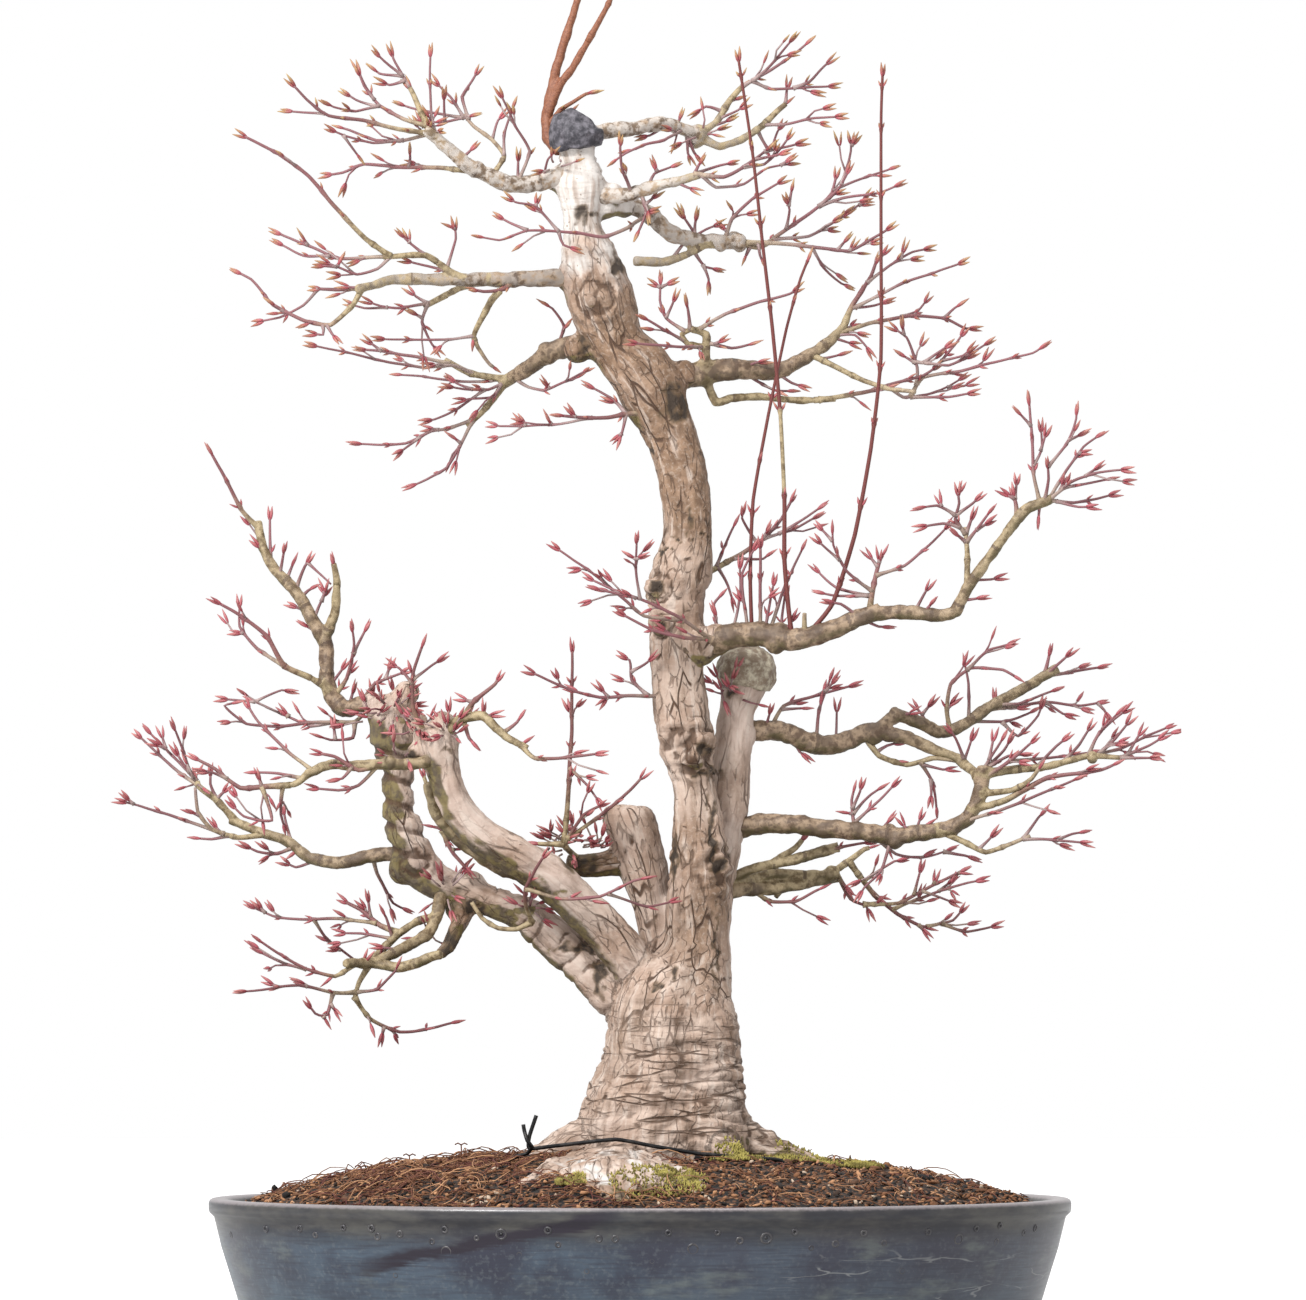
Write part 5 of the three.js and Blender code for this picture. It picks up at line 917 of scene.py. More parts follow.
# %% a spray
class Spray:
    """A branch with its twigs. Its lines are kept straight, as the fixed model has them, to find where a
    twig starts, and smooth, as they are dressed."""

    made = []

    def __init__(self, name, seed, tint):
        self.name, self.turn, self.tint = name, seed, tint
        self.dice = random.Random(int(seed * 1000) + len(name))
        self.straight = []
        self.smooth = []
        self.heavy = []
        self.pairs, self.dry = (), (0, 0)
        self.stout = bmesh.new()
        self.thin = bmesh.new()
        for layer in LAYERS:
            self.thin.verts.layers.float.new(layer)
        Spray.made.append(self)

    def sample(self, line):
        for a, b in zip(line, line[1:]):
            self.straight += [a.lerp(b, k / SAMPLES) for k in range(SAMPLES)]

    def nearest(self, x, z):
        return min(self.straight, key=lambda p: math.hypot(p.x - x, p.z - z))

    def limb(self, numbers, start, end, near, far):
        """The branch itself: its points as x and z, its radius and its depth at both ends."""
        path = list(zip(numbers[::2], numbers[1::2]))
        plain = simplified(path, LIMB_TOLERANCE)
        last = len(plain) - 1
        depths = [near + LIMB_DEPTH * (far - near) * k / last for k in range(last + 1)]
        self.sample([Vector((x, y, z)) for (x, z), y in zip(plain, depths)])
        stations, whole = lengths(plain), lengths(path)
        line = []
        for (x, z), at in zip(path, whole):
            share = at / whole[-1]
            y = value_at(stations, depths, share * stations[-1])
            line.append((x, y, z, start + (end - start) * share))
        self.grow(line, buds=0 if end > 1.1 else 2, young=end <= 1.1)

    def knob(self, x, z, radius):
        """A swelling of three balls, where the branch was cut back."""
        p = self.nearest(x, z)
        for _ in range(3):
            off = Vector([self.dice.uniform(-0.3, 0.3) * radius for _ in range(3)])
            lump(self.stout, *(p + off), radius * self.dice.uniform(0.7, 0.95))

    def cluster(self, x, y, z, radius, count):
        """Short shoots with buds that break out all round a knuckle."""
        for _ in range(count):
            aim = Vector((self.dice.uniform(-1, 1), self.dice.uniform(-1.1, 0.6), self.dice.uniform(-0.4, 1)))
            aim.normalize()
            base = (Vector((x, y, z)) + aim * radius * 0.7) * MM
            self.spur(base, aim, self.dice.random(), self.dice.uniform(3, 9))

    def twig(self, numbers, start=0.8, end=0.6, buds=2, swing=None, early=1, young=None):
        """A twig that starts at the nearest place of the branch. It swings in depth by an even rule of
        turns or by a chosen distance, and the more it does so at its foot, the smaller early is."""
        self.turn = (self.turn + GOLDEN) % 1
        path = list(zip(numbers[::2], numbers[1::2]))
        plain = simplified(path, TWIG_TOLERANCE)
        root = self.nearest(*plain[0])
        stations = lengths(plain)
        length = stations[-1]
        reach = (self.turn * 2 - 1) * FAN * length if swing is None else swing * TWIG_DEPTH
        depth = [root.y + reach * (at / length) ** early for at in stations]
        if length >= SHORTEST:
            line = [root] + [Vector((x, y, z)) for (x, z), y in zip(plain[1:], depth[1:])]
            if buds:
                along = (line[-1] - line[-2]).normalized()
                line.insert(-1, line[-1] - along * BUD_PART * BUD_LENGTH)
            self.sample(line)
        foot = min(self.smooth, key=lambda p: (p[0] - root).length_squared)[0] if self.smooth else root
        whole = lengths(path)
        line = [(foot.x, foot.y, foot.z, start)]
        for (x, z), at in list(zip(path, whole))[1:]:
            share = at / whole[-1]
            line.append((x, root.y + reach * share ** early, z, start + (end - start) * share))
        if young is None:
            young = 1 if end < 0.95 else 0.35
        self.grow(line, buds=buds, young=young)

    def twigs(self, drawing):
        """One twig on each line: its measures as twig takes them, a colon, and its first point and steps."""
        drawn = drawing.strip().splitlines()
        for line in drawn:
            measures, walk = ([float(number) for number in half.split()] for half in line.split(":"))
            points = zip(accumulate(walk[::2]), accumulate(walk[1::2]))
            self.twig([number for point in points for number in point], *measures)
        print(self.name, "has", len(drawn), "drawn twigs")

    def whip(self, numbers, start, end, swing, pairs, dry=(0, 0)):
        """A straight shoot of one summer, with pairs of buds at given heights and perhaps a dry stretch."""
        self.pairs, self.dry = pairs, dry
        self.twig(numbers, start, end, 2, swing, young=WHIP_WOOD)
        self.pairs, self.dry = (), (0, 0)

    def node_places(self, kept, wood_end, on_whip):
        """How far along its stem each node lies: in even gaps, or on a whip at the given heights."""
        nodes = []
        while wood_end - (len(nodes) + 1) * NODE_GAP > 5:
            nodes.append(wood_end - (len(nodes) + self.dice.uniform(0.85, 1.1)) * NODE_GAP)
        if on_whip:
            nodes = [min(kept, key=lambda entry: abs(entry[0][2] - high))[1] for high in self.pairs]
        return nodes

    def lay(self, kept, points, radii, notes):
        """The stout foot of a stem goes into the skin, and the rest is a tube that starts inside it."""
        parting = next((k for k, (p, _) in enumerate(kept) if p[3] < STOUT), len(kept))
        begin = 0
        if parting > 2:
            begin = parting - 3
            self.heavy += [(p[:3], p[3], notes["node"][k]) for k, (p, _) in enumerate(kept[:parting])]
            take_in(self.stout, tube(points[:parting], radii[:parting], 14))
        if parting < len(kept):
            part = {name: values[begin:] for name, values in notes.items()}
            sides = 6 if kept[0][0][3] < 1.3 else 8
            take_in(self.thin, tube(points[begin:], radii[begin:], sides, notes=part))

    def grow(self, line, buds=0, young=0):
        """One stem along a line of x, y, z and radius. Its last stretch is left to the buds of the tip."""
        smooth = smooth_line(line, STEM_STEP, STEM_EASE)
        stations = lengths([p[:3] for p in smooth])
        total = stations[-1]
        wood_end = total - (BUD_LENGTH * 0.8 if buds else 0)
        kept = [(p, at) for p, at in zip(smooth, stations) if at <= wood_end]
        if len(kept) < 2:
            kept = list(zip(smooth, stations))[:2]
        tone = self.dice.random()
        nodes = self.node_places(kept, wood_end, young == WHIP_WOOD)
        points, radii, notes = [], [], {name: [] for name in LAYERS}
        drift = Vector([self.dice.uniform(-50, 50) for _ in range(3)])
        for (x, y, z, radius), at in kept:
            thin = fade(radius, 2.2, 1.2)
            node = max((math.exp(-((at - n) / 1.2) ** 2) for n in nodes), default=0)
            collar = math.exp(-at / 2.5)
            slim = 1 - (1 - FINE) * thin
            sway = 0 if young == WHIP_WOOD else 0.35 * thin * fade(at, 0, 8)
            wobble = noise.noise_vector(Vector((x, y, z)) / 11 + drift) * sway
            radii.append(radius * slim * (1 + 0.06 * node + (0.36 * node + 0.8 * collar) * thin) * MM)
            points.append((Vector((x, y, z)) + wobble) * MM)
            share = at / max(total, 1)
            age = 1 if young > 1 else fade(share * 1.15 + min(0.3, 12 / total), 0.15, 0.75)
            dry = self.dry[0] < z < self.dry[1]
            thick, red, olive = (1.2, 0, 1) if dry else (radius, young * age, self.tint)
            for name, value in zip(LAYERS, (thick, red, 0, tone, olive, node)):
                notes[name].append(value)
            self.smooth.append((Vector((x, y, z)), radius))
        self.lay(kept, points, radii, notes)
        if buds:
            self.tip(points, buds, tone)
            self.side_buds(points, radii, stations, nodes, tone, young)

    def bud(self, base, along, length, width, tone):
        """A slim pointed bud: a ball of few faces, drawn out to a point along a direction."""
        mesh = bmesh.new()
        layers = [mesh.verts.layers.float.new(name) for name in LAYERS]
        verts = bmesh.ops.create_uvsphere(mesh, u_segments=6, v_segments=6, radius=1)["verts"]
        place = stood_on(base, along)
        for vert in verts:
            t = (vert.co.z + 1) / 2
            slim = 1 - 0.55 * fade(t, 0.35, 1)
            vert.co = place @ Vector((vert.co.x * width * slim, vert.co.y * width * slim, t * length))
            for layer, value in zip(layers, (1, 1, 0.2 + 0.8 * t, tone, self.tint, 0)):
                vert[layer] = value
        take_in(self.thin, mesh)

    def tip(self, points, buds, tone):
        """One or two buds that end a stem."""
        along = (points[-1] - points[-2]).normalized()
        across = along.orthogonal().normalized()
        across.rotate(Matrix.Rotation(self.turn * math.tau, 3, along))
        base = points[-1] - along * 1.2 * MM
        for side in ((-1, 1) if buds == 2 else (0,)):
            length = BUD_LENGTH * self.dice.uniform(0.78, 1.04) * MM
            aim = (along + across * side * self.dice.uniform(0.06, 0.22)).normalized()
            self.bud(base + across * side * 0.45 * MM, aim, length, self.dice.uniform(0.8, 1.05) * MM,
                     (tone + self.dice.random()) / 2)

    def side_buds(self, points, radii, stations, nodes, tone, young):
        """Pairs of buds at the nodes of young wood, and short shoots with buds at some nodes of old wood."""
        for pair, at in enumerate(nodes):
            k = min(range(len(points)), key=lambda i: abs(stations[i] - at))
            if 0 < k < len(points) - 1 and radii[k] < 1.6 * MM:
                along = (points[k + 1] - points[k - 1]).normalized()
                across = along.orthogonal().normalized()
                across.rotate(Matrix.Rotation(self.turn * math.tau + pair * math.pi / 2, 3, along))
                for side in (-1, 1):
                    fewer = 0.3 if young == WHIP_WOOD or self.tint == LEADER else 0
                    chance = self.dice.random() + fewer
                    aim = (along + across * side * self.dice.uniform(0.4, 0.8)).normalized()
                    base = points[k] + across * side * radii[k] * 0.5
                    if chance < 0.1:
                        self.spur(base, aim, tone, self.dice.uniform(9, 17))
                    elif chance < 0.3:
                        self.spur(base, aim, tone, self.dice.uniform(2.5, 8))
                    elif chance < 0.88 and young or young == WHIP_WOOD:
                        self.bud(base, aim, self.dice.uniform(3.4, 6) * MM,
                                 self.dice.uniform(0.6, 0.85) * MM, tone)

    def spur(self, base, aim, tone, long):
        """A short shoot that ends in buds."""
        bend = Vector([self.dice.uniform(-0.22, 0.22) for _ in range(3)])
        points = [base, base + aim * long * 0.5 * MM, base + (aim + bend) * long * MM]
        radii = [0.62 * MM, 0.5 * MM, 0.48 * MM]
        values = (0.7, self.dice.random(), 0, tone, self.tint, 0)
        notes = {name: [value] * 3 for name, value in zip(LAYERS, values)}
        take_in(self.thin, tube(points, radii, 5, notes=notes))
        self.tip(points, 1 + (self.dice.random() < 0.7), tone)

    def skin(self):
        """The stout stems in one knobbly skin, with the layers read from the nearest stout line."""
        made = one_skin(self.stout, 0.8, 3)
        tree = KDTree(len(self.heavy))
        for k, (p, _, _) in enumerate(self.heavy):
            tree.insert(p, k)
        tree.balance()
        layers = [made.verts.layers.float.new(name) for name in LAYERS]
        made.normal_update()
        away = [vert.normal.copy() for vert in made.verts]
        for vert, normal in zip(made.verts, away):
            place = vert.co / MM
            _, radius, node = self.heavy[tree.find(place)[1]]
            ring = ridged(place.x / 7, place.y / 7, place.z / 7)
            height = 0.75 * noise.noise(place / 6) + 0.4 * (ring - 0.7) + 0.16 * noise.noise(place / 1.9)
            vert.co += normal * height * min(1, radius / 4) * MM
            tone = 0.5 + 0.5 * noise.noise(place / 30)
            for layer, value in zip(layers, (radius, 0, 0, tone, self.tint, node)):
                vert[layer] = value
        return made

    def finish(self, material):
        whole = self.thin
        if self.stout.verts:
            take_in(whole, self.skin())
        keep_inside(whole)
        piece(self.name + "_dressed", whole, material, "twig_bark", self.name)


# %% [markdown]
# ### Twig finish
# One finish serves all twigs, because the layers say what each point is. Stout wood is pale tan like the
# trunk, the branches after it are olive tan, old fine twigs are a greyish mauve, and last year's wood is
# dark red. Buds are crimson at the foot and turn pink and yellowish towards the point.

# %% the layers and noises of the twigs
twig_finish = Finish("maple_twig_bark", roughness=0.62)
thick, young, bud, tone, olive, node = (twig_finish.attribute(name) for name in LAYERS)
blotch = twig_finish.cloud(90, 3)
patch = twig_finish.cloud(260, 3, roughness=0.6)
speck = twig_finish.cloud(900, 3, roughness=0.6)
height = twig_finish.parts(twig_finish.place)[2]
underside = twig_finish.parts(twig_finish.facing)[2].step(0.1, -0.6)

# %% the colours of the wood, from old to young
fine_old = twig_finish.mix(tone, shade(182, 158, 154), shade(148, 120, 118))
olive_wood = twig_finish.mix(patch.step(0.34, 0.6), shade(116, 96, 64), shade(184, 164, 126))
stout_wood = twig_finish.mix(patch.step(0.36, 0.62), shade(98, 75, 55), shade(170, 144, 117))
red_wood = twig_finish.mix(tone, shade(112, 50, 60), shade(148, 86, 94))
shoot_red = twig_finish.mix(speck, shade(124, 54, 44), shade(104, 40, 40))
shoot_brown = twig_finish.mix(speck.step(0.45, 0.62), shade(150, 92, 62), shade(126, 72, 48))
twig_finish.start((thick + olive * 0.5).step(0.95, 1.7), fine_old, olive_wood)
twig_finish.over((thick - olive).step(1.8, 3.6), stout_wood)
scar = (node * 0.7 + patch * 0.7).step(0.8, 1.05) * thick.step(0.9, 1.6)
twig_finish.over(scar * 0.75, shade(84, 62, 46))
# Painted shade: a dark olive film on the undersides of stout twigs below the top of the tree, partly real
# green film.
film = underside * thick.step(1.2, 2.6) * blotch.step(0.36, 0.56) * height.step(0.6, 0.4)
twig_finish.over(film * 0.8, shade(96, 86, 50))
dirt = (blotch * 0.8 + patch * 0.5).step(0.67, 0.74) * thick.step(1.8, 3.6)
twig_finish.over(dirt * 0.7, shade(84, 64, 48))
pale_top = height.step(0.5, 0.58) * thick.step(1.6, 3.0) * patch.step(0.62, 0.42)
twig_finish.over(pale_top * 0.7, shade(232, 222, 212))
twig_finish.over((young.least(1) * (blotch * 0.7 + 0.65)).step(0.3, 1.0) * 0.85, red_wood)
twig_finish.over(young.step(1.2, 1.5), shoot_red)
twig_finish.over(olive.step(-0.4, -0.8), shoot_brown)

# %% the colours of the buds, the gloss and the relief
bud_foot = twig_finish.mix(tone, shade(140, 44, 56), shade(190, 88, 100))
high_tip = twig_finish.mix(tone, shade(188, 156, 100), shade(166, 104, 80))
low_tip = twig_finish.mix(tone, shade(208, 134, 128), shade(158, 76, 82))
point = twig_finish.mix(height.step(0.42, 0.58), low_tip, high_tip)
bud_colour = twig_finish.mix((bud + speck * 0.2).step(0.4, 0.95), bud_foot, point)
twig_finish.over(bud.step(0.05, 0.15), bud_colour)
twig_finish.rough(bud.step(0.1, 0.2) * -0.12 + speck * 0.1 + 0.6)
twig_finish.relief(speck * 0.3 + patch * 0.7 - scar * 0.5, 0.4, 0.6)

# %% [markdown]
# ### The crown
# Two long shoots stand on the cut top and lean right. On both sides of the top, fans of fine twigs
# spread from one old branch each.

# %% spray: top shoots
spray = Spray("top_shoots", 0.1, LEADER)
spray.limb([-40, 604, -46, 611, -47, 621, -45, 632, -42, 646, -37, 662, -28, 692, -20, 722, -14, 748], 3.2,
    0.8, 0, 6)
spray.twigs("""
2.4 0.6 2 -14: -45 628 5 10 6 8 6 10 13 24 10 22 13 26
1.6 0.8 2 -6: -44 618 4 7 6 4 7 4 10 2
1.4 0.9 1 8: -45 613 7 8 5 5 6 0
""")

# %% spray: branches top left
spray = Spray("branches_top_left", 0.2, GREY)
spray.limb([-30, 594, -42, 591, -55, 588, -66, 588, -78, 593, -86, 597, -93, 603, -101, 610, -107, 615],
    5.4, 3, 0, -8)
spray.knob(-82, 594, 5)
spray.twigs("""
1.8 1.3 2 4: -107 615 -3 10 -4 9 -5 9
0.9: -118 641 -5 9 -2 10
0.9: -119 641 -10 9 -6 7
0.9: -119 641 -11 2 -8 7
0.9: -117 638 -8 -1 -9 3
1.4 0.7: -107 615 -11 5 -12 7 -7 9 -7 16
0.8: -132 629 -6 8 -5 14
0.9: -129 626 -13 -2 -11 2 -9 5
0.8: -131 627 -11 3 -11 7
1.5 0.7 2 -14: -107 613 -13 1.5 -18 4.5 -17 2 -11 8 -12 13
0.8: -157 622 -11 1 -14 1
1.2 0.7 2 16: -106 612 -12 -2.5 -14 0 -13 5.5 -11 3
0.9 0.6 2 -10: -119 608 -14 0 -13 3 -14 6
0.8: -147 612 6 -10 5 -5
1.6 0.7 2 14: -79 593 -21 3 -20 0.5 -18 1.5 -11 -4 -14 -2
0.8: -112 597 -3 6 -6 3
0.9 0.6 2 5: -102 611 -2 11 -1 23 1 15
1.5 1.1 0 10: -74 590 6 12 -6 8 -9 7 -5 6
1 0.7: -88 623 -1 9 6 10 5 9
0.9: -87 621 -13 -2 -12 2
1 0.6 2 12: -88 623 -16 1 -11 3 -11 4
0.9: -88 623 -7 9 -12 12
0.8: -87 622 9 2
0.8: -98 622 0 9 5 6
0.9: -68 603 0 9 3 10 4 11
1.1 0.6 2 -12: -62 589 7 15 -7 12 -4 9 -7 13
0.8: -74 611 3 9 7 7
0.9: -60 588 -1 12 2 8
0.8 0.6 1 -10: -50 590 4 10 8 7
0.9: -90 600 6 5 5 7
""")
spray.cluster(-107, -14, 613, 4, 6)
spray.cluster(-42, -6, 596, 6, 6)

# %% [markdown]
# ### The left side of the upper trunk
# Three tiers of twigs hang in the air left of the upper trunk, each on one level branch.

# %% spray: branches left second
spray = Spray("branches_left_second", 0.35, GREY)
spray.limb([-28, 541, -45, 541, -65, 540, -85, 540, -105, 540, -122, 540, -132, 537, -141, 534.5], 4.8, 2.2,
    0, -14)
spray.twigs("""
1.4 0.8: -139 535 -13 -0.5 -16 1.5
1.6 0.7 2 10: -139 535 -4 -8 -11 -10 -13 2 -16 8 -11 13 -13 6
0.8 0.6 1: -178 524 -10 7
0.9: -160 535 -8 -8 -12 -6 -17 -3
0.8: -158 516 0 -4 -12 2
0.8: -155 517 3 -6 8 0
2 1.5 0 -8: -86 540 -9 4 -12 8 -21 -1
0.9: -96 543 -12 4 -15 4
1.6 0.8 2 -12: -126 551 -11 9 -16 17 -12 14 -15 11 -24 12
1.2 0.7 2 14: -126 551 -24 -0.5 -10 4 -18 7.5 -10 5
0.8: -167 557 -5 10
0.9: -153 552 -15 0 -18 9
1 0.6: -126 551 -5 -6 -10 -3 -10 4 -13 5
0.8: -149 545 -17 1.5
0.8: -150 545 3 8
0.9: -107 552 -8 6 -8 8
0.8: -115 558 -2 8
1: -97 545 5 15 -1 12
0.8: -93 565 -8 4
2.2 1.6 0 10: -75 540 -15 -4 -10 -5 -8 -4
1: -107 527 -13 -1 -10 1 -11 4
0.9: -106 528 -6 4 -7 7
1: -108 526 -1 -7 5 -11 7 -8
0.8: -109 521 -11 6
0.8: -127 527 -11 -1 -13 4
0.8: -138 536 -8 0 -5 5
1.5 0.8: -60 541 -8 -6 -10 -1 -11 2
2 1 1 14: -69 536 -5 -6 -6 -11 -3 -7 2 -6 6 -8 8 -5
0.9: -82 512 -14 -2 -19 0 -21 0.5
0.8: -83 511 -1 -7
""")

# %% spray: branches left third
spray = Spray("branches_left_third", 0.5, GREY)
spray.limb([-14, 509, -25, 508, -36, 507, -46, 504, -54, 498, -62, 493, -69, 489], 7, 3, 3, 16)
spray.knob(-47, 506, 5.4)
spray.twigs("""
2 1.6 0 8: -69 489 -16 5 -13 7
1.2 0.7: -97 501 -18 2 -19 3 -13 1
0.8: -132 506 -9 8
1.1 0.6 2 -14: -84 494 -9 4 -17 -1 -23 4 -17 4 -20 4
1 0.6 2 18: -68 490 -22 0 -20 3 -18 1
1: -67 489 -9 -3 -12 0 -14 2
0.8: -84 486 -8 3 -8 6
0.9: -68 487 -6 -5 -12 -1 -10 -2
2 1.5 0 6: -67 489 -6 -7 -7 -8 -7 -6
1.1 0.6: -86 469 -11 -2.5 -8 -1.5 -13 -6 -12 -0.5 -19 0.5
0.8: -112 462 -8 -7 -7 -4
0.8: -101 466 -12 1.5
1.1 0.6: -86 469 -4 -10 -7 -12 -10 -6 -14 -6
0.8: -90 460 -9 6
0.9: -78 484 -14 -8 -11 -5 -11 -2
1 0.7 2 -30: -62 490 6 -3 8 -2 10 4 8 4 8 4
0.8: -46 486 -4 6
1.1 0.7 2 -8: -42 505 4 12 -6 9 -8 4
""")

# %% spray: twigs left fourth
spray = Spray("twigs_left_fourth", 0.65, PURPLE)
spray.limb([8, 474, -7, 473, -16, 471, -30, 471, -47, 472.5], 1.6, 0.8, -4, -12)
spray.twigs("""
0.8: -31 471 -7 7
0.9: -22 471 -18 -3 -17 -1 -13 0 -10 3
0.8: -55 467 -8 7
0.8: -46 468 -3 8
1: -6 474 -7 6 -7 4 -11 6
1: -6 473 -3 -10 -3 -9
0.8: -9 462 -6 -4
""")

# %% [markdown]
# ### The right side of the upper trunk
# Four sprays overlap here. The lowest reaches furthest out and ends in many upright tips.

# %% spray: branches top right
spray = Spray("branches_top_right", 0.15, PURPLE)
spray.limb([-26, 613, -16, 615, -4, 616, 10, 619, 20, 617, 31, 612], 4, 3.4, 4, 16)
spray.knob(31, 612, 6)
spray.twigs("""
2.2 1.4 1 6: 31 612 7 8 7 11 6 7 8 3
1.1: 57 641 8 5 13 9 12 10
1: 56 640 7 6 9 10 8 10
1: 58 640 8 -3 18 1 20 1
1: 42 626 -9 2 -10 -7
0.9: 46 632 10 2
0.9: 38 618 6 3 0 7
0.8: 42 619 7 7 7 5
0.9: 18 617 2 5 2 7
2.4 1.4 1 8: 32 612 8 -4 12 4 10 7 8 8 9 8
0.9: 76 632 -1 14
1: 77 634 8 7 8 8 8 6
1 0.6 2 -12: 60 618 12 1 16 3 18 1
1: 57 616 8 -10 4 10 6 8
1.1: 24 614 3 -9 7 -9
1: 23 613 1 -9 4 -8
1.1 0.7 2 -30 0.4: 20 616 -8 -6 -9 -2.5 -10 -4.5 -11 -8
0.9: 14 618 -9 -5 -11 -2
""")
spray.cluster(31, 16, 613, 5, 4)

# %% spray: branches right second
spray = Spray("branches_right_second", 0.3, PURPLE)
spray.limb([-24, 583, -12, 582, -4, 583, 6, 586, 16, 588.5, 30, 592], 4.6, 2, 0, -6)
spray.twigs("""
1: 4 586 3 7 7 3 8 3
0.9: 8 593 -3 9
1: 24 591 6 7 6 6
1: 28 592 12 5 13 3
1.4 0.7 2 -8: 29 592 13 -1 10 5 8 6 9 7
0.9: 57 600 9 1 10 3
0.9: 62 604 12 2 13 4
1: 52 595 10 2 9 9 8 11
1.1: 30 591 8 -5 14 2 12 8 18 3
0.8: 71 598 10 6
0.9: 18 589 8 -4 6 4
1.1 0.7 2 -12 0.5: -2 584 -7 11 -1 10 1 9
1.2: -1 584 4 -9 -3 -9 -4 -10
0.9: 1 577 6 4 5 4
0.8: 2 573 7 2
""")

# %% spray: branches right third
spray = Spray("branches_right_third", 0.45, PURPLE)
spray.limb([-24, 574, -12, 577, -2, 577, 6, 572, 15, 564, 26, 560.5, 38, 560, 52, 559.5], 5, 3.6, 4, 14)
spray.knob(38, 560, 5)
spray.knob(50, 560, 5)
spray.twigs("""
1.8 2.6 0 -8: 36 559 -11 -5 -13 -4.5 -15 0.5
1.1: 14 552 8 7 11 7 11 4
1: 29 564 -7 8 -6 5
0.8: 20 572 -1 8
0.9: 28 565 0 6 6 6
1.3: 42 560 4 11 10 10 10 6 11 6
0.8: 44 566 -5 3
1.5 0.8 2 10: 50 559 10 -2 10 7 16 11 10 9 4 17
0.9: 72 566 3 10 -4 10
0.9: 75 578 3 16
1: 90 577 10 10 8 15
0.9: 101 591 5 15 0 12
0.8: 106 606 6 11
1.5 0.7 2 -16: 52 558 18 1 18 -2 17 -2 15 8 11 7
0.8: 97 556 11 10
0.8: 104 555 7 9
1: 84 558 8 -11 9 -8 8 -3
1 0.7 1: 56 558 -4 -7 -6 0
0.9 0.6 1: 58 558 3 -7 8 -2
1: 28 556 5 -9 13 -2
0.9: 33 551 1.5 -10 -0.5 -10
1.1 0.6 2 18: 68 562 17 1 15 9 10 7 8 10
0.8: 110 579 8 2
1: 90 577 12 5 18 2.5 16 6.5
0.9: 97 585 11 6 12 4 13 5
0.8: 92 568 11 6 8 3
1.3 0.6 2 -32 0.35: 4 572 -10 -6 -12 -5 -14 2 -24 1 -14 -5 -16 3
0.9: -54 564 -11 4 -11 6
0.9: -40 564 -12 12 -10 2 -9 6
0.8: -52 576 2 8
0.8: -41 563 3 -6 11 -4
""")

# %% spray: branches right fourth
spray = Spray("branches_right_fourth", 0.6, GREY)
spray.limb([3, 491, 16, 492, 26, 492.5, 36, 494.5, 50, 495.5, 68, 494.5, 82, 501, 94, 509, 103, 518], 7.6,
    2.2, 2, 14)
spray.knob(31, 494, 6.4)
spray.twigs("""
1.8 0.8 2 4: 103 517 4 12 9 14 5 15
3 1.8 0 -4: 32 494 1 10 0 9 -9 3
1.7 1.5 0 -5: 32 506 -8 2 -3 5 6 3
1.1: 25 515 -1 10 -2 10
1.1: 22 514 -9 7 -3 9 1 17
0.8: 12 522 5 8 1 8
0.8: 10 536 -6 3
0.8: 11 536 6 3 6 -3
1 0.7 2 -12: 23 509 -11 6 -15 9
1 0.7 2 -30 0.3: 30 504 -10 2 -29 2
1.1: 33 508 13 -2 9 2 8 3
0.8: 37 508 10 5
1.2 0.7 2 -8: 30 515 13 8 17 6 15 4 10 6
0.9: 50 495 8 4 9 1
1.1: 50 495 8 -5 10 -5 14 0
1: 67 494 9 -5 12 -4
2.4 1.7 0 10: 30 492 8 -13 7 2 15 1 20 -2 18 1
1.5 0.7: 97 481 14 3 17 5 14 4 12 8
1.7 1.3 0 -12: 84 501 12 -3 16 -8 12 -4 14 -2
1.1: 122 486 10 -4 12 1.5 12 4.5 11 7
0.8: 154 487 9 1 10 4
1: 136 484 18 -2 19 3
1.2 0.6 2 -12: 137 484 5 8 18 3 20 5 17 4 10 7
1.1: 138 488 1 9 -5 15 -12 8
0.8: 133 512 -2 13
0.8: 138 501 -11 5
1: 139 500 16 -2 13 7 12 8
0.9: 150 499 8 9 8 12
0.9: 141 500 11 6 9 6
0.8: 152 499 10 4 8 8
1.4 0.8 2 14: 100 513 15 6 20 4 18 -1 11 -5 10 1
0.8: 151 522 7 5 9 6
0.9: 128 522 12 4 8 10
0.8: 97 511 9 -2 7 -3
0.8: 101 512 7 1 5 -5 6 -9
0.8: 92 500 8 3 5 5
0.9: 107 528 11 0 12 4
1.1: 108 526 12 7 12 6 18 6 17 6
1: 113 541 12 7 12 7 14 3
0.8: 130 552 5 12
0.8: 118 552 9 7
""")

# %% [markdown]
# ### The long right branch and its whips
# The longest branch leaves the first trunk half way up. Upright whips of one summer's growth stand
# on it, with pairs of buds, and its far end carries a dense tuft.

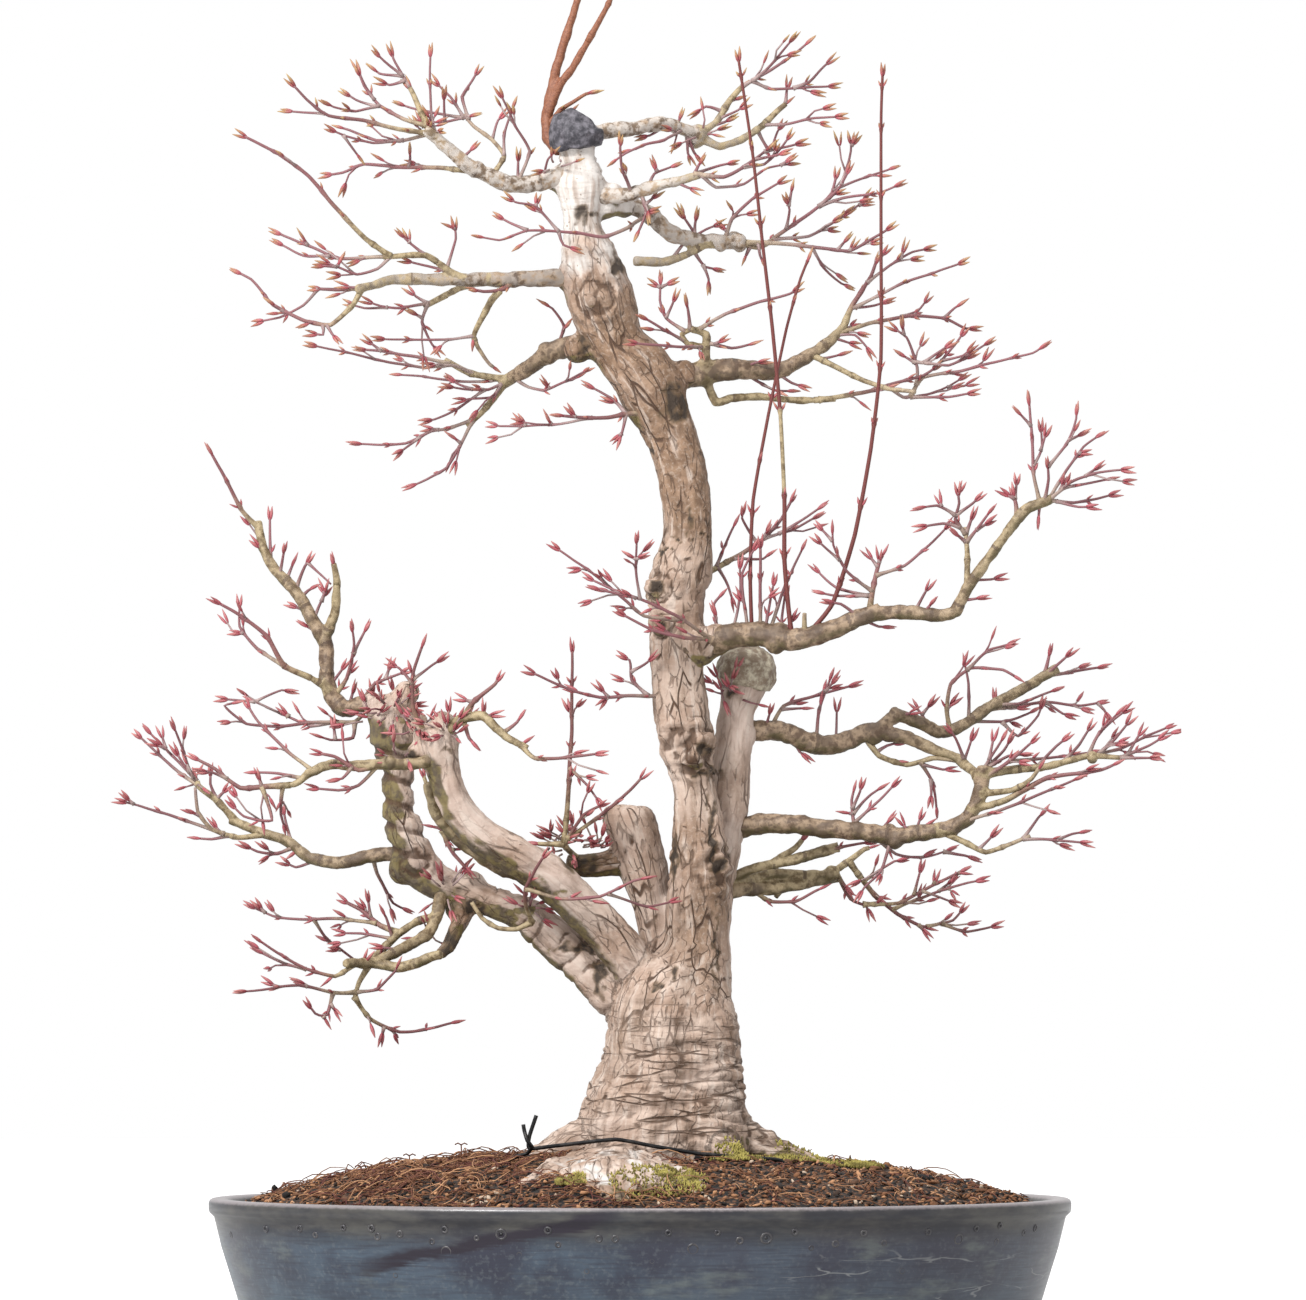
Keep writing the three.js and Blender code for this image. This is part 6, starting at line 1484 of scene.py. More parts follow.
# %% spray: branch right long
spray = Spray("branch_right_long", 0.25, GREY)
spray.limb([20, 354, 33, 358, 46, 362, 60, 363, 76, 360, 92, 363.5, 105, 369, 120, 375], 7.4, 4, -6, -16)
spray.knob(70, 360, 7.6)
spray.knob(79, 357, 5.6)
spray.twigs("""
3.8 2.3 0 -10: 120 375.5 14 -1.5 16 -2 7 2 6 12 13 18 11 15
1.8 1.3 0 5: 163 387 0 15 -1 14
2.8 2.6 0 -2: 186 418 6 7 13 5
1.5 0.8: 187 419 0 9 -3 12
0.9: 186 430 -10 6
0.9: 187 429 1 17
1.2 0.7: 198 428 -2 14 -1 20 -2 23
0.8: 194 468 -10 10
0.9: 197 444 3 12 -1 16
0.8: 199 454 5 16
1.1: 202 429 1 11 -1 13
1: 202 445 10 12 5 13 0 10
0.8: 213 458 13 7
1.1: 203 430 9 14 9 12 13 9
0.8: 218 451 11 3
1.1: 203 430 11 8 13 5 20 2
0.8: 221 441 12 9
0.9: 212 437 13 1 15 3
0.8: 208 434 5 11
1.1: 204 430 12 -2 12 2.5 14 3.5
0.9: 207 429 11 -3 13 0
0.9: 198 427 0 -12
1.1: 162 415 5 9 2 4
1.1: 163 408 7 10 8 11
0.9: 168 415 12 7
1.2: 162 414 -5 6 2 8 -2 13
0.8: 158 432 4 9
1: 157 421 9 7 8 8
1: 157 422 -9 5 -15 -3
0.8: 149 427 -2 8
1: 160 417 -9 1 -17 -3
1: 163 407 -11 10
1.8 0.9: 113 373 3 11 2 10 3 8 8 2
0.8: 120 400 -1 7
0.9: 118 396 -8 12
1.1: 118 390 14 7 14 12 12 13
1.1: 116 383 -13 11 -7 13 0 14
0.8: 96 409 -11 12
0.8: 99 401 -16 13
1.1: 114 381 -16 5 -14 13
1: 113 382 -15 0 -14 3
1.1: 108 372 -8 6 -13 1
1: 112 371 7 -4.5 9 0.5
1: 138 373 5 12 2 9
0.9: 139 373 11 11
0.9: 166 388 9 2 11 3
0.9: 160 380 17 2
""")
spray.whip([78, 361, 74, 376, 72, 400, 72, 430, 70, 472, 66, 515, 61, 558, 56, 603, 48, 656], 1.45, 0.85,
    -8, (403, 433, 475, 525, 567, 605, 640), dry=(434, 475))
spray.whip([82, 361, 96, 378, 107, 412, 115, 455, 120, 500, 120, 560, 120, 620, 121, 648], 1.45, 0.85, -12,
    (388, 427, 468, 495, 531, 580, 615, 634))
spray.whip([56, 362, 55, 392, 56.5, 430, 64, 472, 73, 515, 80, 540, 87, 557], 1.25, 0.8, -4, (392, 422, 450,
    480, 529, 549))
spray.twigs("""
1: 46 362 4 21 0 21
1.1: 53 363 -2 30 10 19
1.2 0.8 2 -10: 60 363 0 27 0 24
1.2: 64 363 8 23 12 26
1: 62 363 6 32
1: 70 361 3 29
0.9: 70 362 11 15
1.6 1.3 0: 82 362 0 11
1 0.8 1: 39 361 -2 17 9 9
1.3 0.7 2 -22 0.4: 40 361 -18 0 -16 4 -21 11
0.9: 58 363 -8 2.5 -9 0.5
1.2 0.7 2 -26 0.4: 34 360 -16 12 -18 8 -28 7
0.8: -2 380 -11 6
0.9: -7 382 -24 11
1.2 0.6 2 -8: 18 372 -16 0 -12 10 -16 13 -21 14
0.9: 0 380 -2 16 1 20
0.8: -2 398 -9 7
0.8: -2 398 10 6
""")

# %% spray: branches centre right
spray = Spray("branches_centre_right", 0.55, PURPLE)
spray.limb([30, 392, 40, 397, 52, 404, 62, 411, 71, 421, 79, 436], 1.8, 0.8, 4, 16)
spray.twigs("""
0.9: 61 410 6 12
1: 62 411 16 5 16 9
0.9: 70 414 14 8 12 9
1: 60 409 -9 12 3 9
1: 40 397 5 16 6 11
1: 38 396 6 -9 5 -15
1: 47 401 15 0 7 7
""")

# %% [markdown]
# ### The low right branches
# Two branches of the second trunk run out level and meet at their ends, and a fine greenish spray
# leaves the trunk below them.

# %% spray: branches right low
spray = Spray("branches_right_low", 0.7, GREY)
spray.limb([44, 314, 58, 314.5, 72, 314, 86, 308, 98, 307.5, 112, 313, 122, 315], 5.4, 4.6, 20, 24)
spray.knob(88, 308, 6)
spray.knob(116, 315, 5.6)
spray.twigs("""
4 2.2 0 -4: 121 315 13 -4 14 -6 13 -5
3.6 2.6 0 14: 119 316 9 6 9 -2 13 -6 10 2 15 10 20 11 15 9
""")
spray.knob(128, 322, 4.6)
spray.twigs("""
1.2: 209 346 -3 7 2 9
1.1: 209 347 12 11
1.2: 207 344 15 1 17 2.5
1.4 0.8 1 -12: 155 315 -1 9 2 14 10 8 16 -1 12 -7
1: 165 345 10 10 17 5
1.1: 167 321 -2 17 -3 17
0.8 0.6 1: 156 326 6 5
1.1: 148 315 -9 11 -6 4
0.9: 141 323 10 11
1: 130 316 12 9
0.9: 179 328 -1 9
1.1: 176 327 14 1 13 5 12 4
1.2 0.7 2 16: 170 322 20 5 14 2 18 -2 16 3
0.9: 203 329 10 -6 10 -2
0.8: 233 330 2 -7 -2 -8
1.1: 168 321 14 -2 13 4 9 5
1: 182 320 8 -8 10 10 4 12
1.7 1.3 0 -4: 114 312 6 -10 14 -4.5 13 3.5 14 -2
1: 117 304 7 3 11 3
0.8 0.6 1: 128 301 10 -2
1.2: 140 299 7 -11 3 -20
0.9: 143 298 9 -3 11 1
0.9: 148 290 -2 -9 -3 -8
1.3 0.7 2 12: 66 316 6 11 16 5 25 7
0.9: 71 325 19 1
0.9: 60 316 7 15
1.2: 87 311 3 14 8 23
0.8: 93 336 9 10
0.9: 98 309 1 24
0.9: 75 312 5 -8 9 -6
""")
spray.limb([47, 265, 62, 268, 78, 267.6, 94, 265.4, 112, 264, 126, 261.5, 140, 263.5, 158, 266], 5.4, 4, 19,
    13)
spray.knob(126, 261.5, 5.8)
spray.twigs("""
4 3.6 0 -1: 157 265.5 7 5.5 6 12 2 14
2.6 2.6 0 13.7: 171 284 -3 9 -8 7
2.6 1.4 0 -5: 171 294 15 1 19 2 19 5 18 -1
1.2: 225 302 15 3.5 16 7.5 15 6
1: 240 301 14 6 13 8
1: 239 301 25 0
0.9: 242 305 8 8 7 5
1: 229 303 9 8 11 14
0.8: 234 309 14 2
""")
spray.knob(227, 303.5, 3.6)
spray.twigs("""
1.1: 224 304 6 10 18 15
0.8: 231 315 3 8
1.1: 212 300 8 8 9 14
1.1: 199 296 9 11 11 8
1.9 1.1: 171 283 15 2 10 6 8 12
2 0.8 1 -16: 167 275 16 5 20 11 27 4 13 6
1.2 0.7 2 -24: 160 267 20 8 20 8 23 10
1.8 1.2 0 -8: 152 265 10 -6 11 -5 12 4 10 4
1: 193 261 6 10 7 7
1: 193 261 15 -1 20 -2
0.9: 206 260 10 3 12 2
0.9: 171 255 5 7 0 8
1.3: 174 290 14 12 13 12
0.8: 185 299 7 8
1.1: 173 297 11 5 16 1
1.1: 184 301 21 0 28 4
1.1: 173 297 9 8 7 12
1: 172 298 13 19
0.9: 169 302 9 16
0.9: 164 301 5 17
1: 163 301 -5 10 -7 9
1.2: 107 266 -1 14 3 12
0.9: 107 274 3 10 2 10
1: 107 272 9 11 10 6
1: 108 270 12 10 13 13
0.8 0.6 1: 106 272 -6 2
0.9: 122 266 8 10
0.9: 134 266 -7 9
0.9: 136 266 7 12
0.8: 136 267 15 4
1.1: 127 258 -6 -13 -9 -9 -4 -8
1.1: 116 261 12 -8 14 -2 19 6
1: 152 253 11 -1 11 -4
""")
spray.cluster(46, 10, 332, 8, 9)
spray.cluster(40, 8, 338, 5, 5)

# %% spray: branches right lowest
spray = Spray("branches_right_lowest", 0.8, OLIVE)
spray.limb([42, 233, 52, 235, 66, 235.4, 82, 237.6, 100, 240.5], 4, 2.4, 20, 32)
spray.limb([42, 239.6, 56, 240.6, 68, 243, 84, 242, 99, 242], 2.8, 2.4, 22, 32)
spray.knob(98, 242, 4.4)
spray.twigs("""
2 1.2 1 5: 99 242 6 7 8 6 9 2
1.8 0.9 2 15: 105 248 5 -6 8 -10 12 -10 12 -6 11 -1
1.4: 100 241 6 -11 8 -4 3 -10
1: 102 241 7 -12
1.3 0.8 2 10: 113 227 17 1 18 9 21 10
1.1: 127 225 19 7 19 6 14 2
0.8: 145 233 19 -7
0.8: 151 234 10 8
0.8: 162 242 8 0
1: 151 215 7 4 8 10
1: 152 215 13 -2 21 5
0.9: 140 217 9 -9
0.9: 147 236 3 11
0.9: 140 234 3 18
0.8 0.6 1: 117 230 8 3
1.3 0.7 1: 59 237 6 -8 13 0 12 6 9 0
1.6 1.4 0: 68 238 0 -7
2.4 3 0 4: 43 243 15 3 18 3.6 24 6.8
2.1 1.3: 63 247 15 9 9 11
1.1: 98 256 11 2 12 1.5
0.9: 121 246 7 3 10 0
""")

# %% [markdown]
# ### The left limbs
# Both left limbs end in thick knuckles where they were cut again and again. From these, sprays rise
# and spread over each other.

# %% spray: branches left upright
spray = Spray("branches_left_upright", 0.33, GREY)
spray.limb([-120, 322, -130, 327, -140, 327, -148, 325.5, -154, 331, -157, 341, -157.5, 358, -166, 373], 5,
    3.4, 18, 22)
spray.twigs("""
3.4 2.2 0 6: -165 372 -8 13 -11 11 -6 12 -2 12
3 1.3 2 -6: -157 361 4 13 1 16 -3 16
1.5 0.8: -191 418 -9 7 -10 20 -9 15
1.1: -186 399 0 14 0 16
1: -187 402 -11 11
1: -180 393 3 19
1: -176 390 5 16
1.2: -172 386 4 11 6 9
1: -170 382 5 4 5 -5
1: -162 370 4 13 6 6
0.9: -159 380 4 13
0.9: -154 384 -9 8
0.8 0.6 0: -164 404 9 -16
1: -167 375 -12 3
0.9: -159 363 -16 9
2 0.8: -155 333 -10 8 -13 6 -9 15 -14 11 -16 9
1.3: -178 348 -14 8 -9 11 0 18
0.8: -199 363 -9 1
1.5: -154 331 7 10 4 16 -2 15
1: -143 355 9 17
1: -155 338 6 8 4 8
0.8: -149 345 7 2.5
1: -146 327 2 7 5 7
1.3: -138 327 5 11 21 8
0.9: -127 342 4 12
1: -134 328 0 13
1.3 0.7 1 -6: -137 327 -6 -8 -17 0 -20 -2 -17 1 -11 9 11 2
1 0.7 1 12: -153 319 -12 -2 -17 7 -18 8
0.8: -196 330 16 5 10 -3
0.8: -196 330 -20 1
1.1 0.9 2: -177 322 -6 7
1.2: -143 319 -1 -8 -11 -1 -12 5
0.9: -152 309 -2 16
""")
spray.cluster(-124, 12, 324, 11, 22)
spray.cluster(-134, 14, 320, 7, 6)

# %% spray: branches left middle
spray = Spray("branches_left_middle", 0.9, TAN)
spray.limb([-101, 304, -107, 299, -117, 298, -130, 298, -142, 297, -154, 298, -166, 293], 3.4, 2.4, -29, -34)
spray.knob(-122, 298, 3.8)
spray.twigs("""
2 0.8 2 10: -165 293 -7 -5 -14 -1 -13 -1 -13 10 -16 8
0.9: -205 290 -8 4 -12 2
1.2 0.7 2 12: -161 295 -14 9 -15 15 -9 14
1.2: -189 287 6 -17 -14 2 -10 11
1.2: -180 287 1 -14 4 -12
1.1: -167 292 -13 1.5 -19 0.5
0.9: -190 287 -2 12
1.5 0.8 2 -8: -128 299 -12 -4 -12 7 -15 3
1.2: -130 297 -10 -9.5 -10 -2.5 -19 2
1: -142 297 -6 -6 -9 -1
""")
spray.cluster(-120, -30, 300, 5, 5)

# %% spray: shoots left knuckle
spray = Spray("shoots_left_knuckle", 0.12, TAN)
spray.limb([-101, 308, -109, 317, -113, 326, -113, 342, -110, 352, -106, 363], 1.6, 0.8, -28, -34)
spray.twigs("""
0.9: -113 340 9 7 11 7
0.9: -113 338 -7 8 -10 4
""")
spray.cluster(-110, -22, 316, 8, 14)
spray.cluster(-96, -30, 312, 8, 14)

# %% spray: branches left arm
spray = Spray("branches_left_arm", 0.44, TAN)
spray.limb([-100, 309, -90, 320, -78, 322, -67, 312, -56, 306], 3.2, 1.8, -27, -35)
spray.twigs("""
1.4 0.7: -58 307 6 -6 16 0.5 22 2.5
1.2: -68 313 7 6 5 9
1.8 0.8: -88 320 5 9 11 9 5 9
0.9: -83 328 -4 2 -6 4
0.9: -78 321 0.5 8
0.9: -77 321 10 2
0.9 0.7 1: -60 308 7 4
1.4: -88 319 3 -8 8 -8
""")

# %% spray: branches left inner
spray = Spray("branches_left_inner", 0.4, OLIVE)
spray.limb([-52, 238, -60, 243, -72, 247, -82, 254, -94, 263, -102, 274, -106, 289], 4.2, 2.8, -4, -8)
spray.twigs("""
1.4 1 2 3: -104 280 -4 12 1 8
1.3: -92 262 -9 4 -11 1
1.4 0.9 2 3: -98 264 5 -11 12 -13
0.9 0.8 1: -94 257 8 -1
""")

# %% spray: branches left low
spray = Spray("branches_left_low", 0.6, GREY)
spray.limb([-112, 250, -124, 253, -138, 251, -152, 248, -166, 251, -177, 259, -192, 264, -206, 270], 4, 2.2,
    17, 26)
spray.twigs("""
2.1 1.5 1 2: -205 269 -8 11 -9 7 -2 11
1.2: -222 287 -14 10 -21 19
1: -223 289 -6 8 -8 13
1: -224 295 -6 11 -6 16
1: -223 291 -17 16 -12 12
0.8: -240 307 -9 3
0.8: -240 307 -2 11
1.7 1 0 -6: -187 262 -15 -1 -13 4 -7 9 -1 12
0.9: -221 273 -11 3
0.9: -212 264 -6 9
1.2: -209 264 -15 4 -21 7 -21 6
0.8: -256 279 -7 7
1: -205 261 -10 -1 -15 1.5
1.2: -172 256 -10 -3 -10 1 -12 6
1: -162 250 -11 -4 -11 6
1.1: -211 277 -5 11 1 14
0.9: -213 281 10 9
1.1: -175 257 -3 12 -2 12
0.9 0.7 1: -172 255 -6 -5
1.3: -133 252 1 -9 8 -15 12 -6
""")
spray.cluster(-223, 40, 288, 3, 5)

# %% spray: branches left hanging
spray = Spray("branches_left_hanging", 0.05, TAN)
spray.limb([-99, 237, -101, 224, -106, 213, -118, 206, -133, 199, -147, 199], 3.4, 2.6, 12, -6)
spray.twigs("""
2.8 2.6 0 -8: -133 199 11 -2.5 10 2 8 3.5 5 1.5
2.2 2 0 3: -102 223 -10 -4 -10 -7 -13 -13
1.8 0.9: -120 213 -10 4 -10 8 -14 7
0.9: -136 223 -1.5 15
1: -125 211 -2 10 -5 9
1.2 0.6: -133 220 -17 0.5 -20 -0.5 -14 1.5 -17 7.5
0.8: -187 223 -9 9
1 0.8 0: -166 220 9 -10 13 -10
0.8: -156 209 -8 3
0.8: -151 204 -9 0.5
1: -124 211 -16 2 -16 0
0.9: -119 208 -19 0
1.4 0.7: -141 199 -11 -6.5 -14 3.5 -14 8 -14 10
0.9: -167 197 -11 2 -18 9
0.9: -139 199 6 8
0.8: -136 204 7 0.5
1.8 1.2 0: -135 199 -5 -10 -3 -9
1.2 0.6: -142 184 -11 0 -17 4 -16 -2 -18 -1.5
0.8: -182 186 -9 6
0.8 0.6 1: -168 188 -7 2
1.1: -151 184 -5 -11 -6 1 -7 10
0.9 0.7 1: -158 173 4 -7
0.9: -153 178 6 -9
1.4 0.7: -143 180 8 -9 15 -7 16 2 17 4
0.9: -128 167 -2 -11
1 0.7: -142 184 11 2 9 9 3 10
""")
spray.cluster(-97, 6, 234, 8, 14)
spray.cluster(-106, 8, 214, 4, 4)

# %% [markdown]
# ### Twigs on the trunk and the stump
# Small twigs cross in front of the trunk, and the sawn stump carries thin upright sprouts.

# %% spray: twigs front
spray = Spray("twigs_front", 0.75, TAN)
spray.limb([-54, 219, -57, 228, -57, 236, -52, 246, -44, 257], 1.4, 0.8, -6, -22)
spray.twigs("""
1.2 0.7 2 -10: -56 236 16 -5 20 1 17 8 13 3
0.9: -16 232 20 -5 18 4
0.8 0.6 1: -34 231 7 5
1.5 1.3 0 2: -54 219 -8 -3.5 -9 0.5 -8 5 -5 8
""")
spray.cluster(-55, -12, 226, 5, 9)

# %% spray: twigs centre left
spray = Spray("twigs_centre_left", 0.85, PURPLE)
spray.limb([18, 332, 6, 332, -6, 332, -20, 331.5, -36, 335.5, -59, 346], 1.3, 0.7, -2, -20)
spray.twigs("""
1.1: 2 332 -6 8 -1 10 -10 3
0.9: -4 344 9 6 -2 7
0.8: -14 332 -8 -7
0.8: -16 332 -7 8
""")

# %% spray: shoots stump
spray = Spray("shoots_stump", 0.95, OLIVE)
spray.limb([-32, 251, -38, 258, -37, 268, -35.5, 290, -34, 320, -34, 362], 1.7, 0.8, 14, -2)
spray.twigs("""
1.7 1.1: -36 259 -10 -1 -12 1
0.9: -35.5 296 9.5 -9 9 -13
1.1 0.8 2 -14: -37 264 9 9 14 7
1.3 0.8 2 -8: -37 262 17 10 15 13 11 12
1 0.8: -37 262 8 4
1 0.8: -37 264 -6 7
""")
spray.cluster(-34, 8, 256, 9, 18)
spray.cluster(-44, 12, 258, 5, 7)
spray.cluster(-22, 8, 256, 6, 7)

# %% dress every spray
for spray in Spray.made:
    spray.finish(twig_finish.material)

# %% [markdown]
# ## The pot
# The pot is oval stoneware with a plain rounded lip, a wall that leans out, and four low feet. It would
# be pressed in a mould, so it is spun as a round form here and then pressed to an oval. The corners of
# its outline are rounded before the spin. Drain holes and wire holes are cut through the floor.

# %% the outline of the pot, as distance from the middle and height in millimetres
RIM_HALF_WIDTH, RIM_HALF_DEPTH = 215.7, 163
OVAL = Matrix.Diagonal((1, RIM_HALF_DEPTH / RIM_HALF_WIDTH, 1, 1))
FLOOR_HALF_WIDTH, FLOOR_HEIGHT = 194, 8
NECK_HALF_WIDTH, NECK_HEIGHT = 213, 72
pot_outline = [
    (0, FLOOR_HEIGHT), (FLOOR_HALF_WIDTH, FLOOR_HEIGHT), (209.4, 57), (NECK_HALF_WIDTH, NECK_HEIGHT),
    (215.7, 74.5), (215.7, 81), (206, 81), (203, 72), (181, 17), (0, 17),
]
ROUNDING = {1: 3, 4: 1.2, 5: 2.6, 6: 2.2, 8: 6}  # which points are rounded, and how much
LONG, PARTS = 8, 10  # longer edges of an outline are divided, so that the form can be bent


# %% spin the pot
def spun(mesh, steps):
    """Turns the mesh's edges round the upright axis into a closed form."""
    bmesh.ops.spin(mesh, geom=mesh.verts[:] + mesh.edges[:], axis=(0, 0, 1), cent=(0, 0, 0),
                   angle=math.tau, steps=steps, use_merge=True)


def turned(outline, rounding, steps):
    """A closed form spun from half its outline, with some corners rounded."""
    mesh = bmesh.new()
    verts = [mesh.verts.new(Vector((x, 0, z)) * MM) for x, z in outline]
    for pair in zip(verts, verts[1:]):
        mesh.edges.new(pair)
    for k, radius in rounding.items():
        bmesh.ops.bevel(mesh, geom=[verts[k]], offset=radius * MM, offset_type="OFFSET", segments=4,
                        profile=0.5, affect="VERTICES", material=-1)
    long_edges = [edge for edge in mesh.edges if edge.calc_length() > LONG * MM]
    bmesh.ops.subdivide_edges(mesh, edges=long_edges, cuts=PARTS - 1)
    spun(mesh, steps)
    bmesh.ops.remove_doubles(mesh, verts=mesh.verts, dist=1e-5)
    bmesh.ops.recalc_face_normals(mesh, faces=mesh.faces)
    return mesh


def with_cuts(mesh, cutter, operation):
    """A boolean as a modifier, taken back as a mesh."""
    clay, tool = as_object(mesh, "clay"), as_object(cutter, "tool")
    cut = clay.modifiers.new("cut", "BOOLEAN")
    cut.operation = operation
    cut.object = tool
    cut.solver = "EXACT"
    made = taken_back(clay)
    bpy.data.meshes.remove(tool.data)
    return made


def pin(mesh, x, y, low, high, radius, top_radius=None, stretch=(1, 1, 1), segments=32):
    """An upright round pin between two heights."""
    place = Matrix.Translation(Vector((x, y, (low + high) / 2)) * MM) @ Matrix.Diagonal((*stretch, 1))
    bmesh.ops.create_cone(mesh, cap_ends=True, segments=segments, radius1=radius * MM,
                          radius2=(top_radius or radius) * MM, depth=(high - low) * MM, matrix=place)


pot = turned(pot_outline, ROUNDING, 144)
bmesh.ops.transform(pot, verts=pot.verts, matrix=OVAL)
feet = bmesh.new()
for x in (-130, 130):
    for y in (-85, 85):
        pin(feet, x, y, 0, 9, 18, 20, (1.3, 0.8, 1), 48)
sole_edges = [edge for edge in feet.edges if all(vert.co.z < MM for vert in edge.verts)]
bmesh.ops.bevel(feet, geom=sole_edges, offset=1.5 * MM, segments=3, profile=0.5, affect="EDGES",
                material=-1)
pot = with_cuts(pot, feet, "UNION")
DRAIN_RADIUS, WIRE_HOLE_RADIUS = 9, 2.6
holes = bmesh.new()
for side in (-1, 1):
    pin(holes, side * 82, 0, -5, 30, DRAIN_RADIUS)
    pin(holes, side * 76, -40, -5, 30, WIRE_HOLE_RADIUS, segments=16)
pot = with_cuts(pot, holes, "DIFFERENCE")
print("pot:", len(pot.faces), "faces")

# %% [markdown]
# ### Glaze
# The glaze is a dark slate blue, mottled, with a purplish brown cast along the lip where it ran thin,
# which is also painted shade, and a painted highlight along the top edge of the rim.
# A dark purple streak crosses the left half of the wall, and small rings mark where bubbles burst in
# the kiln. The rings are thin raised collars, laid on the wall with their own dark centre.

# %% the noises of the glaze
glaze = Finish("slate_blue_glaze", roughness=0.3, Specular_IOR_Level=0.4, Coat_Weight=0.15,
               Coat_Roughness=0.12)
mottle = glaze.cloud(26, 5, roughness=0.6)
broad = glaze.cloud(8, 2)
grains = glaze.cloud(420, 2)
draw = glaze.cloud(900, 2, glaze.stretched((0.06, 0.06, 1)))
runs = glaze.cloud(70, 4, glaze.stretched((0.3, 0.3, 1)), 0.65)
x_place, y_place, z_place = glaze.parts(glaze.place)
on_front = y_place.step(0.0, -0.05)

# %% the slate blue, the lip's glaze and painted shade, and the rim's painted highlight
glaze.start(mottle.step(0.36, 0.66), shade(44, 48, 66), shade(76, 92, 108))
glaze.over(grains.step(0.5, 0.72) * 0.3, shade(118, 126, 130))
glaze.over(broad.step(0.4, 0.7) * 0.4, shade(70, 68, 82))
glaze.over(draw.step(0.42, 0.7) * 0.5, shade(46, 46, 62))
glaze.over(runs.step(0.54, 0.72) * 0.5, shade(122, 130, 124))
# The lip band: a purplish brown glaze tone, made darker as painted shade against the light that its rolled
# top catches.
lip_shade_band = (z_place + (mottle - 0.5) * 0.012).step(0.058, 0.072)
lip_tone_and_shade = glaze.mix(runs.step(0.4, 0.64), shade(28, 24, 30), shade(76, 72, 66))
glaze.over(lip_shade_band * 0.85, lip_tone_and_shade)
# Painted highlight: a thin pale line along the top edge of the rim.
rim_highlight = (z_place + (grains - 0.5) * 0.0012).step(0.0788, 0.0806)
glaze.over(rim_highlight * 0.75, shade(160, 150, 152))

# %% the purple streak on the left and the pale veins on the right
line_at = z_place - (x_place + 0.14) * 0.22 - 0.05
feather = line_at + (runs - 0.5) * 0.012 + (draw - 0.5) * 0.004
streak = feather.step(0.0055, 0.0015) * feather.step(-0.0055, -0.002)
streak = streak * x_place.step(-0.155, -0.12) * x_place.step(-0.002, -0.03) * on_front
glaze.over(streak * (draw * 0.5 + 0.75), shade(26, 8, 36))
veins = glaze.fissures(150, glaze.bent(glaze.stretched((0.16, 0.16, 1)), 160, 0.007), 0.035, 0.5)
veins = veins * x_place.step(0.05, 0.09) * z_place.step(0.062, 0.052) * on_front
glaze.over(veins * 0.45, shade(180, 182, 180))
low_wall = z_place.step(0.05, 0.02)
glaze.over(low_wall * 0.3, shade(86, 104, 116))
glaze.rough(mottle * 0.2 + draw * 0.1 + 0.24)
glaze.relief(mottle * 0.5 + broad * 0.6, 0.6, 0.35)
piece("glazed_pot", pot, glaze.material, "glaze", "pot")

# %% bubble rings in the glaze
ring_spots = [
    # x, z and, where it isn't 1, the size
    (-168, 69), (-185, 68), (-203, 64), (-132, 70), (-129, 66), (-118, 67.5), (-96, 70), (-45, 70),
    (-155, 58), (-20, 66), (-12, 66), (49, 65), (129, 49), (133, 58),
    (-95, 59, 1.7), (-68, 68, 1.6), (62, 66, 1.7), (176, 62), (96, 63), (196, 68),
    (26, 61, 1.6), (157, 64, 1.6), (-160, 66, 0.8), (-146, 70, 0.8), (-102, 64, 0.8),
    (-40, 63, 0.8), (-200, 57, 0.8), (-26, 50, 0.8), (6, 55, 0.7), (-120, 47, 0.8), (-59, 58, 0.8),
    (14, 69, 0.8), (38, 69, 0.7), (76, 69, 0.8), (84, 61, 0.7), (110, 68, 0.9), (120, 63, 0.8),
    (142, 68, 0.9), (166, 69, 0.8), (185, 59, 0.9), (178, 70, 0.8), (-80, 66, 0.7), (190, 66, 0.8),
]


def wall_point(x, z):
    """A point of the pot's front wall at a height, and the way the wall faces there."""
    lean = (NECK_HALF_WIDTH - FLOOR_HALF_WIDTH) / (NECK_HEIGHT - FLOOR_HEIGHT)
    radius = FLOOR_HALF_WIDTH + (z - FLOOR_HEIGHT) * lean
    ratio = RIM_HALF_DEPTH / RIM_HALF_WIDTH
    y = -ratio * math.sqrt(max(0.0, radius ** 2 - x ** 2))
    out = Vector((x, y / ratio ** 2, -0.3 * radius)).normalized()
    return Vector((x, y, z)), out


def glaze_ring(x, z, size=1.0):
    """A thin collar on the wall round a flat dark drop."""
    collar = bmesh.new()
    rim_layer = collar.verts.layers.float.new("rim")
    upright = Matrix.Rotation(math.pi / 2, 4, "X")
    off_centre = Matrix.Translation((size * 1.5 * MM, 0, 0)) @ upright
    bmesh.ops.create_circle(collar, segments=8, radius=0.6 * MM, matrix=off_centre)
    spun(collar, 20)
    bmesh.ops.remove_doubles(collar, verts=collar.verts, dist=1e-6)
    for vert in collar.verts:
        vert[rim_layer] = 1
    flat = Matrix.Diagonal((1, 1, 0.3, 1))
    bmesh.ops.create_icosphere(collar, subdivisions=1, radius=size * 0.8 * MM, matrix=flat)
    spot, out = wall_point(x, z)
    bmesh.ops.transform(collar, verts=collar.verts, matrix=stood_on(spot * MM, out))
    bmesh.ops.recalc_face_normals(collar, faces=collar.faces)
    return collar


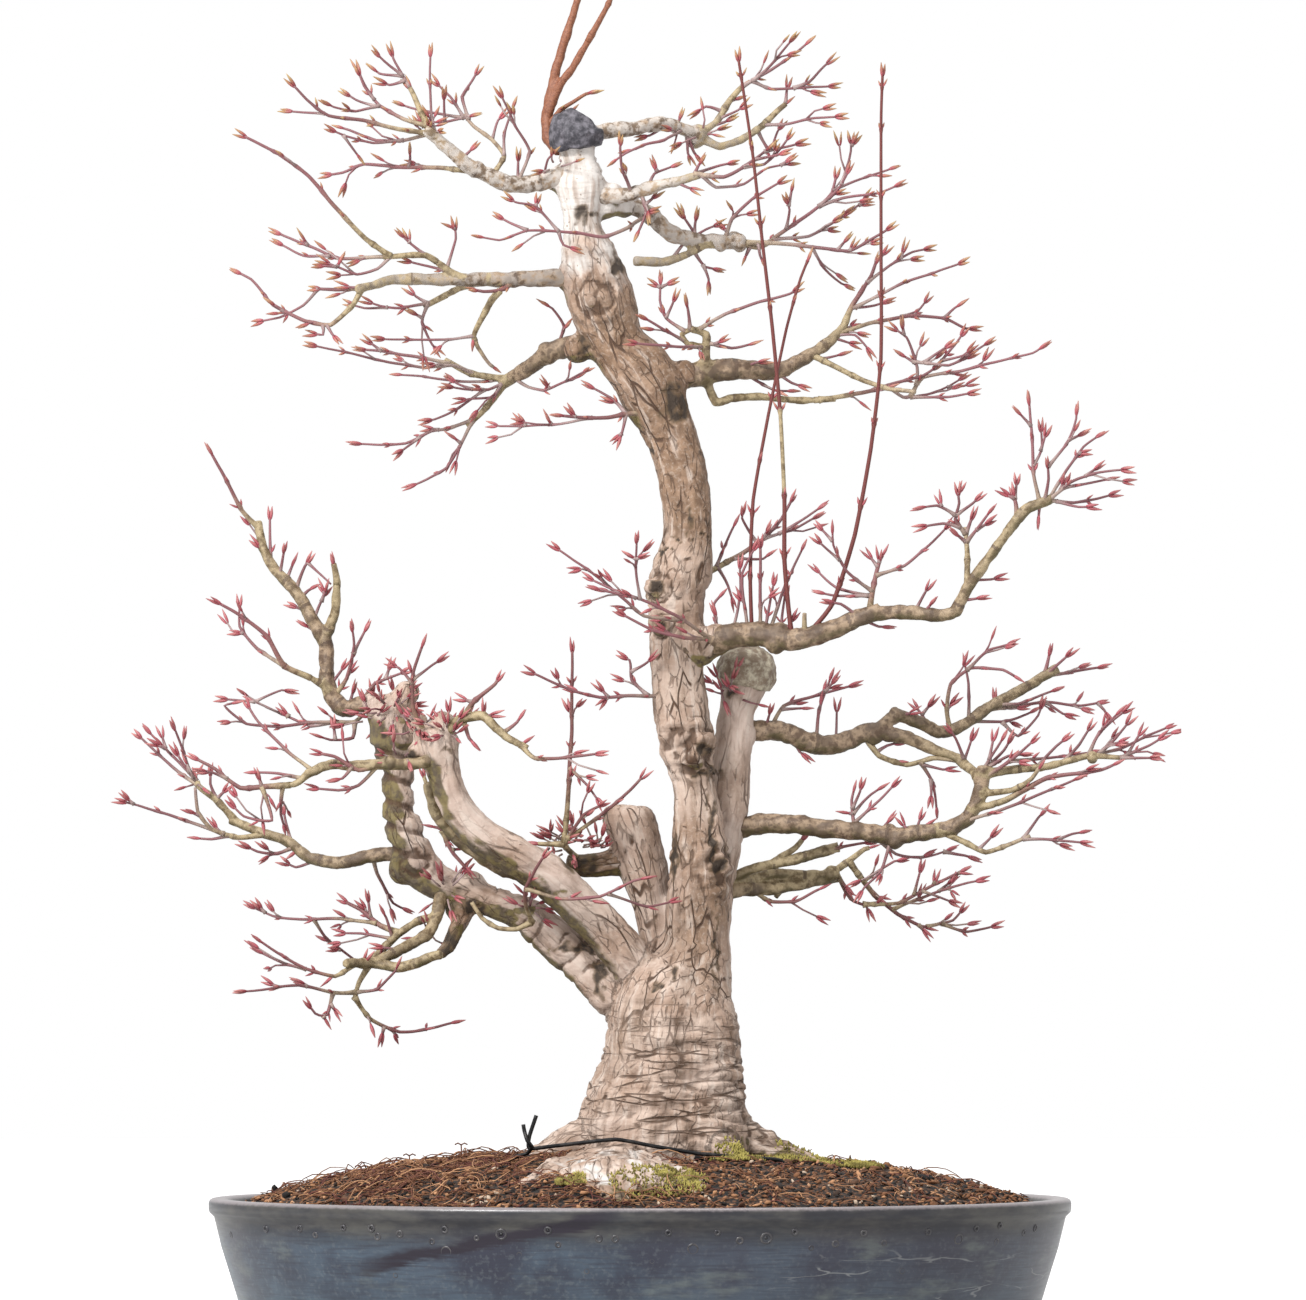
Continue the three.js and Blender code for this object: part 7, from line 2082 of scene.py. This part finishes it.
rings = bmesh.new()
rings.verts.layers.float.new("rim")
for spot in ring_spots:
    take_in(rings, glaze_ring(*spot))
ring_finish = Finish("burst_glaze", roughness=0.4)
ring_tone = ring_finish.cloud(300, 2)
ring_rim = ring_finish.mix(ring_tone.step(0.3, 0.7), shade(46, 44, 52), shade(88, 85, 86))
ring_finish.start(ring_finish.attribute("rim"), shade(24, 22, 30), ring_rim)
piece("glaze_rings", rings, ring_finish.material, "glaze")

# %% [markdown]
# ## The soil
# The mound is a spun form like the pot, made uneven with noise, and it stands in the pot under the lip.
# Real planting mix is thousands of grains, so grains of a few faces are strewn over it, with rootlets
# and bark fibres between them and moss near the trunk.

# %% the mound
soil_outline = [
    (0, 17.6), (180.1, 17.6), (203.1, 75.5), (197, 79), (188, 82.4), (160, 90), (122, 97),
    (74, 101.6), (30, 104), (0, 105),
]


def mound_height(x, y):
    """The height of the soil at a place, in millimetres."""
    far = math.hypot(x, y * RIM_HALF_WIDTH / RIM_HALF_DEPTH)
    table = soil_outline[2:][::-1]
    level = value_at([p[0] for p in table], [p[1] for p in table], far)
    rise = 1.1 * math.sin(x / 17 + 1) * math.cos(y / 13) + 0.8 * math.sin(x / 7.3 + y / 9.1)
    return level + rise * fade(200 - far, 0, 14) + 0.9 * noise.noise(Vector((x, y, 0)) / 5)


MOUND_FOOT = 76
GRAIN_BED = 1.2  # the mound lies this much lower, so that the grains make its surface
mound = turned(soil_outline, {}, 160)
bmesh.ops.transform(mound, verts=mound.verts, matrix=OVAL)
for vert in mound.verts:
    if vert.co.z > MOUND_FOOT * MM:
        vert.co.z = (mound_height(vert.co.x / MM, vert.co.y / MM) - GRAIN_BED) * MM
soil_finish = Finish("planting_mix", roughness=0.95)
clod = soil_finish.cloud(130, 4, roughness=0.7)
crumb = soil_finish.cells(420, feature="F1")
crumb_tone = soil_finish.parts(soil_finish.cells(420, feature="F1", out="Color"))[0]
soil_finish.start(crumb_tone.step(0.1, 0.75), shade(30, 21, 15), shade(134, 90, 60))
soil_finish.over(crumb_tone.step(0.84, 0.94), shade(196, 146, 106))
soil_finish.over(clod.step(0.62, 0.4) * 0.5, shade(60, 40, 26))
# Painted shade: the borders of the crumb cells are darkened as the gaps between grains.
soil_finish.over(crumb.step(0.4, 0.7), shade(20, 14, 10))
soil_finish.relief(clod - crumb, 1.4, 1.0)
piece("soil_mound", mound, soil_finish.material, "soil", "soil")

# %% strew the grains
strew = random.Random(7)


def off_middle(x, y):
    """0 in the middle of the soil and 1 at the wall of the pot."""
    return math.hypot(x / 203, y / 153)


def soil_place(reach=0.97):
    while True:
        x, y = strew.uniform(-205, 205), strew.uniform(-155, 155)
        if off_middle(x, y) < reach:
            return x, y


def tinted_mesh():
    """An empty mesh and its layer for the tint of each grain or thread."""
    mesh = bmesh.new()
    return mesh, mesh.verts.layers.float.new("tint")


def grain(mesh, layer, x, y, warm):
    """One grain: a ball of few faces, stretched, turned and dented."""
    size = strew.uniform(0.5, 1.7) * (1.6 if strew.random() < 0.06 else 1)
    axis = Vector((strew.uniform(-0.6, 0.6), strew.uniform(-0.6, 0.6), 1)).normalized()
    spot = Vector((x, y, mound_height(x, y) - GRAIN_BED + size * 0.4)) * MM
    place = Matrix.Translation(spot) @ Matrix.Rotation(strew.uniform(0, math.tau), 4, axis)
    form = Matrix.Diagonal((strew.uniform(0.8, 1.9), strew.uniform(0.5, 1), strew.uniform(0.35, 0.7), 1))
    made = bmesh.ops.create_icosphere(mesh, subdivisions=1, radius=size * MM, matrix=place @ form)
    for vert in made["verts"]:
        vert[layer] = warm
        vert.co += Vector([strew.uniform(-0.25, 0.25) for _ in range(3)]) * size * MM


# A mesh slows down as it grows, so the grains are made in small heaps that are put together.
HEAPS, IN_A_HEAP = 76, 100
grain_mesh, _ = tinted_mesh()
for _ in range(HEAPS):
    heap, tint_layer = tinted_mesh()
    for _ in range(IN_A_HEAP):
        grain(heap, tint_layer, *soil_place(), strew.random())
    take_in(grain_mesh, heap)
PALE_CHIPS, PALE = 16, 0.99
chips, tint_layer = tinted_mesh()
for _ in range(PALE_CHIPS):
    grain(chips, tint_layer, strew.uniform(-88, -68), strew.uniform(-132, -120), PALE)
take_in(grain_mesh, chips)
grain_finish = Finish("soil_grains", roughness=0.9)
tint = grain_finish.attribute("tint")
grain_finish.start(tint.step(0.15, 0.65), shade(24, 17, 13), shade(138, 92, 60))
grain_finish.over(tint.step(0.76, 0.92), shade(204, 150, 108))
grain_finish.over(tint.step(0.965, 0.98), shade(214, 190, 166))
grain_finish.relief(grain_finish.cloud(700, 2), 0.3, 0.5)
piece("soil_grains", grain_mesh, grain_finish.material, "soil")

# %% rootlets and bark fibres
FIBRE_POINTS = 7


def fibre(mesh, x, y, long, lift, tone, thick=0.42):
    """A thin crooked thread that lies on the soil and rises in its middle or at its end."""
    way = strew.uniform(0, math.tau)
    points = []
    turn = strew.uniform(-0.35, 0.35)
    ends_up = strew.random() < 0.3
    last = FIBRE_POINTS - 1
    for k in range(FIBRE_POINTS):
        share = k / last
        rise = lift * (share ** 2 if ends_up else math.sin(share * math.pi))
        points.append(Vector((x, y, mound_height(x, y) - 0.6 + rise)) * MM)
        x += math.cos(way) * long / last
        y += math.sin(way) * long / last
        way += turn + strew.uniform(-0.25, 0.25)
        if off_middle(x, y) > 0.965:
            x, y = x * 0.97, y * 0.97
    radii = [thick * MM * (1 - 0.08 * k) for k in range(FIBRE_POINTS)]
    take_in(mesh, tube(points, radii, 3, notes={"tint": [tone] * FIBRE_POINTS}))


BUNCHES, IN_A_BUNCH = 36, 60
fibre_mesh, _ = tinted_mesh()
for _ in range(BUNCHES):
    bunch, _ = tinted_mesh()
    for _ in range(IN_A_BUNCH):
        x, y = soil_place(0.95)
        if x > 20 and strew.random() < 0.4:
            x = -abs(x)
        if x < -150 and strew.random() < 0.3:
            x += 60
        long = strew.uniform(7, 30) if x < 20 or strew.random() < 0.3 else strew.uniform(3, 9)
        fibre(bunch, x, y, long, strew.uniform(0.6, 0.6 + long / 6), strew.random())
    take_in(fibre_mesh, bunch)
LONG_FIBRES = (
    # x, y and length
    (-115, -60, 46), (-100, -72, 40), (-88, -60, 52), (-80, -50, 44), (-70, -66, 36), (-120, -40, 38),
    (-96, -84, 34), (-64, -56, 30),
)
for x, y, long in LONG_FIBRES:
    fibre(fibre_mesh, x, y, long, 3, 0.15, 0.6)
print("threads on the soil:", BUNCHES * IN_A_BUNCH + len(LONG_FIBRES))


# %% seedlings, and the finish of all threads
def seedling(mesh, x, y, high):
    """A thin stem with two seed leaves held out level."""
    foot = Vector((x, y, mound_height(x, y) - 1))
    top = foot + Vector((0.6, 0, high))
    lines = [(foot, (foot + top) / 2 + Vector((0.5, 0, 0)), top)]
    for side in (-1.6, 1.6):
        lines.append((top, top + Vector((side, 0, 0.9)), top + Vector((2 * side, 0, 0.1))))
    for line in lines:
        take_in(mesh, tube([p * MM for p in line], [0.36 * MM] * 3, 4, notes={"tint": [0.25] * 3}))


for x, y, high in ((-90, -2, 8), (-116, 4, 5), (-140, 0, 5), (-48, -60, 6)):
    seedling(fibre_mesh, x, y, high)
fibre_finish = Finish("soil_fibres", roughness=0.85)
tint = fibre_finish.attribute("tint")
fibre_finish.start(tint.step(0.0, 0.5), shade(104, 50, 42), shade(126, 80, 50))
fibre_finish.over(tint.step(0.6, 1.0), shade(204, 152, 110))
fibre_finish.relief(fibre_finish.cloud(900, 2), 0.2, 0.4)
piece("soil_fibres", fibre_mesh, fibre_finish.material, "soil")

# %% moss tufts at the foot of the trunk
wood_points = [vert.co for vert in trunk.data.vertices]
wood_below = BVHTree.FromPolygons(wood_points, [face.vertices for face in trunk.data.polygons])
MOSS_PATCHES = fours(
    # x, y, half width, half depth
    8, -116, 24, 16, 62, -30, 26, 14, 88, -18, 24, 12, 48, -44, 14, 8, 20, -104, 14, 12, -34, -112, 8, 8,
    112, -20, 10, 6, 20, 60, 30, 12, -40, 50, 24, 10,
)
MOSS_TOP = 112
TUFTS = 420
DOWN = Vector((0, 0, -1))
moss_mesh = bmesh.new()
for x0, y0, wide, deep_side in MOSS_PATCHES:
    patch_mesh = bmesh.new()
    for _ in range(TUFTS):
        way, far = strew.uniform(0, math.tau), math.sqrt(strew.random())
        x, y = x0 + wide * far * math.cos(way), y0 + deep_side * far * math.sin(way)
        lean = Vector((strew.uniform(-0.5, 0.5), strew.uniform(-0.5, 0.5), 1)).normalized()
        long = strew.uniform(0.9, 2.2)
        hit = wood_below.ray_cast(Vector((x, y, 400)) * MM, DOWN)[0]
        level = max(mound_height(x, y), hit.z / MM if hit else 0)
        if level < MOSS_TOP:
            base = Vector((x, y, level - 0.3)) * MM
            place = stood_on(base + lean * long / 2 * MM, lean)
            bmesh.ops.create_cone(patch_mesh, cap_ends=True, segments=4, radius1=0.7 * MM,
                                  radius2=0.15 * MM, depth=long * MM, matrix=place)
    take_in(moss_mesh, patch_mesh)
moss_finish = Finish("moss_green", roughness=0.9)
moss_tone = moss_finish.cloud(160, 3)
moss_finish.start(moss_tone.step(0.38, 0.62), shade(112, 100, 40), shade(186, 172, 88))
moss_finish.relief(moss_finish.cloud(900, 2), 0.2, 0.4)
piece("moss_tufts", moss_mesh, moss_finish.material, "soil")

# %% [markdown]
# ## Wire and putty
# A black wire is drawn over the front root to hold the tree. Both its legs go down through the soil and
# the pot floor, and its ends are twisted together and stand up at the left. The cut top of the tree and
# the cut second trunk are closed with wound putty, which sets as a lumpy grey cap.

# %% the tie wire
wire_points = [
    (-51.5, -46, 123.5), (-55, -46, 113), (-55, -47, 107), (-40, -46, 108.6), (-12, -46, 111.6),
    (8, -46, 108), (30, -46, 104.4), (54, -45, 102.4), (70, -43, 101), (76, -40, 92), (76, -40, 9),
    (73, -40, 6.4), (-73, -40, 6.4), (-76, -40, 9), (-76, -40, 92), (-63, -44, 102.4), (-56, -44.4, 104.6),
    (-53.6, -48, 108), (-56, -48.4, 111), (-57.5, -46, 116), (-58, -46, 119),
]
wire_line = [Vector(p) * MM for p in smooth_line(wire_points, 1.6, 0.4)]
wire_mesh = tube(wire_line, [1 * MM] * len(wire_line), 12)
wire_finish = Finish("black_wire", roughness=0.45, Metallic=0.6)
scuff = wire_finish.cloud(160, 3)
wire_finish.start(scuff.step(0.5, 0.75), shade(28, 28, 30), shade(74, 70, 68))
wire_finish.rough(scuff * 0.3 + 0.3)
piece("tie_wire_dressed", wire_mesh, wire_finish.material, "wire", "tie_wire")
print("wire:", round(lengths(wire_line)[-1] / MM), "mm long")

# %% wound putty
putty_lumps = {
    "crown_putty": fours(-31, 0, 605.5, 12, -32, 0, 612, 13.6, -32, 0, 618, 12, -29, 0, 623, 6),
    "stub_putty": fours(52, 20, 336.5, 13.4, 53, 20, 342, 15, 53, 20, 351, 13.6, 52.5, 20, 357, 6),
}
putty_tones = {
    "crown_putty": (shade(52, 50, 58), shade(122, 118, 126)),
    "stub_putty": (shade(138, 118, 98), shade(208, 198, 174)),
}
for name, line in putty_lumps.items():
    lumpy = one_skin(stem_tube(line, 28), 0.7, 4)
    lumpy.normal_update()
    away = [vert.normal.copy() for vert in lumpy.verts]
    for vert, normal in zip(lumpy.verts, away):
        place = vert.co / MM
        dent = 1.5 * noise.noise(place / 6.5) + 0.5 * noise.noise(place / 2.4)
        vert.co += normal * dent * MM
    keep_inside(lumpy)
    putty = Finish(name + "_finish", roughness=0.7)
    dust = putty.cloud(240, 4, roughness=0.65)
    putty.start(dust.step(0.4, 0.68), *putty_tones[name])
    putty.relief(dust, 0.5, 0.6)
    piece(name + "_dressed", lumpy, putty.material, "putty", name)

# %% the drain meshes keep their shape and get a finish
mesh_finish = Finish("drain_mesh_plastic", roughness=0.6)
wear = mesh_finish.cloud(120, 3)
mesh_finish.start(wear, shade(28, 40, 32), shade(52, 66, 56))
mesh_finish.relief(wear, 0.2, 0.4)
for side in ("left", "right"):
    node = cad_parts["drain_mesh_" + side]
    for material_slot in node.material_slots:
        material_slot.material = mesh_finish.material
    print(node.name, "keeps its", len(node.data.polygons), "faces")
